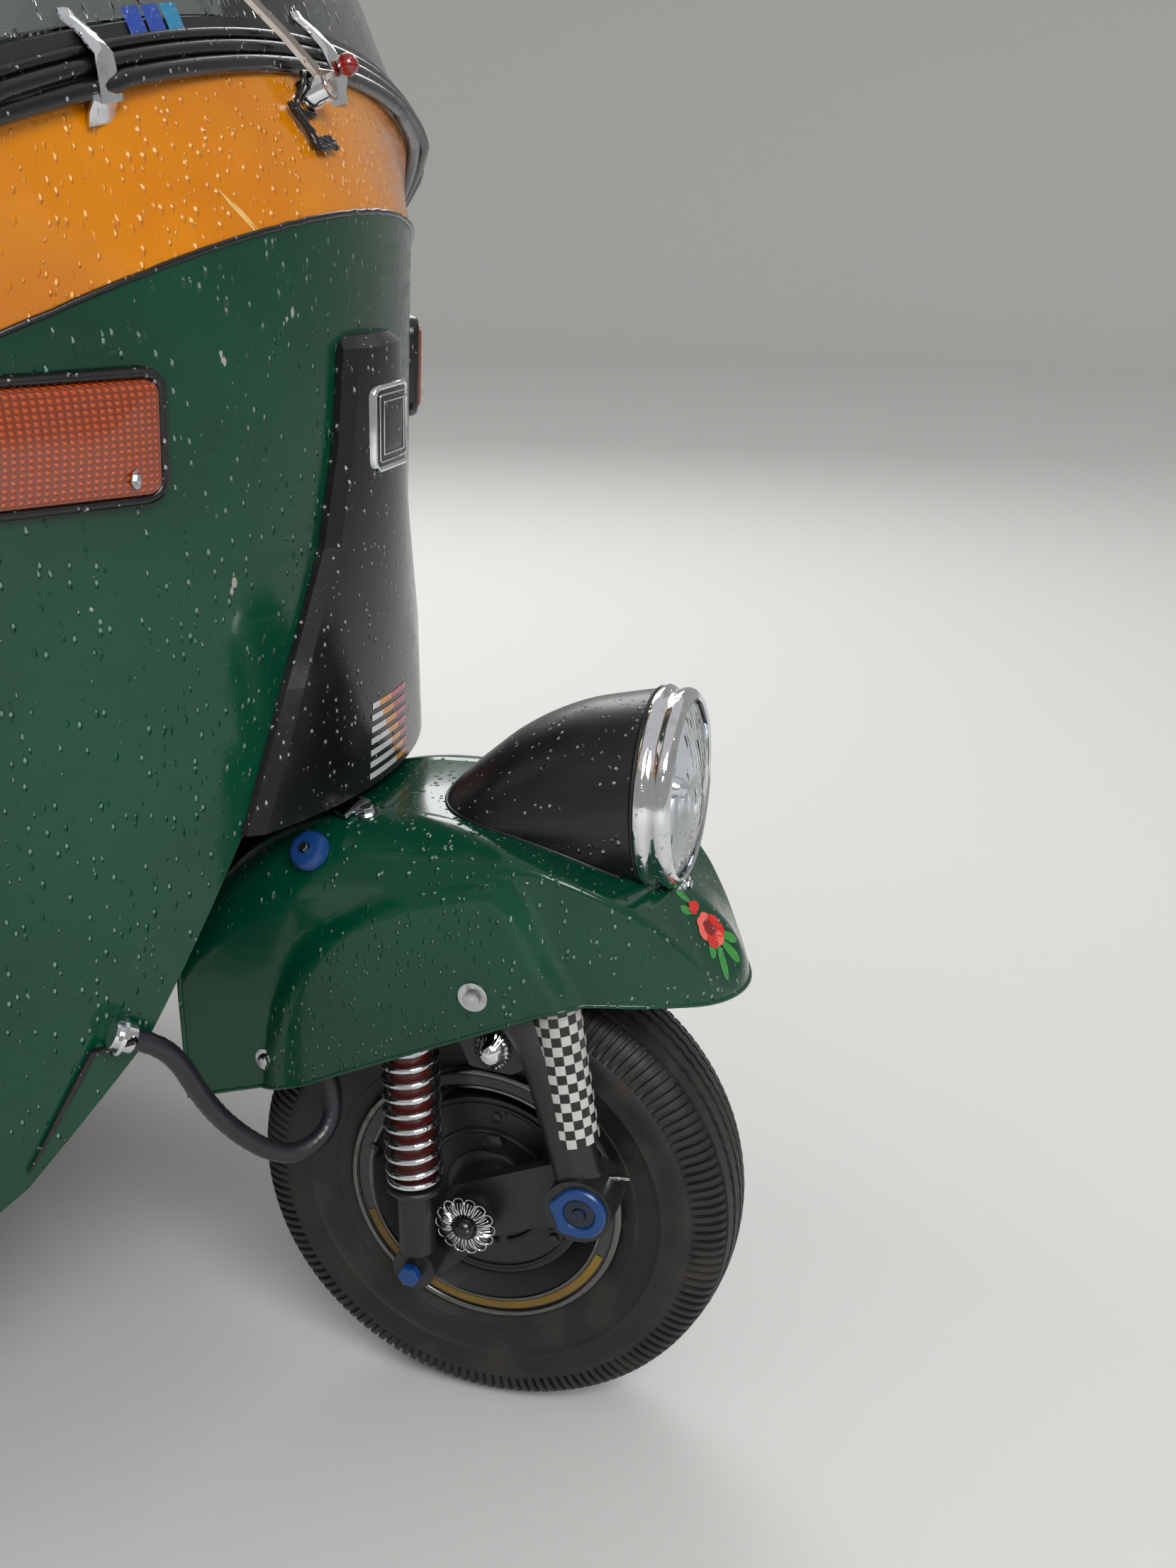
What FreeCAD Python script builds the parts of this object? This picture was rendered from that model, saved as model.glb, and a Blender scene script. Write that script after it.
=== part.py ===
import FreeCAD, Part
import math
import os

import Sketcher
from FreeCAD import Placement, Rotation, Vector

# An auto rickshaw: one steered front wheel on a trailing link, two driven rear wheels,
# a pressed steel nose and tub, and a canvas hood on a tube frame.
# The front faces -Y, +X is the vehicle's left, and the origin is on the ground at its centre.

# Driving dimensions in millimetres, angles in degrees
SIZES = {
    # Whole vehicle
    "overall_length": 2635,
    "overall_width": 1300,
    "overall_height": 1704,
    "wheelbase": 2000,
    "rear_track": 1150,
    "panel_thick": 10,
    "seat_gap": 0.3,
    "running_gap": 6,
    # Wheels
    "tyre_radius": 208,
    "tyre_width": 107,
    "bead_radius": 106,
    "bead_width": 74,
    "rim_radius": 118,
    "rim_width": 90,
    "rim_well_radius": 88,
    "rim_wall": 5,
    "drum_radius": 76,
    "drum_width": 46,
    "axle_radius": 15,
    "axle_play": 0.06,
    # Nose
    "nose_radius": 425,
    "nose_joint": 237,
    "nose_y": 88,
    "nose_waist_y": 108,
    "nose_foot_y": 140,
    "nose_half": 520,
    "door_edge_y": 450,
    "sill_z": 253,
    "nose_waist_z": 560,
    "band_foot_z": 978,
    "band_foot_slope": 0.59,
    "band_top_z": 1067,
    "band_top_slope": 0.83,
    "screen_y": 130,
    "screen_radius": 980,
    "screen_joint": 300,
    "screen_half": 505,
    "screen_side_y": 392,
    "screen_lean": 22,
    "screen_frame": 34,
    "screen_depth": 26,
    "glass_thick": 6,
    "well_top_half": 155,
    "well_top_z": 553,
    "well_crown_z": 600,
    "well_knee_half": 224,
    "well_knee_z": 420,
    "well_low_half": 298,
    "well_low_z": 330,
    "well_foot_half": 400,
    "well_rim_wall": 6,
    "well_rim_depth": 45,
    "well_rim_top_z": 537,
    "indicator_x": 203,
    "indicator_width": 140,
    "indicator_z": 805,
    "indicator_height": 86,
    "indicator_round": 16,
    "indicator_frame": 8,
    "indicator_proud": 11,
    "indicator_deep": 180,
    "lens_proud": 16,
    "dash_y": 85,
    "dash_depth": 120,
    "dash_z": 890,
    "dash_height": 60,
    # Column cover
    "cover_top_z": 895,
    "cover_top_half": 46,
    "cover_foot_z": 556,
    "cover_foot_half": 157,
    "cover_low_z": 656,
    "cover_low_half": 117,
    "cover_waist_z": 750,
    "cover_waist_half": 73,
    "cover_neck_z": 820,
    "cover_neck_half": 54,
    "cover_proud": 21,
    "cover_edge": 14,
    "cover_round": 8,
    "cover_wall": 3,
    # Steering and front suspension
    "steer_rake": 18,
    "steer_y": 135,
    "steer_z": 545,
    "column_radius": 22,
    "head_radius": 30,
    "head_foot_z": 612,
    "head_top_z": 790,
    "bar_z": 1010,
    "bar_half": 280,
    "bar_sweep": 95,
    "bar_radius": 11,
    "bar_clamp_width": 130,
    "bar_clamp_depth": 62,
    "bar_clamp_height": 40,
    "arm_x": 84,
    "arm_radius": 19,
    "pivot_y": 99,
    "pivot_z": 250,
    "pivot_radius": 27,
    "crown_z": 508,
    "link_width": 10,
    "link_half": 26,
    "shock_x": 90,
    "shock_foot_y": 42,
    "shock_foot_z": 165,
    "shock_top_y": 42,
    "shock_top_z": 434,
    "coil_radius": 24,
    "coil_pitch": 14.2,
    "coil_turns": 13,
    "damper_radius": 15,
    "plate_radius": 84,
    # Front mudguard and headlamp
    "guard_half": 122,
    "guard_bulge": 9,
    "guard_wall": 4,
    "guard_round": 28,
    "guard_front_radius": 245,
    "guard_level_front_y": 10,
    "guard_level_rear_y": 52,
    "guard_turn_y": 196,
    "guard_taper_y": 30,
    "guard_tip_y": 207,
    "guard_tail_y": 226,
    "guard_crown_z": 551,
    "lamp_z": 567,
    "lamp_radius": 75,
    "lamp_back_y": 132,
    "lamp_tail_y": 35,
    "ring_depth": 26,
    "ring_radius": 78,
    # Floor, chassis and toe board
    "floor_z": 300,
    "floor_thick": 10,
    "sill_width": 30,
    "toe_y": 430,
    "toe_knee_y": 305,
    "toe_knee_z": 520,
    "toe_bend_y": 200,
    "toe_bend_z": 622,
    "toe_top_y": 118,
    "toe_top_z": 700,
    "toe_thick": 6,
    "pedal_x": -150,
    "pedal_radius": 8,
    "lever_x": 340,
    "lever_radius": 9,
    "rail_x": 300,
    "rail_size": 50,
    "rail_pivot_half": 65,
    "hoop_forward": 118,
    "hoop_rise": 12,
    "arm_pivot_y": 455,
    "rear_arm_x": 440,
    "rear_arm_radius": 21,
    "arm_sleeve_radius": 24,
    "arm_sleeve_end": 462,
    "hub_radius": 34,
    "hub_inner": 415,
    "hub_outer": 466,
    "shaft_radius": 13,
    "rear_shock_forward": 95,
    "rear_shock_rod": 14,
    # Rear tub
    "tub_front_y": 330,
    "tub_foot_z": 296,
    "tub_waist_z": 560,
    "tub_top_z": 905,
    "tub_foot_half": 610,
    "tub_top_half": 618,
    "tub_foot_rear": 1250,
    "tub_waist_rear": 1275,
    "tub_top_rear": 1225,
    "tub_corner": 120,
    "arch_radius": 256,
    "house_x": 486,
    "house_wall": 5,
    "shelf_drop": 40,
    "shelf_thick": 6,
    "shelf_gap": 75,
    "board_inset": 60,
    "board_thick": 6,
    "tail_lamp_x": 430,
    "tail_lamp_width": 90,
    "tail_lamp_z": 650,
    "tail_lamp_height": 150,
    "door_half": 330,
    "door_foot_z": 350,
    "door_head_z": 640,
    "door_gap": 6,
    "door_corner": 30,
    "door_reach": 150,
    "hinge_x": 200,
    "hinge_rise": 6,
    "hinge_proud": 9,
    "hinge_radius": 7,
    "hinge_pin_radius": 4,
    "hinge_half": 14,
    "hinge_lug": 6,
    "hinge_leaf": 34,
    "leaf_thick": 3.5,
    # Seats and partition
    "seat_half": 290,
    "seat_front_y": -520,
    "seat_rear_y": -110,
    "seat_box_z": 690,
    "cushion_thick": 90,
    "partition_y": -45,
    "partition_top_z": 1000,
    "partition_half": 545,
    "back_half": 300,
    "back_foot_z": 880,
    "back_top_z": 1150,
    "back_thick": 60,
    "bench_half": 465,
    "bench_front_y": 262,
    "bench_rear_y": 700,
    "bench_z": 560,
    "bench_back_top_z": 1010,
    # Hood
    "hood_wall": 8,
    "hood_half": 612,
    "hood_front_y": -800,
    "hood_rail_z": 1560,
    "hood_round": 95,
    "hood_rear_y": 1205,
    "hood_break_y": 1120,
    "hood_break_z": 1260,
    "hood_bend_y": 720,
    "window_half": 260,
    "window_foot_z": 1290,
    "window_top_z": 1470,
    "tube_radius": 13,
    # Rear fittings
    "bumper_radius": 20,
    "bumper_half": 540,
    "engine_half": 165,
    "engine_foot_z": 196,
    "engine_top_z": 540,
    "cross_width": 40,
    "engine_rear_y": 1160,
    "silencer_radius": 52,
    "silencer_drop": 3,
    "pipe_radius": 16,
    "pipe_z": 215,
    # Mirrors, wiper and the cable hose to the mudguard
    "mirror_x": 545,
    "mirror_width": 90,
    "mirror_depth": 24,
    "mirror_z": 1310,
    "mirror_height": 140,
    "wiper_x": -10,
    "wiper_tip_x": -230,
    "wiper_rise": 188,
    "hose_radius": 8,
    "hose_socket_radius": 11,
}

doc = FreeCAD.newDocument("auto_rickshaw")
sheet = doc.addObject("Spreadsheet::Sheet", "dims")
for row, (alias, number) in enumerate(SIZES.items(), start=1):
    sheet.set(f"A{row}", alias)
    sheet.set(f"B{row}", str(number))
    sheet.setAlias(f"B{row}", alias)
doc.recompute()


class Size:
    """A length that carries its value and the sheet expression it comes from."""

    def __init__(self, value, text):
        self.value = float(value)
        self.text = text

    def __float__(self):
        return self.value

    def join(self, sign, other, value):
        return Size(value, f"({self.text} {sign} {text_of(other)})")

    def __add__(self, other):
        return self.join("+", other, self.value + float(other))

    def __sub__(self, other):
        return self.join("-", other, self.value - float(other))

    def __mul__(self, other):
        return self.join("*", other, self.value * float(other))

    def __truediv__(self, other):
        return self.join("/", other, self.value / float(other))

    def __radd__(self, other):
        return Size(float(other) + self.value, f"({text_of(other)} + {self.text})")

    def __rsub__(self, other):
        return Size(float(other) - self.value, f"({text_of(other)} - {self.text})")

    def __rmul__(self, other):
        return Size(float(other) * self.value, f"({text_of(other)} * {self.text})")

    def __neg__(self):
        return Size(-self.value, f"(-{self.text})")


def text_of(number):
    """The expression text of a Size or a plain number."""
    if isinstance(number, Size):
        return number.text
    return f"({float(number)})"


class Sheet:
    """Gives each cell of the sheet as a Size, by its alias."""

    def __getattr__(self, alias):
        return Size(getattr(sheet, alias), "dims." + alias)


d = Sheet()
front_y = d.tyre_radius - d.overall_length / 2
rear_y = front_y + d.wheelbase
side = d.overall_width / 2


def rel(offset):
    """A y place given as a distance behind the front axle."""
    return front_y + offset


def bind(piece, **sizes):
    """Ties properties of a piece to expressions."""
    for prop, number in sizes.items():
        piece.setExpression(prop, text_of(number))
    return piece


def move(piece, x, y, z, turn=Rotation()):
    """Sets a piece's place, tied to the sheet."""
    piece.Placement = Placement(Vector(float(x), float(y), float(z)), turn)
    for axis, number in zip("xyz", (x, y, z)):
        if isinstance(number, Size):
            piece.setExpression("Placement.Base." + axis, number.text)
    return piece


def block(name, x, y, z):
    """A box between two x, two y and two z places."""
    piece = doc.addObject("Part::Box", name)
    bind(piece, Length=x[1] - x[0], Width=y[1] - y[0], Height=z[1] - z[0])
    return move(piece, x[0], y[0], z[0])


TURNS = {
    "x": Rotation(Vector(0, 0, 1), Vector(1, 0, 0)),
    "y": Rotation(Vector(0, 0, 1), Vector(0, 1, 0)),
    "z": Rotation(),
}


def rod(name, axis, radius, length, x, y, z):
    """A round bar from a point along +X, +Y or +Z."""
    piece = doc.addObject("Part::Cylinder", name)
    bind(piece, Radius=radius, Height=length)
    return move(piece, x, y, z, TURNS[axis])


def fuse(name, *pieces):
    piece = doc.addObject("Part::MultiFuse", name)
    piece.Shapes = list(pieces)
    return piece


def cut(name, base, tool):
    piece = doc.addObject("Part::Cut", name)
    piece.Base = base
    piece.Tool = tool
    return piece


def common(name, base, tool):
    piece = doc.addObject("Part::Common", name)
    piece.Base = base
    piece.Tool = tool
    return piece


def soften(name, base, radius, pick):
    """Rounds the edges of a piece that pick says yes to."""
    doc.recompute()
    piece = doc.addObject("Part::Fillet", name)
    piece.Base = base
    chosen = []
    for number, edge in enumerate(base.Shape.Edges, start=1):
        if pick(edge):
            chosen.append((number, float(radius), float(radius)))
    piece.Edges = chosen
    return piece


def shape_piece(name, shape):
    """A piece whose shape is made here from the sheet's values."""
    piece = doc.addObject("Part::Feature", name)
    piece.Shape = shape
    return piece


def origin_plane(body, role):
    return [item for item in body.Origin.OriginFeatures if item.Role == role][0]


def sketch_on(body, name, role, points):
    """A closed outline of straight lines, each corner tied to the sheet."""
    sketch = body.newObject("Sketcher::SketchObject", name)
    sketch.AttachmentSupport = [(origin_plane(body, role), "")]
    sketch.MapMode = "FlatFace"
    places = [Vector(float(a), float(b), 0) for a, b in points]
    count = len(places)
    for index in range(count):
        sketch.addGeometry(Part.LineSegment(places[index], places[(index + 1) % count]), False)
    for index in range(count):
        sketch.addConstraint(Sketcher.Constraint("Coincident", index, 2, (index + 1) % count, 1))
    for index, (a, b) in enumerate(points):
        for kind, number in (("DistanceX", a), ("DistanceY", b)):
            rule = sketch.addConstraint(Sketcher.Constraint(kind, -1, 1, index, 1, float(number)))
            if isinstance(number, Size):
                sketch.setExpression(f"Constraints[{rule}]", number.text)
    return sketch


def revolved(name, points):
    """A body turned about its own X axis; points are (along, radius)."""
    body = doc.addObject("PartDesign::Body", name)
    sketch = sketch_on(body, name + "_outline", "XZ_Plane", points)
    turned = body.newObject("PartDesign::Revolution", name + "_turned")
    turned.Profile = sketch
    turned.ReferenceAxis = (sketch, ["H_Axis"])
    turned.Angle = 360
    return body


def padded(name, role, points, length):
    """A body padded both ways from an origin plane."""
    body = doc.addObject("PartDesign::Body", name)
    sketch = sketch_on(body, name + "_outline", role, points)
    pad = body.newObject("PartDesign::Pad", name + "_pad")
    pad.Profile = sketch
    pad.Midplane = True
    bind(pad, Length=length)
    return body


def closed_wire(steps, to_space):
    """A closed wire; a step is a point reached by a line, or (middle, end) of an arc."""
    edges = []
    here = to_space(*steps[0])
    for step in list(steps[1:]) + [steps[0]]:
        if isinstance(step[0], tuple):
            middle = to_space(*step[0])
            end = to_space(*step[1])
            edges.append(Part.Arc(here, middle, end).toShape())
        else:
            end = to_space(*step)
            if (end - here).Length > 0.001:
                edges.append(Part.LineSegment(here, end).toShape())
        here = end
    return Part.Wire(edges)


def prism(steps, to_space, along):
    return Part.Face(closed_wire(steps, to_space)).extrude(along)


def side_prism(steps, half):
    """A solid with an outline in (y, z), across the vehicle."""
    return prism(steps, lambda y, z: Vector(-half, y, z), Vector(2 * half, 0, 0))


def front_prism(steps, y_low, y_high):
    """A solid with an outline in (x, z), along the vehicle."""
    return prism(steps, lambda x, z: Vector(x, y_low, z), Vector(0, y_high - y_low, 0))


def rounded(shape, radius, pick):
    return shape.makeFillet(radius, [edge for edge in shape.Edges if pick(edge)])


def arc_middle(start, heading, end):
    """The middle of the arc that leaves start along heading and reaches end."""
    chord = end - start
    along = Vector(chord).normalize()
    across = heading - along * heading.dot(along)
    turn = heading.getAngle(chord)
    return (start + end) / 2 + across.normalize() * (chord.Length / 2 * math.tan(turn / 2))


def tube(points, radius, bend=1000.0):
    """A round bar along straight runs; an arc takes 0.45 of the shorter run, or bend if less."""
    points = [Vector(*point) for point in points]
    edges = []
    here = points[0]
    for before, corner, after in zip(points, points[1:], points[2:]):
        inward = (before - corner).normalize()
        outward = (after - corner).normalize()
        reach = min(bend, 0.45 * (before - corner).Length, 0.45 * (after - corner).Length)
        start = corner + inward * reach
        end = corner + outward * reach
        edges.append(Part.LineSegment(here, start).toShape())
        middle = arc_middle(start, -inward, end)
        edges.append(Part.Arc(start, middle, end).toShape())
        here = end
    edges.append(Part.LineSegment(here, points[-1]).toShape())
    heading = (points[1] - points[0]).normalize()
    ring = Part.Wire([Part.Circle(points[0], heading, radius).toShape()])
    return Part.Wire(edges).makePipeShell([ring], True, False)


def bends(points):
    """The length of the middle line that tube() follows, and the radius of each of its arcs."""
    points = [Vector(*point) for point in points]
    length = sum((b - a).Length for a, b in zip(points, points[1:]))
    radii = []
    for before, corner, after in zip(points, points[1:], points[2:]):
        turn = (corner - before).getAngle(after - corner)
        reach = 0.45 * min((before - corner).Length, (after - corner).Length)
        radii.append(reach / math.tan(turn / 2))
        length += radii[-1] * turn - 2 * reach
    return length, radii


def bar(start, end, radius):
    """A straight round bar between two points."""
    start = Vector(*start)
    run = Vector(*end) - start
    return Part.makeCylinder(radius, run.Length, start, run)


def mirrored(shape):
    """The same shape on the other side of the vehicle."""
    return shape.mirror(Vector(), Vector(1, 0, 0))


def both_sides(shape):
    return Part.Compound([shape, mirrored(shape)])


NODES = []


def node(piece, label):
    """Names a finished piece and puts it on the list to be written."""
    piece.Label = label
    NODES.append(piece)
    return piece


# Plain numbers of the sheet for the shapes that are made by Part's own functions
n = {alias: float(getattr(sheet, alias)) for alias in SIZES}
fy = float(front_y)
ry = float(rear_y)
half_width = float(side)
wall = n["panel_thick"]
gap = n["seat_gap"]
slope = math.tan(math.radians(n["steer_rake"]))
lean = math.tan(math.radians(n["screen_lean"]))
screen_top_z = n["hood_rail_z"] - gap


def steer_y(z):
    """The steering axis's y at a height."""
    return fy + n["steer_y"] + slope * (z - n["steer_z"])


# Wheels: tyre, pressed rim and drum, turned about the wheel's axis

def tyre(name, x, y):
    half = d.tyre_width / 2
    outline = [
        (-d.bead_width / 2, d.bead_radius),
        (-d.bead_width / 2, d.rim_radius + 1),
        (-half * 0.88, d.bead_radius + (d.tyre_radius - d.bead_radius) * 0.27),
        (-half, d.bead_radius + (d.tyre_radius - d.bead_radius) * 0.52),
        (-half * 0.88, d.bead_radius + (d.tyre_radius - d.bead_radius) * 0.83),
        (-half * 0.6, d.bead_radius + (d.tyre_radius - d.bead_radius) * 0.96),
        (0, d.tyre_radius),
    ]
    outline += [(-a, b) for a, b in reversed(outline[:-1])]
    body = revolved(name, outline)
    return node(move(body, x, y, d.tyre_radius), name)


def rim(name, x, y, turned):
    """A drop-centre rim whose lips stand outside the tyre's beads, with its web and drum."""
    half = d.rim_width / 2
    well = d.rim_well_radius
    seat = d.bead_radius - d.seat_gap
    lip = d.rim_wall
    outline = [
        (-half, d.bead_radius - lip),
        (-half, d.rim_radius),
        (-half + lip, d.rim_radius),
        (-half + lip, seat),
        (-d.bead_width / 4, seat),
        (-d.bead_width / 6, well + lip),
        (d.bead_width / 6, well + lip),
        (d.bead_width / 4, seat),
        (half - lip, seat),
        (half - lip, d.rim_radius),
        (half, d.rim_radius),
        (half, d.bead_radius - lip),
        (d.bead_width / 3, well),
        (d.bead_width / 3, d.drum_radius),
        (d.bead_width / 3, d.axle_radius + d.axle_play),
        (d.bead_width / 3 - d.drum_width, d.axle_radius + d.axle_play),
        (d.bead_width / 3 - d.drum_width, d.drum_radius),
        (d.bead_width / 3 - lip * 2, d.drum_radius),
        (d.bead_width / 3 - lip * 2, well),
        (-d.bead_width / 4, well),
    ]
    body = revolved(name, outline)
    turn = Rotation(Vector(0, 0, 1), 180) if turned else Rotation()
    return node(move(body, x, y, d.tyre_radius, turn), name)


tyre("front_tyre", 0, front_y)
rim("front_rim", 0, front_y, False)
for name, hand in (("right", -1), ("left", 1)):
    tyre("rear_tyre_" + name, d.rear_track * hand / 2, rear_y)
    rim("rear_rim_" + name, d.rear_track * hand / 2, rear_y, hand < 0)


# Nose shell: each level is a wide arc round the nose and a tangent arc to the door's edge

def nose_wire(level, grow, deep):
    """One level of the nose, grown outward; deep is how far its back lies behind the door's edge."""
    nose_at, radius, joint, end_half, end_at, height, fall = level
    radius = radius + grow
    joint = joint * radius / level[1]
    start = Vector(joint, nose_at - grow + radius - math.sqrt(radius**2 - joint**2), 0)
    heading = Vector(math.cos(math.asin(joint / radius)), joint / radius, 0)
    end = Vector(end_half + grow, end_at, 0)
    middle = arc_middle(start, heading, end)

    def to_space(x, y):
        return Vector(x, fy + y, height - fall * (y - nose_at))

    back = end_at + deep
    steps = [
        (-end.x, back),
        (-end.x, end.y),
        ((-middle.x, middle.y), (-start.x, start.y)),
        ((0, nose_at - grow), (start.x, start.y)),
        ((middle.x, middle.y), (end.x, end.y)),
        (end.x, back),
    ]
    return closed_wire(steps, to_space)


def nose_level(nose_at, height, fall):
    return (nose_at, n["nose_radius"], n["nose_joint"], n["nose_half"], n["door_edge_y"], height, fall)


# Levels in the order: nose y, radius, joint x, half width, door y, height, fall per mm of y
foot_level = nose_level(n["nose_foot_y"], n["sill_z"], 0)
waist_level = nose_level(n["nose_waist_y"], n["nose_waist_z"], 0)
band_level = nose_level(n["nose_y"], n["band_foot_z"], n["band_foot_slope"])
screen_level = (
    n["screen_y"], n["screen_radius"], n["screen_joint"], n["nose_half"], n["door_edge_y"],
    n["band_top_z"], n["band_top_slope"],
)


def nose_solid(levels, grow, deep=0.0):
    return Part.makeLoft([nose_wire(level, grow, deep) for level in levels], True, True)


panel_outer = nose_solid([foot_level, waist_level, band_level], 0)
panel_inner = nose_solid([foot_level, waist_level, band_level], -wall, 60)


def well_space(grow):
    """The opening for the front wheel, drawn out by grow."""
    side_points = [
        (n["well_foot_half"] + grow, n["sill_z"] - 60),
        (n["well_foot_half"] + grow, n["sill_z"]),
        (n["well_low_half"] + grow, n["well_low_z"] + grow),
        (n["well_knee_half"] + grow, n["well_knee_z"]),
        (n["well_top_half"] + grow, n["well_top_z"]),
    ]
    crown = ((0, n["well_crown_z"] + grow), side_points[-1])
    steps = [(-x, z) for x, z in side_points] + [crown] + side_points[-2::-1]
    return front_prism(steps, fy - 100, fy + n["door_edge_y"] - 60)


well = well_space(0)
rim_inner = nose_solid([foot_level, waist_level, band_level], -n["well_rim_depth"], 60)
rim_keep = Part.makeBox(1200, 700, n["well_rim_top_z"] - n["sill_z"], Vector(-600, fy, n["sill_z"]))
well_rim = well_space(n["well_rim_wall"]).common(panel_outer).cut(rim_inner).common(rim_keep)
panel = panel_outer.cut(panel_inner).fuse(well_rim).cut(well)
node(shape_piece("front_panel", panel), "front_panel")

band_outer = nose_solid([band_level, screen_level], 0)
band_inner = nose_solid([band_level, screen_level], -wall, 60)
node(shape_piece("front_band", band_outer.cut(band_inner)), "front_band")


# Column cover: a raised pressing down the middle of the nose

def cover_wire(level, grow):
    """One level of the cover, its front and its chamfered sides proud of the nose."""
    height, half, drawn_in = level
    half = half + grow - drawn_in
    radius = n["nose_radius"]
    if height > n["nose_waist_z"]:
        rise = (height - n["nose_waist_z"]) / (n["band_foot_z"] - n["nose_waist_z"])
        nose_at = n["nose_waist_y"] + (n["nose_y"] - n["nose_waist_y"]) * rise
    else:
        nose_at = n["nose_waist_y"]
    chamfer = n["cover_round"]
    proud = n["cover_edge"] - drawn_in + grow

    def over_nose(x, lift):
        return (x, nose_at + radius - math.sqrt(radius**2 - x**2) - lift)

    side = over_nose(half, proud - chamfer)
    shoulder = over_nose(half - chamfer, proud)
    front = (0, nose_at - n["cover_proud"] + drawn_in - grow)
    deep = n["door_edge_y"] / 2
    steps = [(-half, deep), (-half, side[1]), (-shoulder[0], shoulder[1]), (front, shoulder), side, (half, deep)]
    return closed_wire(steps, lambda x, y: Vector(x, fy + y, height))


# Levels of the cover: height, half width, how far it is drawn in to round its top
cover_levels = [
    (n["cover_foot_z"], n["cover_foot_half"], 0),
    (n["cover_low_z"], n["cover_low_half"], 0),
    (n["cover_waist_z"], n["cover_waist_half"], 0),
    (n["cover_neck_z"], n["cover_neck_half"], 0),
    (n["cover_top_z"] - n["cover_round"], n["cover_top_half"], 0),
    (n["cover_top_z"], n["cover_top_half"], n["cover_round"]),
]
cover_room = cover_levels[:-2] + [(n["cover_top_z"] - n["cover_round"], n["cover_top_half"], 0)]
cover_outer = Part.makeLoft([cover_wire(level, 0) for level in cover_levels], True, True)
cover_inner = Part.makeLoft([cover_wire(level, -n["cover_wall"]) for level in cover_room], True, True)
panel_seat = nose_solid([foot_level, waist_level, band_level], gap)
node(shape_piece("column_cover", cover_outer.cut(cover_inner).cut(panel_seat)), "column_cover")


# Front indicators: a rounded lens in its frame on the nose, each side of the cover

def indicator_part(inset, proud):
    corner = Vector(n["indicator_x"] + inset, fy + n["nose_y"], n["indicator_z"] + inset)
    box = Part.makeBox(n["indicator_width"] - 2 * inset, n["indicator_deep"],
                       n["indicator_height"] - 2 * inset, corner)
    box = rounded(box, n["indicator_round"] - inset, lambda edge: abs(edge.tangentAt(0).y) > 0.9)
    return box.common(nose_solid([foot_level, waist_level, band_level], proud))


frame_part = indicator_part(0, n["indicator_proud"])
indicator = frame_part.fuse(indicator_part(n["indicator_frame"], n["lens_proud"])).cut(panel_seat)
node(shape_piece("front_indicators", both_sides(indicator)), "front_indicators")


# Windscreen: a curved slab that leans back, cut to the nose's top edge

def screen_wire(front, depth):
    """The slab's section at the height of the nose's top edge; front is how far it stands in."""
    radius = n["screen_radius"] - front
    joint = n["screen_joint"]
    start = Vector(joint, n["screen_y"] + front + radius - math.sqrt(radius**2 - joint**2), 0)
    heading = Vector(math.cos(math.asin(joint / radius)), joint / radius, 0)
    end = Vector(n["screen_half"] - front, n["screen_side_y"], 0)
    middle = arc_middle(start, heading, end)
    inner_start = start + Vector(0, depth, 0)
    inner_end = end + Vector(-depth, depth / 2, 0)
    inner_middle = arc_middle(inner_start, heading, inner_end)

    def to_space(x, y):
        return Vector(x, fy + y - (n["band_top_z"] - 800) * lean, 800)

    steps = [
        (-end.x, end.y),
        ((-middle.x, middle.y), (-start.x, start.y)),
        ((0, n["screen_y"] + front), (start.x, start.y)),
        ((middle.x, middle.y), (end.x, end.y)),
        (inner_end.x, inner_end.y),
        ((inner_middle.x, inner_middle.y), (inner_start.x, inner_start.y)),
        ((0, n["screen_y"] + front + depth), (-inner_start.x, inner_start.y)),
        ((-inner_middle.x, inner_middle.y), (-inner_end.x, inner_end.y)),
    ]
    return closed_wire(steps, to_space)


def screen_slab(front, depth):
    rise = screen_top_z - 800
    return Part.Face(screen_wire(front, depth)).extrude(Vector(0, rise * lean, rise))


def below_edge(lift):
    """Everything under the nose's tilted top edge, raised by lift."""
    def to_space(y, z):
        return Vector(-800, fy + y, z)

    def edge(y):
        return n["band_top_z"] + lift - n["band_top_slope"] * (y - n["screen_y"])

    steps = [(-300, edge(-300)), (700, edge(700)), (700, 200), (-300, 200)]
    return prism(steps, to_space, Vector(1600, 0, 0))


def screen_window(inset):
    """The windscreen's opening, an outline in (x, z) with round corners."""
    half_foot = n["screen_half"] - n["screen_frame"] - inset
    half_top = half_foot - 20
    top = screen_top_z - n["screen_frame"] - inset
    foot = n["band_top_z"] + n["screen_frame"] + inset
    corner_z = foot - 95
    steps = [
        (-half_foot, corner_z),
        (-half_top, top),
        ((0, top + 12), (half_top, top)),
        (half_foot, corner_z),
        ((0, foot), (-half_foot, corner_z)),
    ]
    shape = front_prism(steps, fy - 200, fy + 700)
    return rounded(shape, 45, lambda edge: edge.BoundBox.YLength > 800)


screen_body = screen_slab(0, n["screen_depth"]).cut(below_edge(gap))
node(shape_piece("windscreen_frame", screen_body.cut(screen_window(0))), "windscreen_frame")
glass = screen_slab(8, n["glass_thick"]).common(screen_window(gap))
node(shape_piece("windscreen_glass", glass), "windscreen_glass")


# Floor, sills and toe board in one pressing, with the steering head welded through it

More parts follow.
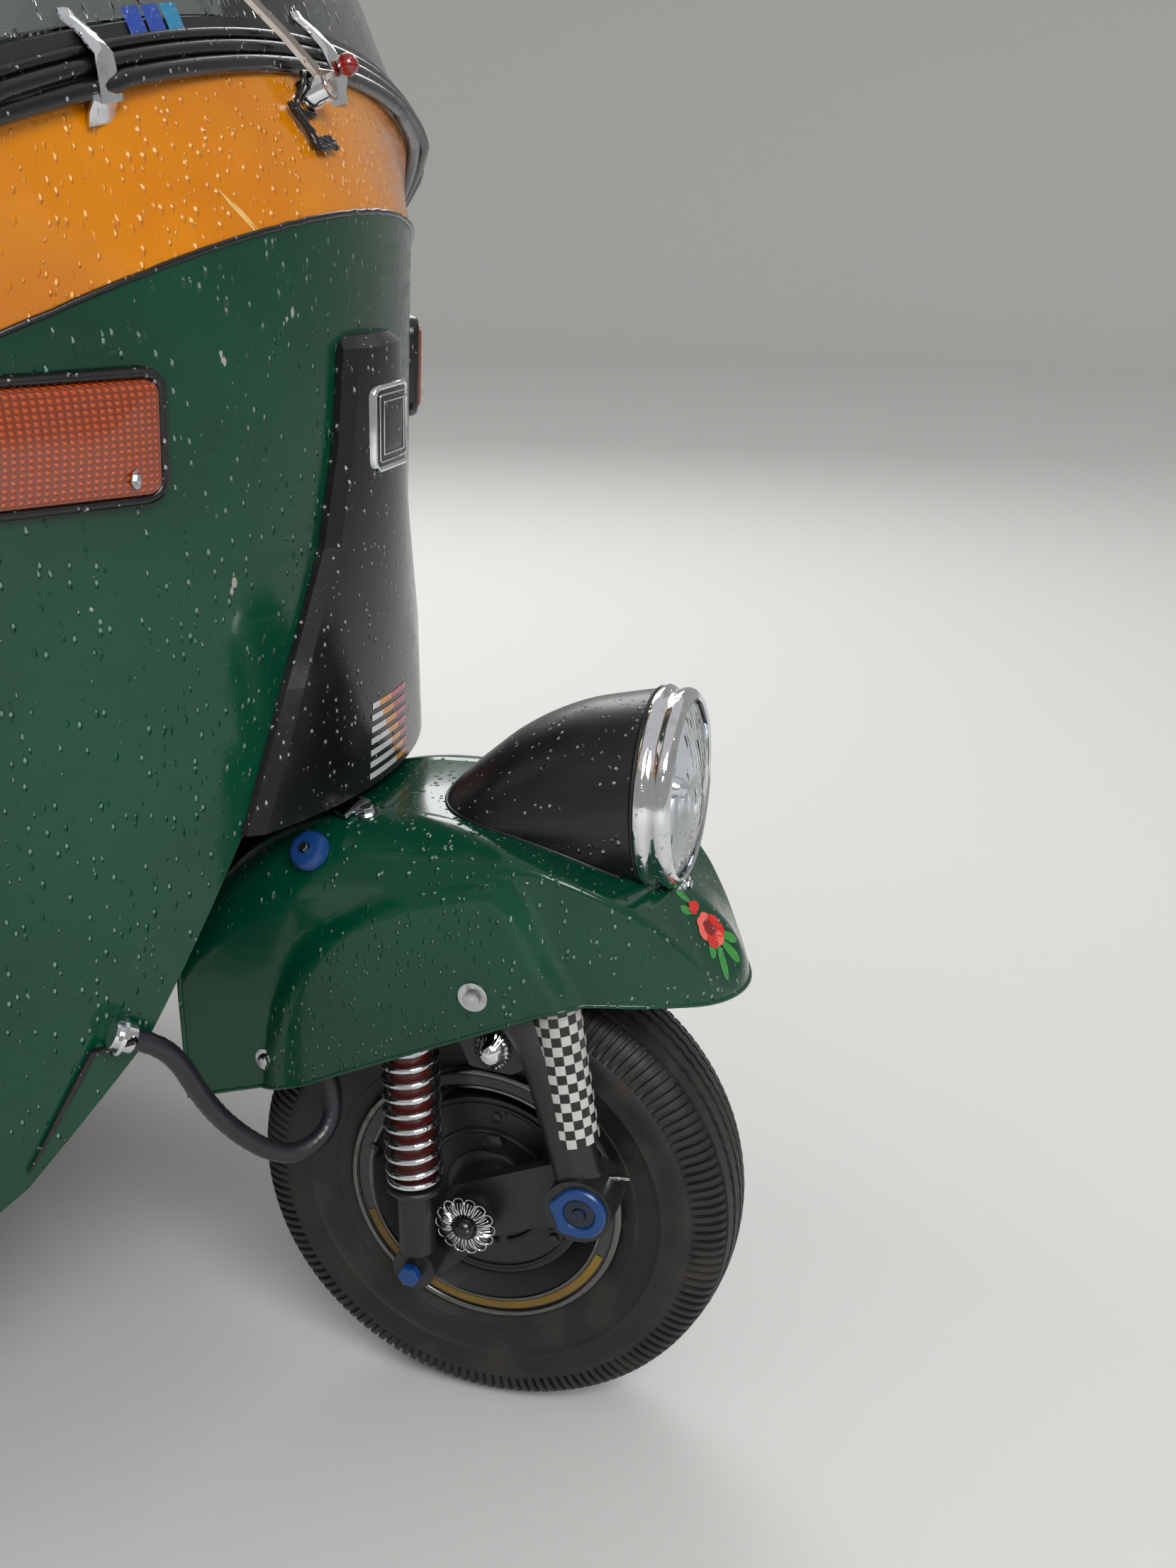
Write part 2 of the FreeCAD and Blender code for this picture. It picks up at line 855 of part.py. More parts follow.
floor_half_front = d.nose_half - d.panel_thick - d.seat_gap
floor_points = [
    (-floor_half_front, rel(d.door_edge_y)),
    (-d.tub_foot_half, d.tub_front_y - d.seat_gap),
    (d.tub_foot_half, d.tub_front_y - d.seat_gap),
    (floor_half_front, rel(d.door_edge_y)),
]
floor = padded("floor_plate", "XY_Plane", floor_points, d.floor_thick)
move(floor, 0, 0, d.floor_z - d.floor_thick / 2)
floor_neck = d.nose_half - d.panel_thick * 3
floor_front = block("floor_front", (-floor_neck, floor_neck), (rel(d.toe_y), rel(d.door_edge_y)),
                    (d.floor_z - d.floor_thick, d.floor_z))


def sill(hand):
    low = n["sill_z"]
    x_front = float(floor_half_front)
    x_rear = n["tub_foot_half"]
    y_front = fy + n["door_edge_y"]
    y_rear = n["tub_front_y"] - gap
    inset = n["sill_width"]
    outer = [(x_front, y_front), (x_rear, y_rear)]
    steps = outer + [(x - inset, y) for x, y in reversed(outer)]
    return prism(steps, lambda x, y: Vector(hand * x, y, low), Vector(0, 0, n["floor_z"] - low))


def head_bar(radius, low, high):
    return bar((0, steer_y(low), low), (0, steer_y(high), high), radius)


toe = n["toe_thick"]
toe_line = [
    (fy + n["toe_y"], n["floor_z"] - n["floor_thick"]),
    (fy + n["toe_knee_y"], n["toe_knee_z"]),
    (fy + n["toe_bend_y"], n["toe_bend_z"]),
    (fy + n["toe_top_y"], n["toe_top_z"]),
]
toe_back = [
    (toe_line[3][0] + toe, toe_line[3][1] + toe),
    (toe_line[2][0] + toe, toe_line[2][1] + toe),
    (toe_line[1][0] + toe * 1.3, toe_line[1][1] + toe / 2),
    (toe_line[0][0] + toe * 1.3, toe_line[0][1]),
]
toe_room = nose_solid([foot_level, waist_level, band_level], -wall - gap, 60)
toe_plate = side_prism(toe_line + toe_back, 700).common(toe_room)
head_outer = head_bar(n["head_radius"], n["head_foot_z"], n["head_top_z"])
head_bore = head_bar(n["column_radius"] + n["axle_play"], n["head_foot_z"] - 60, n["head_top_z"] + 60)
toe_piece = shape_piece("toe_plate", toe_plate.fuse(head_outer).cut(head_bore))
sills = shape_piece("sills", Part.Compound([sill(1), sill(-1)]))
node(fuse("floor_parts", floor, floor_front, sills, toe_piece), "floor_pan")


# Chassis: two rails, cross members and the hoop that takes the rear shock absorbers

rail_top = d.floor_z - d.floor_thick - d.seat_gap
rail_foot = rail_top - d.rail_size
rail_rear = d.overall_length / 2 - d.bumper_radius * 2
hoop_y = rear_y - d.hoop_forward
hoop_z = d.bench_z + d.hoop_rise
rails = []
for hand in (-1, 1):
    middle = d.rail_x * hand
    rails.append(block("rail", (middle - d.rail_size / 2, middle + d.rail_size / 2),
                       (rel(d.toe_y), rail_rear), (rail_foot, rail_top)))
    rails.append(rod("upright", "z", d.tube_radius, hoop_z - rail_top, middle, hoop_y, rail_top))
    rails.append(rod("arm_pivot", "x", d.tube_radius, d.rail_pivot_half * 2, middle - d.rail_pivot_half,
                     d.arm_pivot_y, (rail_foot + rail_top) / 2))
cross_places = (rel(d.toe_y) + d.cross_width / 2, d.partition_y, d.arm_pivot_y, hoop_y,
                d.engine_rear_y + d.seat_gap + d.cross_width / 2)
for place in cross_places:
    rails.append(block("cross_member", (-d.rail_x, d.rail_x),
                       (place - d.cross_width / 2, place + d.cross_width / 2), (rail_foot, rail_top)))
rails.append(rod("hoop", "x", d.tube_radius, d.house_x * 2 - 60, -d.house_x + 30, hoop_y, hoop_z))
node(fuse("chassis_parts", *rails), "chassis_frame")


# Rear tub: side and rear shell with wheel arches, wheel houses and the shelf over the engine

def tub_wire(half, rear, height, grow, deep):
    half = half + grow
    rear = rear + grow
    corner = n["tub_corner"] + grow
    start = n["tub_front_y"] - deep
    bite = corner * (1 - math.sqrt(0.5))

    def to_space(x, y):
        return Vector(x, y, height)

    steps = [
        (-half, start),
        (half, start),
        (half, rear - corner),
        ((half - bite, rear - bite), (half - corner, rear)),
        (-half + corner, rear),
        ((-half + bite, rear - bite), (-half, rear - corner)),
    ]
    return closed_wire(steps, to_space)


# Levels of the tub: half width, rear y, height
tub_levels = (
    (n["tub_foot_half"], n["tub_foot_rear"], n["tub_foot_z"]),
    (half_width, n["tub_waist_rear"], n["tub_waist_z"]),
    (n["tub_top_half"], n["tub_top_rear"], n["tub_top_z"]),
)


def tub_solid(grow, deep=0.0):
    wires = [tub_wire(half, rear, height, grow, deep) for half, rear, height in tub_levels]
    return Part.makeLoft(wires, True, True)


tub_outer = tub_solid(0)
tub_inner = tub_solid(-wall, 60)
tub_shell = tub_outer.cut(tub_inner)
arch_start = Vector(-half_width - 50, ry, n["tyre_radius"])
arch = Part.makeCylinder(n["arch_radius"], 2 * half_width + 100, arch_start, Vector(1, 0, 0))


def door_prism(inset):
    """The rear engine door's outline with its corners cut off, drawn in by inset."""
    half = n["door_half"] - inset
    low = n["door_foot_z"] + inset
    high = n["door_head_z"] - inset
    corner = n["door_corner"] - inset * (2 - math.sqrt(2))
    steps = []
    for across, up in ((-1, -1), (-1, 1), (1, 1), (1, -1)):
        z = high if up > 0 else low
        pair = [(across * half, z - up * corner), (across * (half - corner), z)]
        steps += pair if across * up < 0 else pair[::-1]
    return front_prism(steps, n["tub_waist_rear"] - n["door_reach"], n["tub_waist_rear"] + n["door_reach"])


def wheel_house(hand):
    """An inner wall and a roof over the tyre, from the tub's side to the wall."""
    inner = hand * n["house_x"]
    outer = hand * (half_width - wall - 12)
    low = min(inner, outer)
    width = abs(outer - inner)
    axis = Vector(1, 0, 0)
    centre = Vector(low, ry, n["tyre_radius"])
    full = Part.makeCylinder(n["arch_radius"] + n["house_wall"], width, centre, axis)
    start = Vector(low + (n["house_wall"] if hand > 0 else -1), ry, n["tyre_radius"])
    hollow = Part.makeCylinder(n["arch_radius"], width + 1 - n["house_wall"], start, axis)
    keep = Part.makeBox(width + 4, 900, 700, Vector(low - 2, ry - 450, n["tub_foot_z"]))
    return full.cut(hollow).common(keep)


shelf_corner = Vector(-half_width, n["bench_rear_y"] + n["shelf_gap"], n["tub_top_z"] - n["shelf_drop"])
shelf = Part.makeBox(2 * half_width, 1000, n["shelf_thick"], shelf_corner)
shelf = shelf.common(tub_solid(-wall / 2))
board_corner = shelf_corner + Vector(n["board_inset"], n["board_inset"] / 3, n["shelf_thick"])
board_length = shelf.BoundBox.YMax - board_corner.y - n["board_inset"]
board = Part.makeBox(2 * (half_width - n["board_inset"]), board_length, n["board_thick"], board_corner)
board = board.common(tub_solid(-n["board_inset"]))
tub = tub_shell.cut(arch).cut(door_prism(0))
houses = [wheel_house(1).common(tub_solid(-1)), wheel_house(-1).common(tub_solid(-1))]
tub = tub.fuse(houses + [shelf, board])

# The door hangs on two hinges: pins between lugs on the tub, knuckles and leaves on the door
hinge_z = n["door_head_z"] + n["hinge_rise"]
tub_fall = (n["tub_waist_rear"] - n["tub_top_rear"]) / (n["tub_top_z"] - n["tub_waist_z"])
hinge_y = n["tub_waist_rear"] - (hinge_z - n["tub_waist_z"]) * tub_fall + n["hinge_proud"]
lug_start = n["hinge_x"] - n["hinge_half"] - 1
lug_end = n["hinge_x"] + n["hinge_half"] + 1
hinge_radius = n["hinge_radius"]


def hinge_bar(start, end, radius):
    return bar((start, hinge_y, hinge_z), (end, hinge_y, hinge_z), radius)


pin = hinge_bar(lug_start - 2, lug_end + 2, n["hinge_pin_radius"])
for start in (lug_start - n["hinge_lug"], lug_end):
    lug = Part.makeBox(n["hinge_lug"], n["hinge_proud"] + 4, n["hinge_rise"] * 2,
                       Vector(start, hinge_y - n["hinge_proud"] - 4, hinge_z - n["hinge_rise"]))
    pin = pin.fuse([lug, hinge_bar(start, start + n["hinge_lug"], n["hinge_rise"])])
knuckle_start = n["hinge_x"] - n["hinge_half"]
knuckle_end = n["hinge_x"] + n["hinge_half"]
leaf_corner = Vector(knuckle_start, hinge_y - hinge_radius, hinge_z - hinge_radius - n["hinge_leaf"])
leaf = Part.makeBox(knuckle_end - knuckle_start, n["leaf_thick"], hinge_radius + n["hinge_leaf"], leaf_corner)
bore = hinge_bar(knuckle_start - 1, knuckle_end + 1, n["hinge_pin_radius"] + n["axle_play"])
knuckle = hinge_bar(knuckle_start, knuckle_end, hinge_radius).fuse(leaf).cut(bore)
node(shape_piece("rear_body", tub.fuse([pin, mirrored(pin)])), "rear_body")

door = tub_outer.cut(tub_inner).common(door_prism(n["door_gap"]))
node(shape_piece("engine_door", door.fuse([knuckle, mirrored(knuckle)])), "engine_door")


# Seats, partition and dashboard

seat_box = block("seat_box", (-d.seat_half, d.seat_half), (d.seat_front_y + 20, d.seat_rear_y),
                 (d.floor_z, d.seat_box_z))
node(soften("seat_box_soft", seat_box, 20, lambda edge: abs(edge.tangentAt(0).z) > 0.9), "driver_seat_box")
cushion = block("seat_pad", (-d.seat_half, d.seat_half), (d.seat_front_y, d.seat_rear_y),
                (d.seat_box_z + d.seat_gap, d.seat_box_z + d.cushion_thick))
node(soften("seat_pad_soft", cushion, 25, lambda edge: edge.CenterOfMass.z > n["seat_box_z"] + 20),
     "driver_cushion")
wall_points = [
    (-d.partition_half, d.floor_z),
    (-d.partition_half, d.partition_top_z - 60),
    (-d.partition_half + 60, d.partition_top_z),
    (d.partition_half - 60, d.partition_top_z),
    (d.partition_half, d.partition_top_z - 60),
    (d.partition_half, d.floor_z),
]
partition = padded("partition_body", "XZ_Plane", wall_points, d.panel_thick)
node(move(partition, 0, d.partition_y, 0), "partition")
back_rear = d.partition_y - d.panel_thick / 2 - d.seat_gap
back = block("back_pad", (-d.back_half, d.back_half), (back_rear - d.back_thick, back_rear),
             (d.back_foot_z, d.back_top_z))
node(soften("back_pad_soft", back, 20, lambda edge: True), "driver_backrest")

bench = block("bench_base", (-d.bench_half + 50, d.bench_half - 50), (d.bench_front_y, d.bench_rear_y),
              (d.floor_z, d.bench_z))
node(bench, "passenger_seat_base")
bench_pad = block("bench_pad", (-d.bench_half, d.bench_half), (d.bench_front_y - 15, d.bench_rear_y - 60),
                  (d.bench_z + d.seat_gap, d.bench_z + d.cushion_thick))
node(soften("bench_pad_soft", bench_pad, 25, lambda edge: edge.CenterOfMass.z > n["bench_z"] + 20),
     "passenger_cushion")
bench_back = block("bench_back", (-d.bench_half, d.bench_half),
                   (d.bench_rear_y - 60 + d.seat_gap, d.bench_rear_y + 20),
                   (d.bench_z + d.seat_gap, d.bench_back_top_z))
node(soften("bench_back_soft", bench_back, 25, lambda edge: edge.CenterOfMass.z > n["bench_z"] + 20),
     "passenger_backrest")

dash_corner = Vector(-half_width, fy + n["dash_y"], n["dash_z"])
dash = Part.makeBox(2 * half_width, n["dash_depth"], n["dash_height"], dash_corner)
dash = dash.common(nose_solid([foot_level, waist_level, band_level], -wall - gap))
node(shape_piece("dashboard", dash), "dashboard")


# Hood: a canvas shell open at the doors, with its rear window cut

def hood_steps(inset):
    """The hood's side outline, or its hollow when inset is the canvas thickness."""
    front = n["hood_front_y"] + inset
    top = n["overall_height"] - inset
    rear = n["hood_rear_y"] - inset
    bend = n["hood_bend_y"]
    foot = n["tub_top_z"] + gap
    brow = arc_middle(Vector(front + 560, top, 0), Vector(-1, 0, 0), Vector(front + 25, top - 70, 0))
    fall = arc_middle(Vector(bend - 260, top - 6, 0), Vector(1, 0, 0), Vector(bend + 30, top - 92, 0))
    steps = [
        (front, foot),
        (front + 25, top - 70),
        ((brow.x, brow.y), (front + 560, top)),
        (bend - 260, top - 6),
        ((fall.x, fall.y), (bend + 30, top - 92)),
        (n["hood_break_y"] - inset, n["hood_break_z"] - inset),
        (rear, foot),
    ]
    return steps


def hood_solid(inset):
    """The hood as a full form down to the tub, its edges rounded across in three steps a side."""
    half = n["hood_half"] - inset
    radius = n["hood_round"] - inset
    bends = [(half - radius * (1 - math.cos(angle)), radius * (1 - math.sin(angle)))
             for angle in (0, math.pi / 6, math.pi / 3, math.pi / 2)]
    stations = [(-x, drop) for x, drop in bends] + [(x, drop) for x, drop in reversed(bends)]
    wires = []
    for x, drop in stations:
        wires.append(closed_wire(hood_steps(inset + drop), lambda y, z, x=x: Vector(x, y, z)))
    return Part.makeLoft(wires, True, True)


door_space = side_prism([
    (-2000, n["tub_top_z"] - 300), (-2000, n["hood_rail_z"]), (n["tub_front_y"], n["hood_rail_z"]),
    (n["tub_front_y"], n["tub_top_z"] - 300),
], 900)
window = [
    (-n["window_half"], n["window_foot_z"]),
    (-n["window_half"], n["window_top_z"]),
    (n["window_half"], n["window_top_z"]),
    (n["window_half"], n["window_foot_z"]),
]
window = rounded(front_prism(window, 700, 1300), 35, lambda edge: edge.BoundBox.YLength > 500)
hood = hood_solid(0).cut(hood_solid(n["hood_wall"]).fuse([door_space, window]))
node(shape_piece("hood_canvas", hood), "hood_canvas")

tube_radius = n["tube_radius"]
frame_x = n["hood_half"] - n["hood_wall"] - tube_radius - gap
rail_z = n["hood_rail_z"] + 10
bow_z = n["overall_height"] - n["hood_wall"] - tube_radius - 6
corner_y = fy + n["screen_side_y"] + (rail_z - n["band_top_z"]) * lean + 30
hood_tubes = []
for hand in (-1, 1):
    hood_tubes.append(tube([
        (hand * (n["screen_half"] - 20), corner_y, rail_z),
        (hand * frame_x, corner_y + 160, rail_z),
        (hand * frame_x, n["tub_front_y"] - 25, rail_z),
        (hand * frame_x, n["tub_front_y"] - 25, n["floor_z"]),
    ], tube_radius, 90))
for bow_y in (n["partition_y"], n["tub_front_y"] - 150):
    hood_tubes.append(tube([
        (-frame_x, bow_y, rail_z - 4),
        (-frame_x + 40, bow_y, bow_z - 10),
        (0, bow_y, bow_z),
        (frame_x - 40, bow_y, bow_z - 10),
        (frame_x, bow_y, rail_z - 4),
    ], tube_radius, 45))
for x in (-frame_x, frame_x):
    hood_tubes.append(bar((x, n["partition_y"], rail_z), (x, n["partition_y"], n["floor_z"]), tube_radius))
node(shape_piece("hood_frame", hood_tubes[0].fuse(hood_tubes[1:])), "hood_frame")


# Engine, silencer, rear suspension and bumper

engine = block("engine", (-d.engine_half, d.engine_half),
               (hoop_y + d.cross_width / 2 + d.seat_gap, d.engine_rear_y), (d.engine_foot_z, d.engine_top_z))
node(engine, "engine_block")
silencer_y = rail_rear - d.silencer_radius - d.seat_gap
can = rod("silencer_can", "x", d.silencer_radius, d.rail_x * 2 + d.rail_size, -d.rail_x - d.rail_size / 2,
          silencer_y, rail_foot - d.silencer_radius - d.silencer_drop)
pipe_start = d.engine_rear_y + d.seat_gap
pipe = rod("silencer_pipe", "y", d.pipe_radius, silencer_y - pipe_start, 0, pipe_start, d.pipe_z)
node(fuse("silencer_parts", can, pipe), "silencer")

axle_x = n["rear_track"] / 2
rail_mid_z = (float(rail_foot) + float(rail_top)) / 2


def trailing_arm(hand):
    """A pivot sleeve, the arm, and the stub axle that carries the wheel."""
    arm_x = hand * n["rear_arm_x"]
    sleeve = bar((hand * (n["rail_x"] + n["rail_pivot_half"] + gap), n["arm_pivot_y"], rail_mid_z),
                 (hand * n["arm_sleeve_end"], n["arm_pivot_y"], rail_mid_z), n["arm_sleeve_radius"])
    arm = bar((arm_x, n["arm_pivot_y"], rail_mid_z), (arm_x, ry, n["tyre_radius"]), n["rear_arm_radius"])

    def axle_bar(x_start, x_end, radius):
        return bar((hand * x_start, ry, n["tyre_radius"]), (hand * x_end, ry, n["tyre_radius"]), radius)

    hub = axle_bar(n["hub_inner"], n["hub_outer"], n["hub_radius"])
    stub = axle_bar(n["hub_outer"] - 6, axle_x + 20, n["axle_radius"])
    return sleeve.fuse([arm, hub, stub])


node(shape_piece("trailing_arms", Part.Compound([trailing_arm(1), trailing_arm(-1)])), "trailing_arms")


def rear_shock(hand):
    x = hand * n["rear_arm_x"]
    low_y = ry - n["rear_shock_forward"]
    rise = (rail_mid_z - n["tyre_radius"]) / (ry - n["arm_pivot_y"])
    low_z = n["tyre_radius"] + rise * n["rear_shock_forward"]
    high_y = float(hoop_y)
    high_z = float(hoop_z) - tube_radius - gap
    middle = (x, (low_y + high_y) / 2, (low_z + high_z) / 2)
    top = (x, high_y, high_z)
    arm_seat = bar((x, n["arm_pivot_y"], rail_mid_z), (x, ry, n["tyre_radius"]), n["rear_arm_radius"] + gap)
    body = bar(middle, top, n["coil_radius"])
    return bar((x, low_y, low_z), middle, n["rear_shock_rod"]).fuse(body).cut(arm_seat)


node(shape_piece("rear_shocks", Part.Compound([rear_shock(1), rear_shock(-1)])), "rear_shocks")
shaft_start = n["engine_half"] + gap
shaft_end = n["hub_inner"] - gap
shaft = bar((shaft_start, ry, n["tyre_radius"]), (shaft_end, ry, n["tyre_radius"]), n["shaft_radius"])
node(shape_piece("drive_shafts", both_sides(shaft)), "drive_shafts")

bumper_y = n["overall_length"] / 2 - n["bumper_radius"]
bumper_z = rail_mid_z
bumper = tube([
    (-n["bumper_half"], bumper_y - 110, bumper_z),
    (-n["bumper_half"] + 20, bumper_y, bumper_z),
    (n["bumper_half"] - 20, bumper_y, bumper_z),
    (n["bumper_half"], bumper_y - 110, bumper_z),
], n["bumper_radius"])
node(shape_piece("rear_bumper", bumper), "rear_bumper")

lamp_corner = Vector(n["tail_lamp_x"], n["tub_waist_rear"] - 90, n["tail_lamp_z"])
lamp = Part.makeBox(n["tail_lamp_width"], 120, n["tail_lamp_height"], lamp_corner)
lamp = rounded(lamp, n["indicator_round"], lambda edge: abs(edge.tangentAt(0).y) > 0.9)
lamp = lamp.common(tub_solid(n["lens_proud"])).cut(tub_solid(gap))
node(shape_piece("tail_lamps", both_sides(lamp)), "tail_lamps")


# Steering body: column, fork arm, link, shock absorber, mudguard, headlamp and handlebar

arm_x = -n["arm_x"]
pivot = (arm_x, fy - n["pivot_y"], n["pivot_z"])
crown = (0, steer_y(n["crown_z"]), n["crown_z"])
column_radius = n["column_radius"]
column = bar(crown, (0, steer_y(n["bar_z"]), n["bar_z"]), column_radius)
fork_route = [
    (20, crown[1] + 6, crown[2] - 4),
    (arm_x, crown[1] - 55, crown[2] - 12),
    (arm_x, fy - 60, 400),
    pivot,
]
fork = tube(fork_route, n["arm_radius"], 40)
boss = bar((pivot[0] - 22, pivot[1], pivot[2]), (pivot[0] + 20, pivot[1], pivot[2]), n["pivot_radius"])
ear_corner = Vector(-n["shock_x"] - 8, fy + n["shock_top_y"] - 30, n["shock_top_z"] - 6)
shock_ear = Part.makeBox(16, 60, 34, ear_corner)
fork = fork.fuse([column, boss, shock_ear])
node(shape_piece("fork_arm", fork), "fork_arm")


def link_plate():
    """The trailing link outside the brake plate, with the stub axle through it."""
    x_in = -(n["tyre_width"] / 2 + n["running_gap"])
    start = Vector(0, pivot[1], pivot[2])
    end = Vector(0, fy + n["shock_foot_y"], n["shock_foot_z"])
    axle = Vector(0, fy, n["tyre_radius"])
    x_out = x_in - n["link_width"]
    half = n["link_half"]
    parts = []
    for here, there in ((start, axle), (axle, end)):
        run = there - here
        across = Vector(0, -run.z, run.y).normalize() * half
        corners = [here + across, there + across, there - across, here - across]
        wire = Part.makePolygon([Vector(x_in, c.y, c.z) for c in corners + corners[:1]])
        parts.append(Part.Face(wire).extrude(Vector(x_out - x_in, 0, 0)))
    for place in (axle, end):
        parts.append(bar((x_in, place.y, place.z), (x_out, place.y, place.z), half))
    plate_x = n["bead_width"] / 3 - n["drum_width"] - n["running_gap"]

    def axle_bar(x_start, x_end, radius):
        return bar((x_start, fy, n["tyre_radius"]), (x_end, fy, n["tyre_radius"]), radius)

    parts.append(axle_bar(x_out - 18, 15, n["axle_radius"]))
    parts.append(axle_bar(x_in + 2, plate_x - 5, half))
    parts.append(axle_bar(plate_x, plate_x - 5, n["plate_radius"]))
    parts.append(bar((x_out, end.y, end.z), (-n["shock_x"] - 14, end.y, end.z), 9))
    return parts[0].fuse(parts[1:])


link_cut = bar((pivot[0] - 30, pivot[1], pivot[2]), (0, pivot[1], pivot[2]), n["pivot_radius"] + gap)
node(shape_piece("suspension_link", link_plate().cut(link_cut)), "suspension_link")

shock_low = Vector(-n["shock_x"], fy + n["shock_foot_y"], n["shock_foot_z"])
shock_high = Vector(-n["shock_x"], fy + n["shock_top_y"], n["shock_top_z"] - 6 - gap)
eye = Part.makeCylinder(18, 22, shock_low - Vector(11, 0, 0), Vector(1, 0, 0))
rod_start = shock_low + Vector(0, 0, 14)
rod_bar = Part.makeCylinder(n["damper_radius"], shock_high.z - rod_start.z, rod_start)
eye_hole = Part.makeCylinder(9 + n["axle_play"], 60, shock_low - Vector(30, 0, 0), Vector(1, 0, 0))
node(shape_piece("front_damper", rod_bar.fuse(eye).cut(eye_hole)), "front_damper")

coil_low = shock_high.z - n["coil_turns"] * n["coil_pitch"] - 2
coil_points = []
for index in range(int(n["coil_turns"])):
    base = coil_low + index * n["coil_pitch"]
    coil_points.append((base, n["coil_radius"] - 5))
    coil_points.append((base + n["coil_pitch"] / 2, n["coil_radius"]))
coil_points.append((coil_low + n["coil_turns"] * n["coil_pitch"], n["coil_radius"] - 5))
coil_ring = [Vector(r, 0, z) for z, r in coil_points]
coil_ring += [Vector(n["damper_radius"] + gap, 0, z) for z in (coil_points[-1][0], coil_points[0][0])]
coil = Part.Face(Part.makePolygon(coil_ring + coil_ring[:1])).revolve(Vector(), Vector(0, 0, 1), 360)
coil.translate(Vector(shock_low.x, shock_low.y, 0))
node(shape_piece("front_spring", coil), "front_spring")


def guard_steps(inset):
    """The mudguard's crown seen from the side: an arc each side of a level stretch, then its tip."""
    tail = fy + n["guard_tail_y"] - inset
    tip = fy - n["guard_tip_y"] + inset
    top = n["guard_crown_z"] - inset
    radius = n["guard_front_radius"] - inset
    hub = Vector(fy + n["guard_level_front_y"], n["guard_crown_z"] - n["guard_front_radius"], 0)
    turn = math.asin((n["guard_level_front_y"] + n["guard_turn_y"]) / n["guard_front_radius"])
    turned = hub + Vector(-radius * math.sin(turn), radius * math.cos(turn), 0)
    half_way = hub + Vector(-radius * math.sin(turn / 2), radius * math.cos(turn / 2), 0)
    rear_level = Vector(fy + n["guard_level_rear_y"], top, 0)
    tail_end = Vector(tail, top - 99, 0)
    tip_end = Vector(tip, n["guard_crown_z"] - 146, 0)
    rear_middle = arc_middle(rear_level, Vector(1, 0, 0), tail_end)
    tip_middle = arc_middle(turned, Vector(-math.cos(turn), -math.sin(turn), 0), tip_end)
    return [
        (tail_end.x, tail_end.y),
        ((rear_middle.x, rear_middle.y), (rear_level.x, rear_level.y)),
        (hub.x, top),
        ((half_way.x, half_way.y), (turned.x, turned.y)),
        ((tip_middle.x, tip_middle.y), (tip_end.x, tip_end.y)),
        (tip, 200),
        (tail, 200),
    ]


def guard_crown(half_outside, inset):
    """A full form under the crown, its top edges rounded in three steps a side."""
    half = half_outside - inset
    radius = n["guard_round"] - inset
    bends = [(half - radius * (1 - math.cos(angle)), radius * (1 - math.sin(angle)))
             for angle in (0, math.pi / 6, math.pi / 3, math.pi / 2)]
    stations = [(-x, drop) for x, drop in bends] + [(x, drop) for x, drop in reversed(bends)]
    wires = []
    for x, drop in stations:
        wires.append(closed_wire(guard_steps(inset + drop), lambda y, z, x=x: Vector(x, y, z)))
    return Part.makeLoft(wires, True, True)


def guard_plan(inset):
    """The mudguard seen from above: straight sides that taper to its tip as half an ellipse."""
    half = n["guard_half"] - n["guard_bulge"] - inset
    centre = Vector(0, fy - n["guard_taper_y"], 150)
    reach = n["guard_tip_y"] - n["guard_taper_y"] - inset
    oval = Part.Ellipse(centre + Vector(0, -reach, 0), centre + Vector(half, 0, 0), centre)
    front = Part.Face(Part.Wire([oval.toShape()])).extrude(Vector(0, 0, 600))
    return front.fuse(Part.makeBox(2 * half, 400, 600, centre - Vector(half, 0, 0)))


# The raised panel that clears the shock absorber, as (y from the front axle, height)
bulge_points = [(-88, 418), (-64, 463), (-44, 502), (-28, 517), (29, 503), (90, 482), (150, 440), (150, 250),
                (-88, 250)]


def guard_solid(inset):
    """The mudguard as a full form, drawn in by inset."""
    narrow = guard_crown(n["guard_half"] - n["guard_bulge"], inset).common(guard_plan(inset))
    outline = Part.makePolygon([Vector(-200, fy + y, z) for y, z in bulge_points + bulge_points[:1]])
    panel_space = Part.Face(outline)
    if inset > 0:
        panel_space = panel_space.makeOffset2D(-inset)
    bulge = panel_space.extrude(Vector(400, 0, 0)).common(guard_crown(n["guard_half"], inset))
    return narrow.fuse(bulge)


guard_foot = side_prism([
    (fy - 300, 100),
    (fy - 300, 405),
    (fy - n["guard_tip_y"] - 1, 412),
    (fy - 150, 424),
    (fy - 105, 427),
    (fy - 72, 421),
    (fy - 24, 401),
    (fy + 34, 375),
    (fy + 87, 351),
    (fy + 128, 335),
    (fy + n["guard_tail_y"] + 20, 302),
    (fy + n["guard_tail_y"] + 20, 100),
], 200)
column_hole = bar((0, steer_y(400), 400), (0, steer_y(700), 700), column_radius + gap)
guard = guard_solid(0).cut(guard_solid(n["guard_wall"])).cut(guard_foot).cut(column_hole)
node(shape_piece("front_mudguard", guard), "front_mudguard")

guard_seat = guard_crown(n["guard_half"], -gap)
lamp_axis = Vector(0, 1, 0)
lamp_start = Vector(0, fy - n["lamp_back_y"], n["lamp_z"])
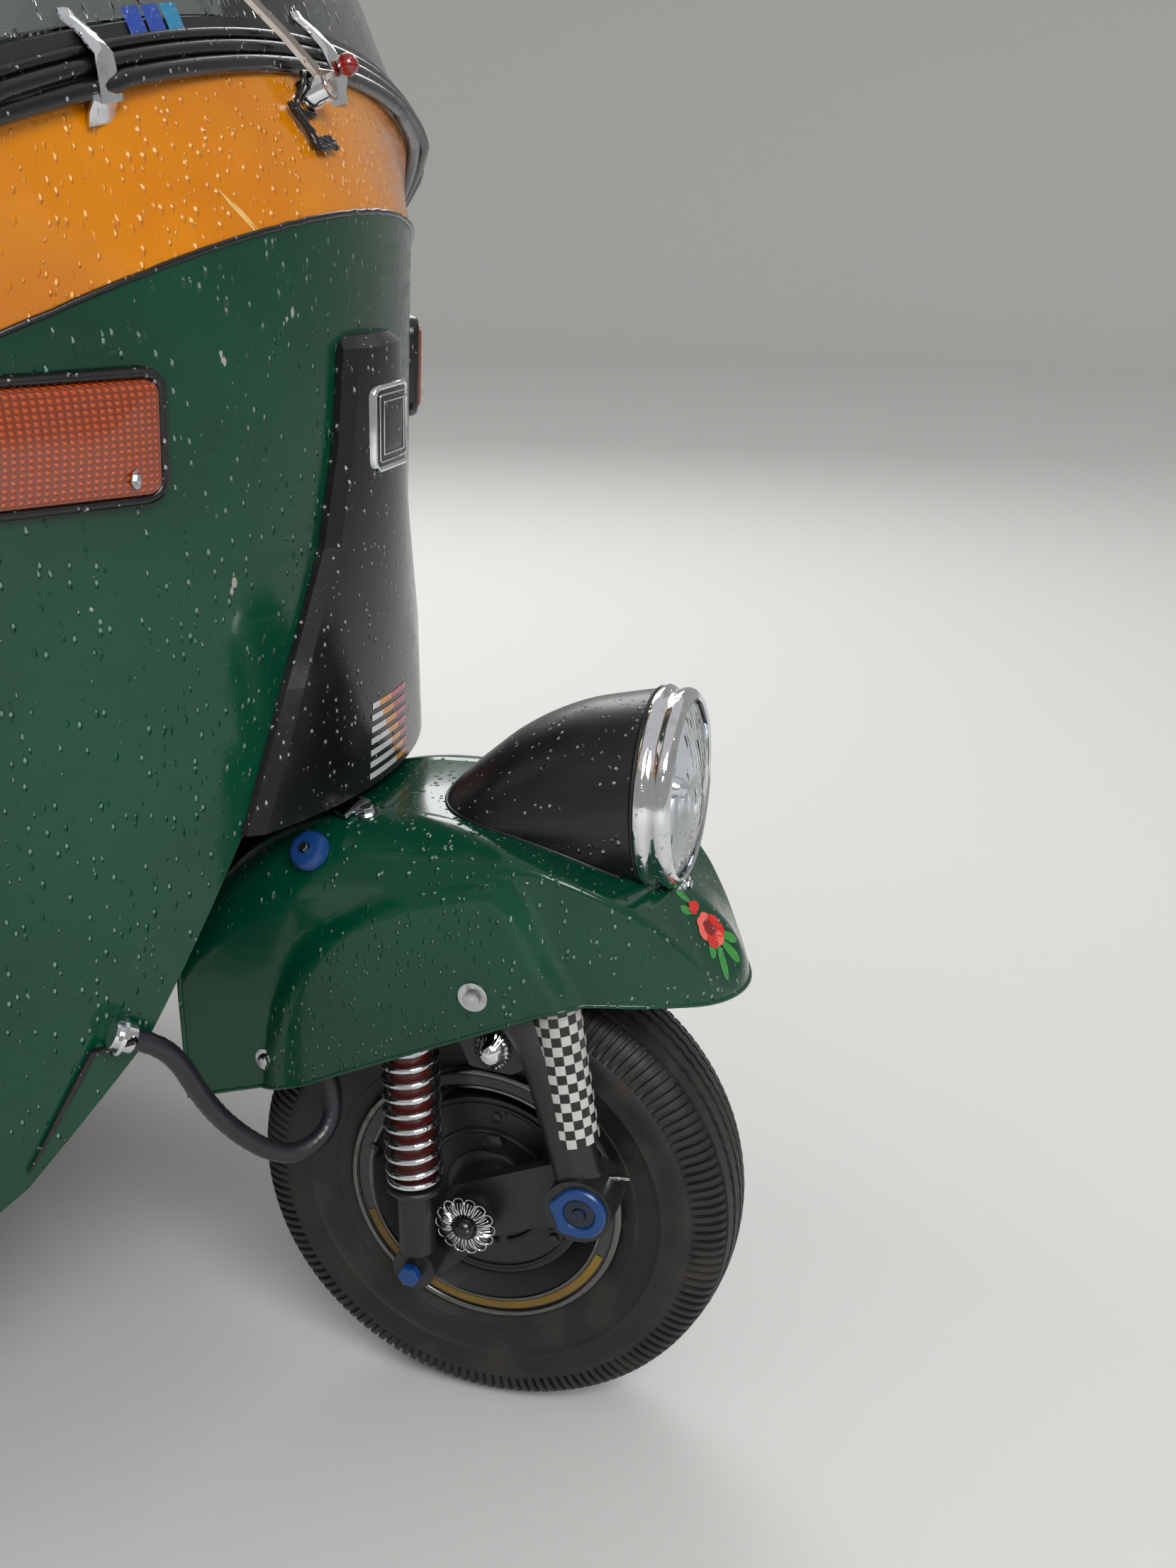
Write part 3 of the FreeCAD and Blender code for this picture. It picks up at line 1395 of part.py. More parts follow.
# Sections of the lamp's shell: y from the front axle, half width, top, middle height
shell_sections = [
    (-n["lamp_back_y"], n["lamp_radius"] + 0.01, n["lamp_z"] + n["lamp_radius"], n["lamp_z"]),
    (-75, 77, 629, 554),
    (-20, 75, 600, 542),
    (12, 61, 574, 539),
    (n["lamp_tail_y"], 16, 548, 539),
]
shell_wires = []
for y, half, top, middle in shell_sections:
    centre = Vector(0, fy + y, middle)
    oval = Part.Ellipse(centre + Vector(half, 0, 0), centre + Vector(0, 0, top - middle), centre)
    shell_wires.append(Part.Wire([oval.toShape()]))
shell = Part.makeLoft(shell_wires, True, False)
node(shape_piece("headlamp_shell", shell.cut(guard_seat)), "headlamp_shell")
ring_start = lamp_start - Vector(0, n["ring_depth"] + gap, 0)
ring = Part.makeCylinder(n["ring_radius"], n["ring_depth"], ring_start, lamp_axis)
bore_start = ring_start - Vector(0, 1, 0)
ring_bore = Part.makeCylinder(n["ring_radius"] - 8, n["ring_depth"] + 2, bore_start, lamp_axis)
ring = rounded(ring, 6, lambda edge: edge.CenterOfMass.y < ring_start.y + 1)
node(shape_piece("headlamp_ring", ring.cut(ring_bore).cut(guard_seat)), "headlamp_ring")
lens = Part.makeSphere(190, ring_start + Vector(0, 190 - 7, 0))
lens_start = ring_start - Vector(0, 7, 0)
lens_bore = Part.makeCylinder(n["ring_radius"] - 8 - gap, n["ring_depth"] + 6, lens_start, lamp_axis)
node(shape_piece("headlamp_lens", lens.common(lens_bore).cut(guard_seat)), "headlamp_lens")

bar_y = steer_y(n["bar_z"])
bar_half = n["bar_half"]
handlebar = tube([
    (-bar_half, bar_y + n["bar_sweep"], n["bar_z"] - 4),
    (-bar_half * 0.55, bar_y + n["bar_sweep"] * 0.35, n["bar_z"] + 6),
    (-60, bar_y, n["bar_z"]),
    (60, bar_y, n["bar_z"]),
    (bar_half * 0.55, bar_y + n["bar_sweep"] * 0.35, n["bar_z"] + 6),
    (bar_half, bar_y + n["bar_sweep"], n["bar_z"] - 4),
], n["bar_radius"])
clamp_size = Vector(n["bar_clamp_width"], n["bar_clamp_depth"], n["bar_clamp_height"])
head_box = Part.makeBox(*clamp_size, Vector(0, bar_y, n["bar_z"]) - clamp_size / 2)
head_box = rounded(head_box, 9, lambda edge: True)
bar_seat = bar(crown, (0, steer_y(n["bar_z"] + 100), n["bar_z"] + 100), column_radius + gap)
node(shape_piece("handlebar", handlebar.fuse(head_box).cut(bar_seat)), "handlebar")


# Wiper, mirrors, pedal and starter lever

wiper_foot = Vector(n["wiper_x"], fy + n["screen_y"] - 2, n["band_top_z"] + 12)
wiper_rise = n["wiper_rise"]
wiper_tip = Vector(n["wiper_tip_x"], wiper_foot.y + wiper_rise * lean + 5, wiper_foot.z + wiper_rise)
stand_off = Vector(0, 14, 0)
wiper = bar(tuple(wiper_foot - stand_off), tuple(wiper_tip - stand_off), 3.5)
wiper = wiper.fuse(bar(tuple(wiper_foot - stand_off * 1.4), tuple(wiper_foot + Vector(0, 4, 0)), 9))
node(shape_piece("wiper", wiper.cut(screen_slab(0, n["screen_depth"]))), "wiper")

mirror_z = n["mirror_z"] + n["mirror_height"] / 2
mirror_y = fy + n["screen_side_y"] + (mirror_z - n["band_top_z"]) * lean
mirror_middle = n["mirror_x"] + n["mirror_width"] / 2
mirror_arm = tube([
    (n["screen_half"] + 20, mirror_y - 11, mirror_z - 20),
    (n["mirror_x"] + 15, mirror_y - 53, mirror_z - 5),
    (mirror_middle, mirror_y - 98, mirror_z),
], 5)
mirror_boss = bar((n["screen_half"] + gap, mirror_y - 11, mirror_z - 20),
                  (n["screen_half"] + 24, mirror_y - 11, mirror_z - 20), 9)
mirror_arm = mirror_arm.fuse(mirror_boss)
mirror_corner = Vector(n["mirror_x"], mirror_y - 118, n["mirror_z"])
mirror_head = Part.makeBox(n["mirror_width"], n["mirror_depth"], n["mirror_height"], mirror_corner)
mirror_head = rounded(mirror_head, 11, lambda edge: True)
node(shape_piece("mirrors", both_sides(mirror_arm.fuse(mirror_head))), "mirrors")

pedal_y = fy + n["toe_y"] + 20
pedal = tube([
    (n["pedal_x"], pedal_y + 8, n["floor_z"] + 6),
    (n["pedal_x"], pedal_y + 22, n["floor_z"] + 40),
    (n["pedal_x"], pedal_y - 18, n["floor_z"] + 115),
], n["pedal_radius"])
pedal_pad = Part.makeBox(60, 12, 70, Vector(n["pedal_x"] - 30, pedal_y - 22, n["floor_z"] + 95))
pedal_foot = Part.makeBox(50, 34, 10, Vector(n["pedal_x"] - 25, pedal_y - 6, n["floor_z"] + gap))
under_floor = Part.makeBox(400, 400, 100, Vector(n["pedal_x"] - 200, pedal_y - 200, n["floor_z"] + gap - 100))
node(shape_piece("brake_pedal", pedal.fuse([pedal_pad, pedal_foot]).cut(under_floor)), "brake_pedal")

lever_foot = Vector(n["lever_x"], n["seat_front_y"] + 60, n["floor_z"] + gap)
lever = tube([
    tuple(lever_foot + Vector(0, 0, 8)),
    tuple(lever_foot + Vector(0, -10, 120)),
    tuple(lever_foot + Vector(5, -60, 320)),
], n["lever_radius"])
lever = lever.fuse(Part.makeCylinder(20, 16, lever_foot))
node(shape_piece("starter_lever", lever), "starter_lever")


# Cable hose from its clamp on the nose to its socket inside the mudguard

hose_route = [
    (-245, 186, 431),
    (-232, 173, 421),
    (-217, 166, 398),
    (-203, 164, 370),
    (-187, 160, 341),
    (-169, 152, 314),
    (-150, 140, 290),
    (-133.5, 125.5, 278),
    (-114, 112, 282),
    (-100.5, 106, 298),
    (-95.5, 108, 318),
    (-93, 114, 338),
    (-91.5, 122, 357),
]
hose_points = [Vector(x, fy + y, z) for x, y, z in hose_route]
hose_bar = tube([tuple(point) for point in hose_points], n["hose_radius"])
node(shape_piece("hose", hose_bar), "hose")
hose_length, hose_radii = bends([tuple(point) for point in hose_points])
hose_share = hose_bar.Volume / (hose_length * math.pi * n["hose_radius"] ** 2)
print("hose: length", round(hose_length, 1), "mm, volume over section times length", round(hose_share, 3))
print("hose: radii of its bends", [round(radius, 1) for radius in hose_radii])
hose_start = hose_points[0]
start_run = (hose_points[1] - hose_start).normalize()
clamp_start = hose_start - start_run * (16 + gap)
clamp = Part.makeCylinder(n["hose_socket_radius"], 16, clamp_start, start_run)
clamp = clamp.fuse(Part.makeCylinder(n["hose_socket_radius"] + 4, 3, hose_start - start_run * 12, start_run))
node(shape_piece("hose_clamp", clamp.cut(panel_seat)), "hose_clamp")
hose_end = hose_points[-1]
end_run = (hose_end - hose_points[-2]).normalize()
socket = Part.makeCylinder(n["hose_socket_radius"], 14, hose_end + end_run * gap, end_run)
socket_middle = hose_end + end_run * 8
guard_face = -(n["guard_half"] - n["guard_wall"] - gap)
socket = socket.fuse(bar(tuple(socket_middle), (guard_face, socket_middle.y, socket_middle.z), 6))
node(shape_piece("hose_socket", socket), "hose_socket")


# Every piece is checked before anything is written

doc.recompute()
problems = []
for item in doc.Objects:
    if "Invalid" in item.State or "Error" in item.State:
        problems.append(f"{item.Label}: {item.State}")
for item in NODES:
    if item.Shape.isNull() or not item.Shape.isValid() or not item.Shape.Solids:
        problems.append(f"{item.Label}: no valid shape")
if problems:
    raise SystemExit("\n".join(problems))

os.makedirs("parts", exist_ok=True)
for item in NODES:
    item.Shape.exportStep("parts/" + item.Label + ".step")
print(len(NODES), "pieces written")
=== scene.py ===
"""Auto rickshaw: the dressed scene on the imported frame. Lengths in the code are millimetres where a
name or a comment says so, and metres otherwise. x is the vehicle's left, -y is its front."""
import math
import random

import bmesh
import bpy
from mathutils import Matrix, Vector
from mathutils.bvhtree import BVHTree


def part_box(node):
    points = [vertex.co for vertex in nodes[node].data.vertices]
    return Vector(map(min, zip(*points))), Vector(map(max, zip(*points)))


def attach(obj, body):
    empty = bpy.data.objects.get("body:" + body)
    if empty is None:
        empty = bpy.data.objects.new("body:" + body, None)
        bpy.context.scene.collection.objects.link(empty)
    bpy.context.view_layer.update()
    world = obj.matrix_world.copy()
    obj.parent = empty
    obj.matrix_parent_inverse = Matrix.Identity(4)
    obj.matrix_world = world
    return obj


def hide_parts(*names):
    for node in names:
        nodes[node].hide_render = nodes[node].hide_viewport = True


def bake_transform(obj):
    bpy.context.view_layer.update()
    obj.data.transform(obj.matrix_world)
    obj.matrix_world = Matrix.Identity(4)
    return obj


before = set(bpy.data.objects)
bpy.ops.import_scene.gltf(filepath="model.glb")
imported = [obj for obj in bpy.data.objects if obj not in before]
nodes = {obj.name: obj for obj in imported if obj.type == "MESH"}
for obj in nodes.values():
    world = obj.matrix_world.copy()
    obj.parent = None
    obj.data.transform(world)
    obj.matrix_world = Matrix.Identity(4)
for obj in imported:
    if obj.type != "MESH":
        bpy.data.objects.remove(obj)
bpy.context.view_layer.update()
random.seed(7)

# Axles, and the lean of the steering column
FRONT = -1.1095
REAR = 0.8905
WHEEL_Z = 0.208
RAKE = math.radians(18)

# The photo's camera: its place, its tilt and heading in degrees, and its focal length in pixels
CAMERA_PLACE = (-1.140, -1.5195, 0.995)
CAMERA_TILT, CAMERA_HEADING = 70, 16.3 - 90
FOCAL_PIXELS, PHOTO_HEIGHT, SENSOR = 2319, 2212, 36.0


def linked(name, data):
    made = bpy.data.objects.new(name, data)
    bpy.context.scene.collection.objects.link(made)
    return made


def turns(count):
    """Angles that share a full turn out evenly."""
    return [2 * math.pi * k / count for k in range(count)]


# Camera, stage and light
def camera():
    data = bpy.data.cameras.new("camera")
    data.sensor_fit = "VERTICAL"
    data.sensor_height = SENSOR
    data.lens = FOCAL_PIXELS / PHOTO_HEIGHT * SENSOR
    data.clip_start = 0.05
    made = linked("camera", data)
    made.location = CAMERA_PLACE
    made.rotation_euler = (math.radians(CAMERA_TILT), 0, math.radians(CAMERA_HEADING))
    bpy.context.scene.camera = made


def lamp(name, place, aim, size, power):
    data = bpy.data.lights.new(name, "AREA")
    data.shape = "RECTANGLE"
    data.size, data.size_y = size
    data.energy = power
    made = linked(name, data)
    made.location = place
    made.rotation_euler = (Vector(aim) - Vector(place)).to_track_quat("-Z", "Y").to_euler()


def srgb(red, green, blue):
    def linear(value):
        value /= 255
        return value / 12.92 if value <= 0.04045 else ((value + 0.055) / 1.055) ** 2.4
    return (linear(red), linear(green), linear(blue), 1.0)


# Materials
class Look:
    """One procedural material. Coordinates are the object's own, which are metres in the frame."""

    def __init__(self, name, colour, rough=0.5, metal=0.0, **sockets):
        self.mat = bpy.data.materials.new(name)
        self.mat.use_nodes = True
        self.tree = self.mat.node_tree
        self.shader = self.tree.nodes["Principled BSDF"]
        self.set("Base Color", colour)
        self.set("Roughness", rough)
        self.set("Metallic", metal)
        for key, value in sockets.items():
            self.set(key.replace("_", " "), value)
        self.place = self.tree.nodes.new("ShaderNodeTexCoord").outputs["Object"]
        self.height = None

    def feed(self, socket, value):
        """Wires an output into a socket, or sets the socket's own value."""
        if isinstance(value, bpy.types.NodeSocket):
            self.tree.links.new(value, socket)
        else:
            socket.default_value = value

    def set(self, socket, value):
        self.feed(self.shader.inputs[socket], value)

    def node(self, kind, props=None, **inputs):
        made = self.tree.nodes.new("ShaderNode" + kind)
        for key, value in (props or {}).items():
            setattr(made, key, value)
        for key, value in inputs.items():
            self.feed(made.inputs[int(key[1:]) if key[0] == "i" and key[1:].isdigit() else key], value)
        return made

    def math(self, operation, a, b=0.5):
        return self.node("Math", {"operation": operation}, i0=a, i1=b).outputs[0]

    def scaled(self, x, y, z, turn=(0, 0, 0)):
        return self.node("Mapping", Vector=self.place, Scale=(x, y, z), Rotation=turn).outputs[0]

    def noise(self, scale, detail=3.0, rough=0.55, at=None):
        return self.node("TexNoise", Vector=at or self.place, Scale=scale, Detail=detail,
                         Roughness=rough).outputs[0]

    def step(self, value, low, high, to_low=0.0, to_high=1.0):
        return self.node("MapRange", {"interpolation_type": "SMOOTHSTEP"}, i0=value, i1=low, i2=high,
                         i3=to_low, i4=to_high).outputs[0]

    def mix(self, factor, a, b):
        return self.node("Mix", {"data_type": "RGBA"}, i0=factor, i6=a, i7=b).outputs[2]

    def axis(self, name):
        return self.node("SeparateXYZ", i0=self.place).outputs["XYZ".index(name)]

    def raise_by(self, height, distance, strength=1.0):
        """Adds one layer of bump, its depth in metres."""
        inputs = {"Height": height, "Distance": distance, "Strength": strength}
        if self.height is not None:
            inputs["Normal"] = self.height
        self.height = self.node("Bump", **inputs).outputs[0]
        self.set("Normal", self.height)
        return self

    def beads(self, place, scale, share):
        """Height of the rain beads: a cell holds one where its own random number is high."""
        cells = self.node("TexVoronoi", Vector=place, Scale=scale)
        chance = self.node("SeparateColor", i0=cells.outputs["Color"])
        radius = self.step(chance.outputs[0], 1 - share, 1.0, 0.0, 0.44)
        return self.step(cells.outputs["Distance"], radius, 0.0)

    def drops(self, scale=200.0, share=0.75, depth=0.0012, stretch=0.5, highlight_colour=None):
        """Beads of rain; when a colour for it is given, a painted highlight: a pale rim mixed into the base
        colour on one side of each bead.
        """
        bead = self.beads(self.scaled(1, 1, stretch), scale, share)
        self.raise_by(self.math("POWER", bead, 0.6), depth)
        self.set("Coat Normal", self.height)
        # Painted highlight: a paler colour put into the base colour on one side of each bead.
        if highlight_colour:
            moved = self.node("Mapping", Vector=self.scaled(1, 1, stretch),
                              Location=(0.0003, 0.0004, 0.0007))
            other = self.beads(moved.outputs[0], scale, share)
            painted_highlight = self.step(self.math("SUBTRACT", bead, other), 0.12, 0.45)
            wired = self.shader.inputs["Base Color"]
            base = wired.links[0].from_socket if wired.links else tuple(wired.default_value)
            self.set("Base Color", self.mix(painted_highlight, base, highlight_colour))
        return bead


def paint(name, colour, dull, dirt=0.35, wet=0.75):
    """Glossy wet paint with road film low down, small chips and faint wiping marks; when wet, rain beads,
    each with a painted highlight.
    """
    look = Look(name, colour, rough=0.3, Coat_Weight=0.35, Coat_Roughness=0.05, Specular_IOR_Level=0.3)
    cloud = look.noise(3.5, 5.0)
    base = look.mix(look.step(cloud, 0.35, 0.7), colour, dull)
    low = look.step(look.math("ADD", look.axis("Z"), look.math("MULTIPLY", cloud, 0.25)), 0.62, 0.25)
    film = look.math("MULTIPLY", low, dirt)
    base = look.mix(film, base, srgb(44, 38, 31))
    wipe = look.noise(1.0, 4.0, at=look.scaled(7, 7, 90, (0.5, 0.4, 0)))
    chip = look.step(look.noise(130, 2.0), 0.755, 0.775)
    chip = look.math("MULTIPLY", chip, look.step(look.noise(6, 2.0), 0.5, 0.62))
    base = look.mix(chip, base, srgb(168, 172, 166))
    look.set("Base Color", base)
    rough = look.math("ADD", look.step(wipe, 0.4, 0.75, 0.16, 0.34), look.math("MULTIPLY", film, 0.45))
    look.set("Roughness", rough)
    look.raise_by(look.noise(9, 3.0), 0.0012, 0.5)
    look.raise_by(look.noise(420, 2.0), 0.00006, 0.5)
    if wet:
        # Rain beads with painted highlights: a paler tint of the paint mixed into one side of each bead.
        look.drops(share=wet, highlight_colour=tuple(min(1.0, 1.5 * c + 0.16) for c in colour[:3]) + (1.0,))
    return look.mat


def black(name, colour, rough=0.42, grain=520, depth=0.00009, wet=False, dirt=0.3):
    """Moulded plastic, rubber or painted steel in black, dusty in random patches."""
    look = Look(name, colour, rough=rough, Coat_Weight=0.15, Coat_Roughness=0.2)
    dust = look.step(look.noise(11, 5.0), 0.45, 0.75)
    grey = tuple(0.55 * c + 0.02 for c in colour[:3]) + (1.0,)
    look.set("Base Color", look.mix(look.math("MULTIPLY", dust, dirt), colour, grey))
    look.set("Roughness", look.step(dust, 0.0, 1.0, rough * 0.85, min(1.0, rough * 1.35)))
    look.raise_by(look.noise(grain, 2.0), depth)
    if wet:
        # Rain beads, each with a painted highlight: pale grey mixed into one side of the bead.
        look.drops(230, 0.6, 0.0007, 0.6, srgb(150, 152, 156))
    return look.mat


def chrome(name, tint, rough=0.07, worn=0.35, wet=False):
    look = Look(name, tint, rough=rough, metal=1.0)
    spot = look.step(look.noise(60, 5.0), 0.52, 0.72)
    look.set("Base Color", look.mix(look.math("MULTIPLY", spot, worn), tint, srgb(96, 84, 70)))
    look.set("Roughness", look.step(spot, 0.0, 1.0, rough, rough + 0.28))
    look.raise_by(look.noise(30, 3.0), 0.0008, 0.4)
    if wet:
        look.drops(210, 0.45, 0.0006)
    return look.mat


def vinyl(name, colour, dull):
    """Grained seat vinyl, rubbed paler in patches."""
    look = Look(name, colour, rough=0.45, Coat_Weight=0.2, Coat_Roughness=0.25)
    rub = look.step(look.noise(14, 4.0), 0.45, 0.7)
    look.set("Base Color", look.mix(rub, colour, dull))
    look.set("Roughness", look.step(rub, 0, 1, 0.36, 0.58))
    cells = look.node("TexVoronoi", {"feature": "DISTANCE_TO_EDGE"}, Vector=look.place, Scale=420.0)
    look.raise_by(look.step(cells.outputs[0], 0.0, 0.18), 0.00025)
    look.raise_by(look.noise(26, 4.0), 0.002, 0.6)
    return look.mat


def canvas(name, colour, dull):
    """Coated hood cloth: a fine plain weave with creases and rain stains."""
    look = Look(name, colour, rough=0.62, Sheen_Weight=0.2)
    stain = look.step(look.noise(5, 6.0), 0.42, 0.72)
    runs = look.step(look.noise(1.0, 4.0, at=look.scaled(26, 26, 2.4)), 0.5, 0.75)
    base = look.mix(stain, colour, dull)
    base = look.mix(look.math("MULTIPLY", runs, 0.3), base, srgb(92, 66, 24))
    look.set("Base Color", base)
    across = look.node("TexWave", {"wave_profile": "SIN"}, Vector=look.scaled(1, 1, 0), Scale=310.0)
    along = look.node("TexWave", {"wave_profile": "SIN", "bands_direction": "Z"}, Vector=look.place,
                      Scale=310.0)
    look.raise_by(look.math("MULTIPLY", across.outputs[1], along.outputs[1]), 0.0002)
    look.raise_by(look.noise(17, 5.0), 0.004, 0.5)
    return look.mat


def tyre_rubber():
    look = Look("tyre_rubber", srgb(24, 24, 25), rough=0.72)
    dust = look.step(look.noise(22, 6.0), 0.4, 0.75)
    look.set("Base Color", look.mix(dust, srgb(20, 20, 21), srgb(52, 48, 43)))
    look.set("Roughness", look.step(dust, 0, 1, 0.55, 0.9))
    look.raise_by(look.noise(260, 3.0), 0.0002)
    return look.mat


def cast(name, colour, dull):
    look = Look(name, colour, rough=0.6, metal=0.7)
    oil = look.step(look.noise(16, 6.0), 0.45, 0.62)
    look.set("Base Color", look.mix(oil, colour, dull))
    look.set("Roughness", look.step(oil, 0, 1, 0.62, 0.38))
    look.raise_by(look.noise(190, 3.0), 0.0005)
    return look.mat


def clear(name, tint, rough=0.03, wet=True):
    look = Look(name, tint, rough=rough, Transmission_Weight=1.0, IOR=1.45)
    look.raise_by(look.noise(7, 2.0), 0.0006, 0.3)
    if wet:
        look.drops(170, 0.6, 0.0009, 0.35)
    return look.mat


def lens(name, colour, pitch, size=0.0008):
    """Coloured lamp plastic with the small square prisms moulded behind it; the grooves between the prisms
    carry painted shade.
    """
    look = Look(name, colour, rough=0.12, Transmission_Weight=0.25, Coat_Weight=1.0)
    spans = []
    for name_of_axis in "XZ":
        wave = look.math("SINE", look.math("MULTIPLY", look.axis(name_of_axis), 2 * math.pi / pitch))
        spans.append(look.step(wave, -1.0, 1.0))
    grid = look.math("MULTIPLY", spans[0], spans[1])
    # Painted shade: the grooves between the prisms are darkened in the base colour.
    groove_shade = tuple(c * 0.35 for c in colour[:3]) + (1.0,)
    look.set("Base Color", look.mix(grid, groove_shade, colour))
    look.raise_by(grid, size)
    return look.mat


GREEN = paint("green_paint", srgb(0, 66, 43), srgb(0, 48, 32))
GREEN_DRY = paint("green_paint_inside", srgb(4, 70, 47), srgb(8, 52, 36), dirt=0.6, wet=0)
YELLOW = paint("yellow_paint", srgb(214, 132, 4), srgb(190, 108, 4), dirt=0.1, wet=1.3)
COVER = black("cover_plastic", srgb(17, 16, 19), rough=0.22, wet=True)
TRIM = black("trim_rubber", srgb(22, 22, 23), rough=0.5)
STEEL = black("black_steel", srgb(26, 26, 27), rough=0.45, grain=160, depth=0.0002, dirt=0.7)
CHROME = chrome("chrome", srgb(226, 228, 232), wet=True)
BRIGHT = chrome("bright_steel", srgb(205, 207, 210), rough=0.14, worn=0.5)
GLASS = clear("screen_glass", srgb(150, 160, 158))
LAMP_GLASS = clear("lamp_glass", srgb(240, 244, 246), rough=0.05)
AMBER = lens("amber_lens", srgb(214, 84, 8), 0.0042)
RED = lens("red_lens", srgb(168, 12, 10), 0.006)
VINYL = vinyl("seat_vinyl", srgb(24, 27, 40), srgb(46, 50, 64))
CANVAS = canvas("hood_canvas_cloth", srgb(205, 138, 22), srgb(180, 116, 22))
RUBBER = tyre_rubber()
RIM = black("rim_paint", srgb(52, 53, 55), rough=0.4, grain=120, depth=0.0003, dirt=0.9)
ENGINE = cast("engine_casting", srgb(128, 128, 126), srgb(50, 44, 38))
EXHAUST = cast("exhaust_steel", srgb(112, 96, 84), srgb(84, 52, 34))
WORN_RIM = chrome("worn_rim", srgb(120, 118, 116), rough=0.2, worn=0.85)
LINE = paint("rim_line_paint", srgb(176, 138, 10), srgb(120, 92, 10), dirt=0.5, wet=0)
MIRROR = chrome("reflector", srgb(236, 238, 240), rough=0.04, worn=0.0)
TAPE_WHITE = black("tape_white", srgb(188, 186, 182), rough=0.4, grain=300, dirt=0.8)
TAPE_BLACK = black("tape_black", srgb(18, 18, 18), rough=0.35)
SLEEVE = black("sleeve_paint", srgb(74, 18, 12), rough=0.45, dirt=0.8)
DARK_BLUE = black("dark_blue_paint", srgb(6, 24, 46), rough=0.3)
BLUE = black("blue_paint", srgb(8, 58, 118), rough=0.35, grain=200, depth=0.0003)


def dress(look, *names):
    for name in names:
        data = nodes[name].data
        data.materials.clear()
        data.materials.append(look)


dress(GREEN, "front_panel", "rear_body", "engine_door", "front_mudguard")
dress(GREEN_DRY, "floor_pan", "partition", "driver_seat_box", "passenger_seat_base")
dress(YELLOW, "front_band")
dress(COVER, "column_cover", "headlamp_shell")
dress(TRIM, "dashboard", "wiper", "mirrors", "hose", "hose_socket", "windscreen_frame")
dress(STEEL, "chassis_frame", "hood_frame", "trailing_arms", "rear_shocks", "drive_shafts", "rear_bumper",
      "brake_pedal", "starter_lever", "fork_arm", "suspension_link", "front_damper", "handlebar")
dress(CHROME, "headlamp_ring", "hose_clamp", "front_spring")
dress(GLASS, "windscreen_glass")
dress(LAMP_GLASS, "headlamp_lens")
dress(AMBER, "front_indicators")
dress(RED, "tail_lamps")
dress(VINYL, "driver_cushion", "driver_backrest", "passenger_cushion", "passenger_backrest")
dress(CANVAS, "hood_canvas")
dress(RUBBER, "front_tyre", "rear_tyre_left", "rear_tyre_right")
dress(RIM, "front_rim", "rear_rim_left", "rear_rim_right")
dress(ENGINE, "engine_block")
dress(EXHAUST, "silencer")


# The studio floor
def stage():
    look = Look("studio_floor", srgb(214, 214, 212), rough=0.85)
    look.raise_by(look.noise(40, 3.0), 0.0004)
    mesh = bpy.data.meshes.new("studio_floor")
    rows = []
    for step in range(13):
        turn = math.radians(90 * step / 12)
        rows.append((9.0 + 3.0 * math.sin(turn), 3.0 - 3.0 * math.cos(turn)))
    rings = 96
    verts = [(0, 0, 0)]
    for radius, height in [(9.0, 0.0)] + rows[1:] + [(12.0, 9.0)]:
        for turn in turns(rings):
            verts.append((radius * math.cos(turn), radius * math.sin(turn), height))
    faces = [(0, 1 + index, 1 + (index + 1) % rings) for index in range(rings)]
    for row in range(len(rows)):
        for index in range(rings):
            a = 1 + row * rings + index
            b = 1 + row * rings + (index + 1) % rings
            faces.append((a, a + rings, b + rings, b))
    mesh.from_pydata(verts, [], faces)
    for polygon in mesh.polygons:
        polygon.use_smooth = True
    mesh.materials.append(look.mat)
    linked("studio_floor", mesh)


camera()
stage()
lamp("key", (-3.2, -3.6, 3.6), (0, -0.6, 0.6), (2.6, 2.0), 190)
lamp("side", (3.6, 0.4, 3.0), (0, 0, 0.8), (2.4, 2.0), 70)
lamp("back", (0.8, 4.2, 3.2), (0, 0, 0.9), (2.6, 2.0), 110)
world = bpy.data.worlds.new("studio")
world.use_nodes = True
world.node_tree.nodes["Background"].inputs[0].default_value = (1, 1, 1, 1)
world.node_tree.nodes["Background"].inputs[1].default_value = 0.55
bpy.context.scene.world = world
bpy.context.scene.view_settings.view_transform = "Standard"


# Mesh helpers
def piece(name, bm, look, body, smooth=40, stands_for=()):
    mesh = bpy.data.meshes.new(name)
    bmesh.ops.recalc_face_normals(bm, faces=bm.faces)
    bm.to_mesh(mesh)
    bm.free()
    for entry in look if isinstance(look, (list, tuple)) else [look]:
        mesh.materials.append(entry)
    made = linked(name, mesh)
    if smooth:
        mesh.shade_smooth()
        mesh.set_sharp_from_angle(angle=math.radians(smooth))
    if body:
        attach(made, body)
    if stands_for:
        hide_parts(*stands_for)
    return made


def to_world(place, axis, up=(0, 0, 1)):
    """A matrix at place whose z runs along axis and whose y is as near up as it can be."""
    z = Vector(axis).normalized()
    x = Vector(up).cross(z)
    if x.length < 1e-6:
        x = Vector((0, 1, 0)).cross(z)
    x.normalize()
    y = z.cross(x)
    return Matrix.Translation(Vector(place)) @ Matrix((x, y, z)).transposed().to_4x4()


def strip(bm, rows, closed=False, capped=False):
    """Joins rows of points of one length into a skin."""
    rings = [[bm.verts.new(p) for p in row] for row in rows]
    count = len(rings[0])
    for a, b in zip(rings, rings[1:]):
        for index in range(count if closed else count - 1):
            after = (index + 1) % count
            bm.faces.new((a[index], a[after], b[after], b[index]))
    if capped:
        bm.faces.new(rings[0])
        bm.faces.new(rings[-1])
    return rings


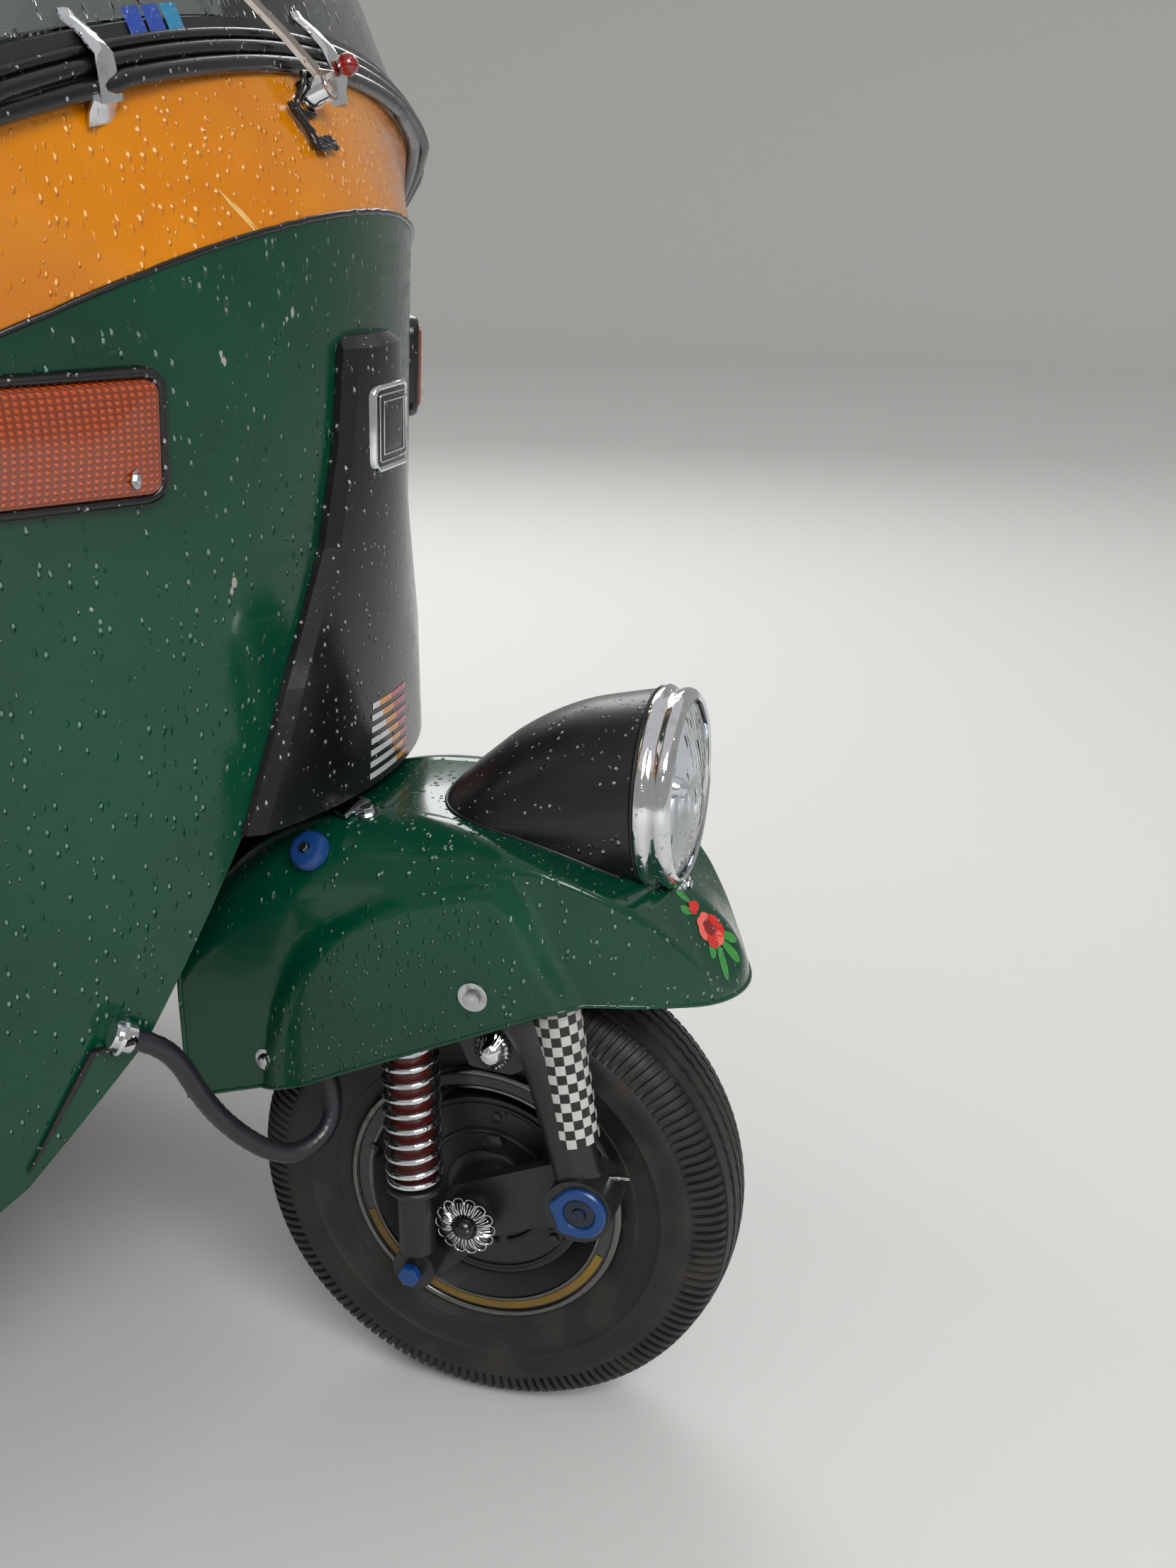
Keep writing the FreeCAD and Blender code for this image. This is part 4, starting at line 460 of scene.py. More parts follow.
def tube(bm, points, radius, sides=12, capped=True, closed=False):
    """A round bar along points; radius is one number or one for each point."""
    points = [Vector(p) for p in points]
    count = len(points)
    radii = radius if isinstance(radius, (list, tuple)) else [radius] * count
    rows = []
    side = None
    for index, point in enumerate(points):
        ahead = points[(index + 1) % count] if closed or index < count - 1 else point
        back = points[index - 1] if closed or index > 0 else point
        along = (ahead - back).normalized()
        if side is None:
            side = along.orthogonal().normalized()
        side = (side - along * side.dot(along)).normalized()
        other = along.cross(side)
        rows.append([point + (side * math.cos(t) + other * math.sin(t)) * radii[index]
                     for t in turns(sides)])
    if closed:
        rows.append(rows[0])
    strip(bm, rows, closed=True, capped=capped and not closed)
    if closed:
        bmesh.ops.remove_doubles(bm, verts=bm.verts, dist=1e-7)


def lathe(bm, profile, place, axis, steps=48):
    """Turns (distance along axis, radius) points about the axis through place."""
    world_from = to_world(place, axis)
    rows = []
    for along, radius in profile:
        rows.append([world_from @ Vector((radius * math.cos(t), radius * math.sin(t), along))
                     for t in turns(steps)])
    strip(bm, rows, closed=True)


def turned(name, look, profile, place, axis, steps=48, smooth=40, body="steering", stands_for=()):
    """A piece of its own, turned from one profile."""
    bm = bmesh.new()
    lathe(bm, profile, place, axis, steps)
    return piece(name, bm, look, body, smooth, stands_for)


def slab(bm, place, axis, size, bevel=0.001):
    """A block with rounded edges; size is across, up and along the axis."""
    made = bmesh.ops.create_cube(bm, size=1.0, matrix=to_world(place, axis) @ Matrix.Diagonal((*size, 1.0)))
    edges = list({e for v in made["verts"] for e in v.link_edges})
    bmesh.ops.bevel(bm, geom=edges, offset=bevel, segments=2, profile=0.5, affect="EDGES")


def bolt(bm, place, axis, radius, height, washer=True):
    """A hexagon head with chamfered corners on a washer."""
    world_from = to_world(place, axis)
    if washer:
        lathe(bm, [(0, 0), (0, radius * 1.7), (height * 0.25, radius * 1.7), (height * 0.3, radius * 0.9)],
              place, axis, 28)
    rows = []
    for along, reach in ((height * 0.2, 1.0), (height * 0.92, 1.0), (height, 0.86), (height, 0.0)):
        rows.append([world_from @ Vector((reach * radius * math.cos(t), reach * radius * math.sin(t), along))
                     for t in turns(6)])
    strip(bm, rows, closed=True)


def skin_of(*names):
    """A search tree over CAD nodes, to lay trim on their surfaces."""
    verts, polygons = [], []
    for name in names:
        mesh = nodes[name].data
        start = len(verts)
        verts += [v.co.copy() for v in mesh.vertices]
        polygons += [[start + i for i in p.vertices] for p in mesh.polygons]
    return BVHTree.FromPolygons(verts, polygons)


def hit(tree, place, direction):
    found, normal, _, _ = tree.ray_cast(Vector(place), Vector(direction).normalized())
    return found, normal


# The brake hose's route, in millimetres with y from the front axle
HOSE_ROUTE = [(-245, 186, 431), (-232, 173, 421), (-217, 166, 398), (-203, 164, 370), (-187, 160, 341),
              (-169, 152, 314), (-150, 140, 290), (-133.5, 125.5, 278), (-114, 112, 282),
              (-100.5, 106, 298), (-95.5, 108, 318), (-93, 114, 338), (-91.5, 122, 357)]


def hose():
    curve = bpy.data.curves.new("hose_path", "CURVE")
    curve.dimensions = "3D"
    spline = curve.splines.new("NURBS")
    spline.points.add(len(HOSE_ROUTE) - 1)
    for point, (x, y, z) in zip(spline.points, HOSE_ROUTE):
        point.co = (x / 1000, FRONT + y / 1000, z / 1000, 1.0)
    spline.order_u = 3
    spline.use_endpoint_u = True
    spline.resolution_u = 8
    holder = linked("hose_path", curve)
    bpy.context.view_layer.update()
    line = bpy.data.meshes.new_from_object(holder)
    points = [v.co.copy() for v in line.vertices]
    bpy.data.objects.remove(holder)
    bm = bmesh.new()
    lengths = [0.0]
    for a, b in zip(points, points[1:]):
        lengths.append(lengths[-1] + (b - a).length)
    radii = [0.0078 + 0.00025 * math.sin(2 * math.pi * run / 0.0065) for run in lengths]
    tube(bm, points, radii, 20)
    look = black("hose_rubber", srgb(30, 26, 34), rough=0.4, grain=300, depth=0.0003)
    made = piece("brake_hose", bm, look, None, stands_for=["hose"])
    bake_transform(made)


# Tyres and wheels
# Half of the tyre's outline from crown to bead: millimetres out from its middle, radius, and how
# much of the lug cut reaches that point.
CROWN = [(0, 208, 0), (3.4, 208, 0), (4.2, 202.5, 0), (7.4, 202.5, 0), (8.2, 207.7, 0), (17.4, 206.7, 0),
         (18.2, 201.4, 0), (21.4, 201.2, 0), (22.2, 205.7, 0), (30.5, 203.6, 0), (31.2, 200.2, 0),
         (33.4, 199.8, 0), (34.2, 202.6, 0.6), (38.5, 200.8, 1), (43, 197.6, 1), (46.5, 193, 1),
         (49.2, 187.6, 1), (51, 182, 1), (51.8, 178.6, 0.5), (51.7, 176.8, 0), (52.7, 175, 0),
         (53.3, 170, 0), (53.4, 163, 0), (52.9, 156, 0), (53.5, 154.2, 0), (53.4, 152.6, 0),
         (52.2, 151, 0), (50.8, 145, 0), (48.8, 138, 0), (46.8, 132, 0), (47.2, 130.6, 0), (46.2, 128.4, 0),
         (43.6, 123, 0), (41.5, 118.5, 0)]
LUG_DEPTH = 3.4


def tyre(name, body, centre, node, lugs):
    """A cross-ply tyre: wavy ribs round the crown, and cut lugs down each shoulder."""
    outline = [(-x, r, cut) for x, r, cut in reversed(CROWN[1:])] + CROWN
    bm = bmesh.new()
    rows = []
    for lug in range(lugs):
        for share, cut_here in ((0.0, 1), (0.09, 0), (0.6, 0), (0.69, 1)):
            row = []
            for x, radius, cut in outline:
                turn = 2 * math.pi * (lug + share + abs(x) * 0.018) / lugs
                wave = 1.3 * math.asin(math.sin(turn * lugs / 3)) if 3 < abs(x) < 22.5 else 0.0
                tip = min(1.0, max(0.0, (abs(x) - 36) / 15))
                sink = LUG_DEPTH * cut * cut_here
                x += math.copysign(wave, 1) - math.copysign(sink * tip, x)
                radius -= sink * (1 - 0.75 * tip)
                row.append(centre + Vector((x, radius * math.sin(turn), radius * math.cos(turn))) / 1000)
            rows.append(row)
    rings = strip(bm, rows)
    for index in range(len(outline) - 1):
        bm.faces.new((rings[-1][index], rings[-1][index + 1], rings[0][index + 1], rings[0][index]))
    piece(name, bm, RUBBER, body, 32, [node])


WHEELS = [("front", "front_wheel", Vector((0, FRONT, WHEEL_Z)), "front_tyre", -1, 150),
          ("rear_left", "rear_wheel_left", Vector((0.575, REAR, WHEEL_Z)), "rear_tyre_left", 1, 110),
          ("rear_right", "rear_wheel_right", Vector((-0.575, REAR, WHEEL_Z)), "rear_tyre_right", -1, 110)]
LIP_FACE = 0.045


def wheel_trim(name, body, centre, side):
    """Polished lip rings, a painted line on the lip, wheel nuts and the valve."""
    bm = bmesh.new()
    for hand in (-1, 1):
        ring = [(0.0, 0.1176), (0.0016, 0.1182), (0.003, 0.1168), (0.0034, 0.1145), (0.0022, 0.1126),
                (0.0, 0.112), (-0.0006, 0.115)]
        lathe(bm, ring, centre + Vector((hand * LIP_FACE, 0, 0)), (hand, 0, 0), 72)
        inner = [(0.0, 0.1032), (0.0012, 0.1026), (0.0014, 0.1008), (0.0, 0.0998)]
        lathe(bm, inner, centre + Vector((hand * LIP_FACE, 0, 0)), (hand, 0, 0), 72)
    piece(name + "_rim_rings", bm, WORN_RIM, body, 45)
    if name == "front":
        bm = bmesh.new()
        rows = []
        for step in range(73):
            turn = math.radians(-18 - 140 * step / 72)
            rows.append([centre + Vector((-LIP_FACE - lift, r * math.cos(turn), r * math.sin(turn)))
                         for lift, r in ((0, 0.1042), (0.0007, 0.1045), (0.0007, 0.1106), (0, 0.1109))])
        strip(bm, rows)
        piece("rim_paint_line", bm, LINE, body, 30)
    else:
        bm = bmesh.new()
        hub = centre + Vector((side * 0.02, 0, 0))
        for index in range(5):
            turn = 2 * math.pi * index / 5
            at = hub + Vector((0, 0.05 * math.cos(turn), 0.05 * math.sin(turn)))
            bolt(bm, at, (side, 0, 0), 0.009, 0.012)
        cap = [(0.0, 0.0), (0.0, 0.031), (0.012, 0.031), (0.024, 0.027), (0.03, 0.016), (0.032, 0.0)]
        lathe(bm, cap, hub, (side, 0, 0), 40)
        piece(name + "_nuts_and_cap", bm, BRIGHT, body, 35)
    bm = bmesh.new()
    start = centre + Vector((side * 0.043, 0.098, 0.03))
    tube(bm, [start, start + Vector((side * 0.004, -0.003, 0)), start + Vector((side * 0.012, -0.01, 0))],
         [0.004, 0.0036, 0.003], 12)
    piece(name + "_valve", bm, BRIGHT, body, 35)


# Front suspension
SHOCK = Vector((-0.090, FRONT + 0.042, 0.0))
COIL = (0.2425, 0.4245)
COIL_PITCH = 0.0142
PIVOT = Vector((-0.106, FRONT - 0.101, 0.250))


def spring():
    """The chrome coil, with closed end turns, round a banded damper sleeve."""
    bm = bmesh.new()
    points = []
    turns = (COIL[1] - COIL[0]) / COIL_PITCH + 1.2
    steps = int(turns * 28)
    for step in range(steps + 1):
        turn = turns * step / steps
        inner = min(turn, turns - turn)
        rise = turn - 0.55 + 0.55 * max(0.0, 1 - turn) - 0.55 * max(0.0, 1 - (turns - turn))
        z = COIL[0] + 0.003 + (COIL[1] - COIL[0] - 0.006) * min(1, max(0, rise / (turns - 1.1)))
        angle = 2 * math.pi * turn
        radius = 0.0212 - 0.001 * max(0.0, 1 - inner)
        points.append(SHOCK + Vector((radius * math.cos(angle), radius * math.sin(angle), z)))
    tube(bm, points, 0.0027, 10)
    piece("front_coil", bm, CHROME, "steering", 60, ["front_spring"])
    sleeve = [(0.0, 0.0153), (0.004, 0.0166), (0.17, 0.0166), (0.174, 0.0153)]
    turned("damper_sleeve", SLEEVE, sleeve, SHOCK + Vector((0, 0, COIL[0] + 0.004)), (0, 0, 1),
           40, 30)
    bm = bmesh.new()
    for z in (COIL[0] - 0.005, COIL[1] - 0.002):
        seat = [(0, 0.0152), (0, 0.0225), (0.0015, 0.0236), (0.0035, 0.0236), (0.005, 0.022), (0.005, 0.0152)]
        lathe(bm, seat, SHOCK + Vector((0, 0, z)), (0, 0, 1), 40)
    piece("spring_seats", bm, STEEL, "steering", 40)


# The axle cap's wire petals: distance from the axle, half width and lift, then the two veins inside
CAP_PETALS = 14
CAP_RIM = [(0.0112, 0.0016, 0.0145), (0.0145, 0.0022, 0.0155), (0.0185, 0.0033, 0.0148),
           (0.0222, 0.0044, 0.0128), (0.0242, 0.0036, 0.0122), (0.0252, 0.0016, 0.0120)]
CAP_VEIN = [(0.0118, 0.0146), (0.015, 0.0150), (0.0185, 0.0138), (0.0212, 0.0122)]


def suspension_trim():
    """Nuts, the fluted axle cap, the rosette on its gusset and the blue pivot ring."""
    axle = Vector((-0.0785, FRONT, WHEEL_Z))
    turned("axle_nut_seat", STEEL,
           [(0, 0.021), (0.003, 0.021), (0.0035, 0.017), (0.010, 0.017), (0.012, 0.015)], axle, (-1, 0, 0),
           36)
    bm = bmesh.new()
    backing = bmesh.new()
    lathe(backing, [(0.0118, 0.0), (0.0118, 0.0205), (0.0085, 0.0215), (0.0080, 0.0)], axle, (-1, 0, 0), 48)
    lathe(backing, [(0.0118, 0.0088), (0.0150, 0.0092), (0.0185, 0.0084), (0.0212, 0.0062), (0.0226, 0.0030),
                    (0.0230, 0.0)], axle, (-1, 0, 0), 36)
    for number in range(CAP_PETALS):
        middle = 2 * math.pi * (number + 0.5) / CAP_PETALS

        def spoke(reach, off, lift):
            turn = middle + off / reach
            return axle + Vector((-lift, reach * math.sin(turn), reach * math.cos(turn)))
        loop = [spoke(reach, side, lift) for reach, side, lift in CAP_RIM]
        loop += [spoke(reach, -side, lift) for reach, side, lift in reversed(CAP_RIM)]
        tube(bm, loop, 0.00062, 6)
        for side in (-0.0011, 0.0011):
            tube(bm, [spoke(reach, side * reach / 0.016, lift) for reach, lift in CAP_VEIN], 0.0005, 6)
    piece("axle_cap_core", backing, COVER, "steering", 50)
    piece("axle_cap", bm, CHROME, "steering", 50)

    bm = bmesh.new()
    outline = [(14, 447), (16, 404), (-6, 352), (-40, 349), (-74, 372), (-68, 447)]
    for x in (-0.081, -0.086):
        face = [bm.verts.new((x, FRONT + y / 1000, z / 1000)) for y, z in outline]
        bm.faces.new(face)
    bm.verts.ensure_lookup_table()
    for index in range(len(outline)):
        after = (index + 1) % len(outline)
        bm.faces.new([bm.verts[k] for k in (index, after, after + 6, index + 6)])
    bmesh.ops.bevel(bm, geom=bm.edges[:], offset=0.0012, segments=2, affect="EDGES")
    piece("shock_gusset", bm, STEEL, "steering", 30)

    bm = bmesh.new()
    rows = []
    for along, reach in ((0.0, 0.0), (0.0, 1.0), (0.003, 1.02), (0.005, 0.86), (0.0065, 0.74), (0.0115, 0.55),
                         (0.0145, 0.3), (0.0152, 0.0)):
        row = []
        for turn in turns(96):
            flute = 1 + (0.05 * math.cos(turn * 24) if reach > 0.8
                         else 0.035 * math.cos(turn * 6) * (reach > 0.5))
            row.append(Vector((-0.086 - along, FRONT - 0.026 + 0.0145 * reach * flute * math.sin(turn),
                               0.371 + 0.017 * reach * flute * math.cos(turn))))
        rows.append(row)
    strip(bm, rows, closed=True)
    piece("rosette", bm, CHROME, "steering", 60)

    bm = bmesh.new()
    rows = []
    for along, reach in ((0.0, 0.0145), (0.0, 0.0215), (0.0028, 0.0215), (0.004, 0.0202), (0.004, 0.0138),
                         (0.002, 0.0125)):
        row = []
        for turn in turns(72):
            spike = max(0.0, 1 - abs(turn - 2.95) / 0.34, 1 - abs(turn - 4.0) / 0.34)
            out = reach + (0.0035 * spike if reach > 0.019 else 0.0)
            row.append(PIVOT + Vector((-along, -out * math.cos(turn), out * math.sin(turn))))
        rows.append(row)
    strip(bm, rows, closed=True)
    piece("pivot_ring", bm, BLUE, "steering", 40)
    turned("pivot_cap", DARK_BLUE,
           [(0, 0.0128), (0.0022, 0.0128), (0.003, 0.0118), (0.003, 0.006), (0.0052, 0.005), (0.006, 0)],
           PIVOT, (-1, 0, 0), 40)

    bm = bmesh.new()
    bolt(bm, SHOCK + Vector((-0.0145, 0, 0.165)), (-1, 0, 0), 0.0092, 0.0085, washer=False)
    piece("shock_bolt", bm, BLUE, "steering", 30)
    bm = bmesh.new()
    plate = Vector((-0.0323, FRONT, WHEEL_Z))
    bolt(bm, plate + Vector((0, -0.007, 0.046)), (-1, 0, 0), 0.0092, 0.008, washer=False)
    for turn in (25, 97, 150, 215, 330):
        at = plate + Vector((0, 0.069 * math.cos(math.radians(turn)), 0.069 * math.sin(math.radians(turn))))
        bolt(bm, at, (-1, 0, 0), 0.0048, 0.004)
    for start, end, radius in ((35, 145, 0.054), (200, 252, 0.052), (262, 322, 0.052)):
        points = [plate + Vector((-0.001, radius * math.cos(math.radians(start + (end - start) * k / 24)),
                                  radius * math.sin(math.radians(start + (end - start) * k / 24))))
                  for k in range(25)]
        tube(bm, points, 0.0024, 8)
    lathe(bm, [(0, 0.080), (0.002, 0.0795), (0.0026, 0.078), (0.0022, 0.0765), (0, 0.076)], plate,
          (-1, 0, 0), 72)
    lathe(bm, [(0, 0.036), (0.003, 0.0355), (0.0045, 0.033), (0.0045, 0.026)], plate, (-1, 0, 0), 48)
    piece("backplate_ribs", bm, STEEL, "steering", 35)
    bm = bmesh.new()
    pin = Vector((-0.080, FRONT - 0.118, 0.268))
    tube(bm, [pin, pin + Vector((0, -0.008, 0.001)), pin + Vector((0, -0.0081, 0.001)),
              pin + Vector((0, -0.016, 0.002))], [0.0026, 0.0026, 0.0016, 0.0016], 12)
    piece("grease_nipple", bm, BRIGHT, "steering", 40)


TAPE_TOP = Vector((-0.084, FRONT - 0.0735, 0.428))
TAPE_END = Vector((-0.084, FRONT - 0.0905, 0.303))
TAPE_RADIUS = 0.0196


def checker_tape():
    """Black and white chequered tape wound round the fork tube, torn away at its lower edge."""
    along = (TAPE_END - TAPE_TOP)
    turn_to = to_world(TAPE_TOP, along, (0, 1, 0))
    around, rows_down, fine = 16, 16, 3
    bm = bmesh.new()
    rows = []
    for level in range(rows_down * fine + 1):
        row = []
        for turn in turns(around * fine):
            lift = TAPE_RADIUS + random.uniform(-0.00012, 0.00012)
            row.append(turn_to @ Vector((lift * math.cos(turn), lift * math.sin(turn),
                                         along.length * level / (rows_down * fine))))
        rows.append(row)
    strip(bm, rows, closed=True)
    bm.faces.ensure_lookup_table()
    for number, face in enumerate(bm.faces):
        level, step = divmod(number, around * fine)
        face.material_index = (level // fine + step // fine) % 2
    piece("checker_tape", bm, [TAPE_WHITE, TAPE_BLACK], "steering", 40)


# Headlamp
LAMP_Z = 0.567
LENS_RADIUS = 0.0688


def headlamp():
    """The rolled chrome rim, a fluted glass before its reflector, and the clip below."""
    front = FRONT - 0.1583
    rim = [(0.0, 0.0755), (0.0, 0.0768), (0.0035, 0.078), (0.0065, 0.0765), (0.0085, 0.0748),
           (0.0125, 0.0746), (0.0150, 0.0762), (0.0185, 0.0766), (0.0222, 0.0752), (0.0248, 0.0722),
           (0.026, 0.0690), (0.0245, 0.0676), (0.0215, 0.0684)]
    turned("lamp_rim", CHROME, rim, (0, front + 0.026, LAMP_Z), (0, -1, 0), 96, 55,
           stands_for=["headlamp_ring"])
    bm = bmesh.new()
    rows = []
    for level in range(15):
        share = level / 14
        radius = LENS_RADIUS * (1 - share)
        swell = 0.0135 * (1 - (radius / LENS_RADIUS) ** 2) + 0.0065
        row = []
        for turn in turns(120):
            x = radius * math.cos(turn)
            flute = 0.0006 * math.cos(2 * math.pi * x / 0.0068) * min(1, 6 * share)
            row.append(Vector((x, front + 0.012 - swell - flute * 0.9, LAMP_Z + radius * math.sin(turn))))
        rows.append(row)
    strip(bm, rows, closed=True)
    bmesh.ops.remove_doubles(bm, verts=bm.verts, dist=1e-6)
    bmesh.ops.solidify(bm, geom=bm.faces[:], thickness=0.0016)
    piece("lamp_lens", bm, LAMP_GLASS, "steering", 60, ["headlamp_lens"])
    bowl = [(0.0, 0.0678), (-0.006, 0.064), (-0.012, 0.054), (-0.017, 0.036), (-0.0185, 0.018),
            (-0.0185, 0.011), (-0.015, 0.0095), (-0.004, 0.008), (0.001, 0.005), (0.002, 0.0)]
    turned("lamp_reflector", MIRROR, bowl, (0, front + 0.006, LAMP_Z), (0, -1, 0), 72, 50)
    bm = bmesh.new()
    at = Vector((0, front + 0.010, LAMP_Z - 0.0785))
    slab(bm, at, (0, -1, 0), (0.016, 0.011, 0.018), 0.002)
    bolt(bm, at + Vector((0, -0.009, 0.0)), (0, -1, 0), 0.0036, 0.0032)
    piece("lamp_clip", bm, BRIGHT, "steering", 35)
    seam = [(0.0, 0.0752), (0.0016, 0.0764), (0.0034, 0.0752)]
    turned("lamp_gasket", TRIM, seam, (0, FRONT - 0.1315, LAMP_Z), (0, 1, 0), 96)


# Mudguard fittings
def mudguard_trim():
    guard = tree_of(bpy.data.objects["mudguard_pressing"])
    bm = bmesh.new()
    for y, z, radius in ((-0.024, 0.433, 0.0068), (0.155, 0.348, 0.0052)):
        place, normal = hit(guard, (-0.3, FRONT + y, z), (1, 0, 0))
        bolt(bm, place, normal, radius, radius * 0.85)
    piece("mudguard_bolts", bm, BRIGHT, "steering", 30)
    place, _ = hit(guard, (-0.101, FRONT + 0.110, 0.9), (0, 0, -1))
    out = Vector((-0.72, 0.23, 0.65)).normalized()
    turned("mudguard_cap", BLUE,
           [(0, 0.0155), (0.005, 0.0155), (0.009, 0.0135), (0.0105, 0.0095), (0.0095, 0.0045)], place, out,
           32)
    bm = bmesh.new()
    bolt(bm, place + out * 0.0085, out, 0.0042, 0.004, washer=False)
    place, _ = hit(guard, (-0.070, FRONT + 0.077, 0.9), (0, 0, -1))
    bolt(bm, place, (-0.2, 0.1, 1), 0.0055, 0.006)
    slab(bm, place + Vector((0.004, 0.014, 0.002)), (-0.2, 0.1, 1), (0.014, 0.026, 0.0035), 0.0008)
    piece("mudguard_bracket", bm, BRIGHT, "steering", 30)


# The front mudguard's outlines, in millimetres, with y from the front axle.
GUARD_HALF = 113
GUARD_TAPER = -30
GUARD_REACH = 176.5
GUARD_TAIL = 226
CREST_TIP = [(-140, 498), (-150, 492), (-165, 481), (-182, 466), (-193, 453), (-200, 441), (-204.5, 428),
             (-206.5, 414)]
EDGE_TIP = [(-140, 498), (-146, 494), (-158, 482), (-169, 467), (-179, 452), (-187, 438), (-199, 420),
            (-206.5, 414)]
GUARD_FOOT = [(-206.5, 412), (-187, 416), (-165, 421), (-134, 425), (-105, 427), (-86, 425), (-72, 422),
              (-48, 412), (-24, 401), (34, 375), (87, 351), (112, 339), (128, 333), (163, 322), (199, 311),
              (226, 302)]
BULGE_FOOT = [(560, -48), (537, -54), (498, -74), (458, -91), (430, -103), (400, -108)]
BULGE_BROW = [(560, -20), (519, -30), (502, -46), (463, -66), (423, -87), (400, -92)]
BULGE_TOP = [(-60, 524), (-28, 520), (4, 511), (29, 503), (70, 484), (112, 452), (138, 412), (150, 373),
             (157, 330), (162, 280)]
SHOULDER = [(-75, 6), (-50, 14), (-20, 32), (40, 50), (230, 54)]


def between(rows, at):
    """Reads a table of (at, value) pairs, smoothly between them."""
    rows = sorted(rows)
    if at <= rows[0][0]:
        return rows[0][1]
    if at >= rows[-1][0]:
        return rows[-1][1]
    index = max(k for k in range(len(rows) - 1) if rows[k][0] <= at)
    (a, low), (b, high) = rows[index], rows[index + 1]
    slope = (high - low) / (b - a)
    before = slope if index == 0 else (high - rows[index - 1][1]) / (b - rows[index - 1][0])
    after = slope if index + 2 == len(rows) else (rows[index + 2][1] - low) / (rows[index + 2][0] - a)
    s = (at - a) / (b - a)
    return (low * (2 * s ** 3 - 3 * s ** 2 + 1) + high * (3 * s ** 2 - 2 * s ** 3)
            + (b - a) * (before * (s ** 3 - 2 * s ** 2 + s) + after * (s ** 3 - s ** 2)))


def ease(value, low, high):
    share = min(1.0, max(0.0, (value - low) / (high - low)))
    return share * share * (3 - 2 * share)


def crown_z(y, tip):
    """Height of the mudguard's top at y; tip is the table for its last stretch."""
    if y > 52:
        return 348.6 + math.sqrt(202.4 ** 2 - (y - 52) ** 2)
    if y > 10:
        return 551
    if y > tip[0][0]:
        return 306 + math.sqrt(245 ** 2 - (y - 10) ** 2)
    return between(tip, y)


def bulge(y, z):
    """How much of the side panel's swell there is at a point of the wall, from 0 to 1."""
    front = ease(y, between(BULGE_FOOT, z), between(BULGE_BROW, z))
    top = ease(between(BULGE_TOP, y) + 5 - z, 0, 12)
    rear = ease(between([(high, back) for back, high in BULGE_TOP], z) + 9 - y, 0, 26)
    return front * min(top, rear)


def spaced(points, count):
    lengths = [0.0]
    for a, b in zip(points, points[1:]):
        lengths.append(lengths[-1] + (b - a).length)
    out = []
    index = 1
    for mark in range(count + 1):
        want = lengths[-1] * mark / count
        while index < len(points) - 1 and lengths[index] < want:
            index += 1
        run = lengths[index] - lengths[index - 1]
        share = (want - lengths[index - 1]) / run if run > 1e-9 else 0.0
        out.append(points[index - 1].lerp(points[index], min(1.0, share)))
    return out


def guard_section(t):
    """Points from the middle line out over the shoulder and down the wall. t is 0 at the tail,
    1 where the sides begin to taper and 2 at the tip."""
    turn = math.radians(90 * max(0.0, t - 1))
    y_wall = GUARD_TAIL + (GUARD_TAPER - GUARD_TAIL) * min(1.0, t) - GUARD_REACH * math.sin(turn)
    y_mid = y_wall + 62 * math.sin(turn)
    wide = GUARD_HALF * math.cos(turn)
    foot = between(GUARD_FOOT, y_wall)
    edge = max(crown_z(y_wall, EDGE_TIP), foot + 1.5)
    drop = crown_z(y_wall, CREST_TIP) - edge
    fall = 4 * min(1.0, 2 - t)
    top = []
    for step in range(41):
        share = step / 40
        y = y_mid + (y_wall - y_mid) * share
        top.append(Vector((wide * share, y, crown_z(y, CREST_TIP) - drop * share ** 3 - fall * share ** 2)))
    corner = top[-1]
    radius = min(between(SHOULDER, y_wall), (corner.z - foot) * 0.45)
    kept = [point for point in top if (point - corner).length > radius]
    inward = (corner - top[-3]).normalized()
    start = corner - inward * radius
    end = corner - Vector((0, 0, radius))
    shoulder = []
    for step in range(1, 12):
        s = step / 12
        shoulder.append(start * (1 - s) ** 2 + corner * (2 * s * (1 - s)) + end * s ** 2)
    wall = [end.lerp(Vector((wide, y_wall, foot)), k / 18) for k in range(19)]
    return spaced(kept + [start], 26) + shoulder + wall


def mudguard():
    """The pressed mudguard: a level crown that falls to a beak, a crisp front edge, and a raised
    panel on each side over the shock absorber."""
    rows = []
    for step in range(181):
        line = guard_section(2.0 * step / 180)
        row = []
        for x, y, z in line:
            share = bulge(y, z) * ease(x, 84, 108)
            row.append(Vector((x + 9 * share, FRONT * 1000 + y, z)) / 1000)
        rows.append([Vector((-p.x, p.y, p.z)) for p in reversed(row)] + row[1:])
    bm = bmesh.new()
    strip(bm, rows)
    bmesh.ops.remove_doubles(bm, verts=bm.verts, dist=1e-5)
    bmesh.ops.recalc_face_normals(bm, faces=bm.faces)
    bmesh.ops.solidify(bm, geom=bm.faces[:], thickness=0.0024)
    made = piece("mudguard_pressing", bm, GREEN, "steering", 50, ["front_mudguard"])
    hem = bmesh.new()
    edge = [row[0] + Vector((0.0012, 0, 0)) for row in rows] + [row[-1] - Vector((0.0012, 0, 0))
                                                             for row in reversed(rows[:-1])]
    tube(hem, edge, 0.0021, 8)
    tube(hem, rows[0], 0.0021, 8)
    piece("mudguard_hem", hem, GREEN, "steering", 60)
    return made


# The lamp housing's stations: y from the front axle, half width, top and middle height
POD = [(-132, 75, 642, 567), (-110, 76.5, 637.5, 560), (-75, 77, 629, 553.5), (-45, 76.5, 616, 546),
       (-20, 74, 600.5, 541), (0, 67, 584, 539), (15, 57, 571, 538.5), (25, 45, 561.5, 538),
       (31, 31, 554.5, 538), (34.5, 14, 547, 538), (35.2, 1.5, 539.5, 538)]


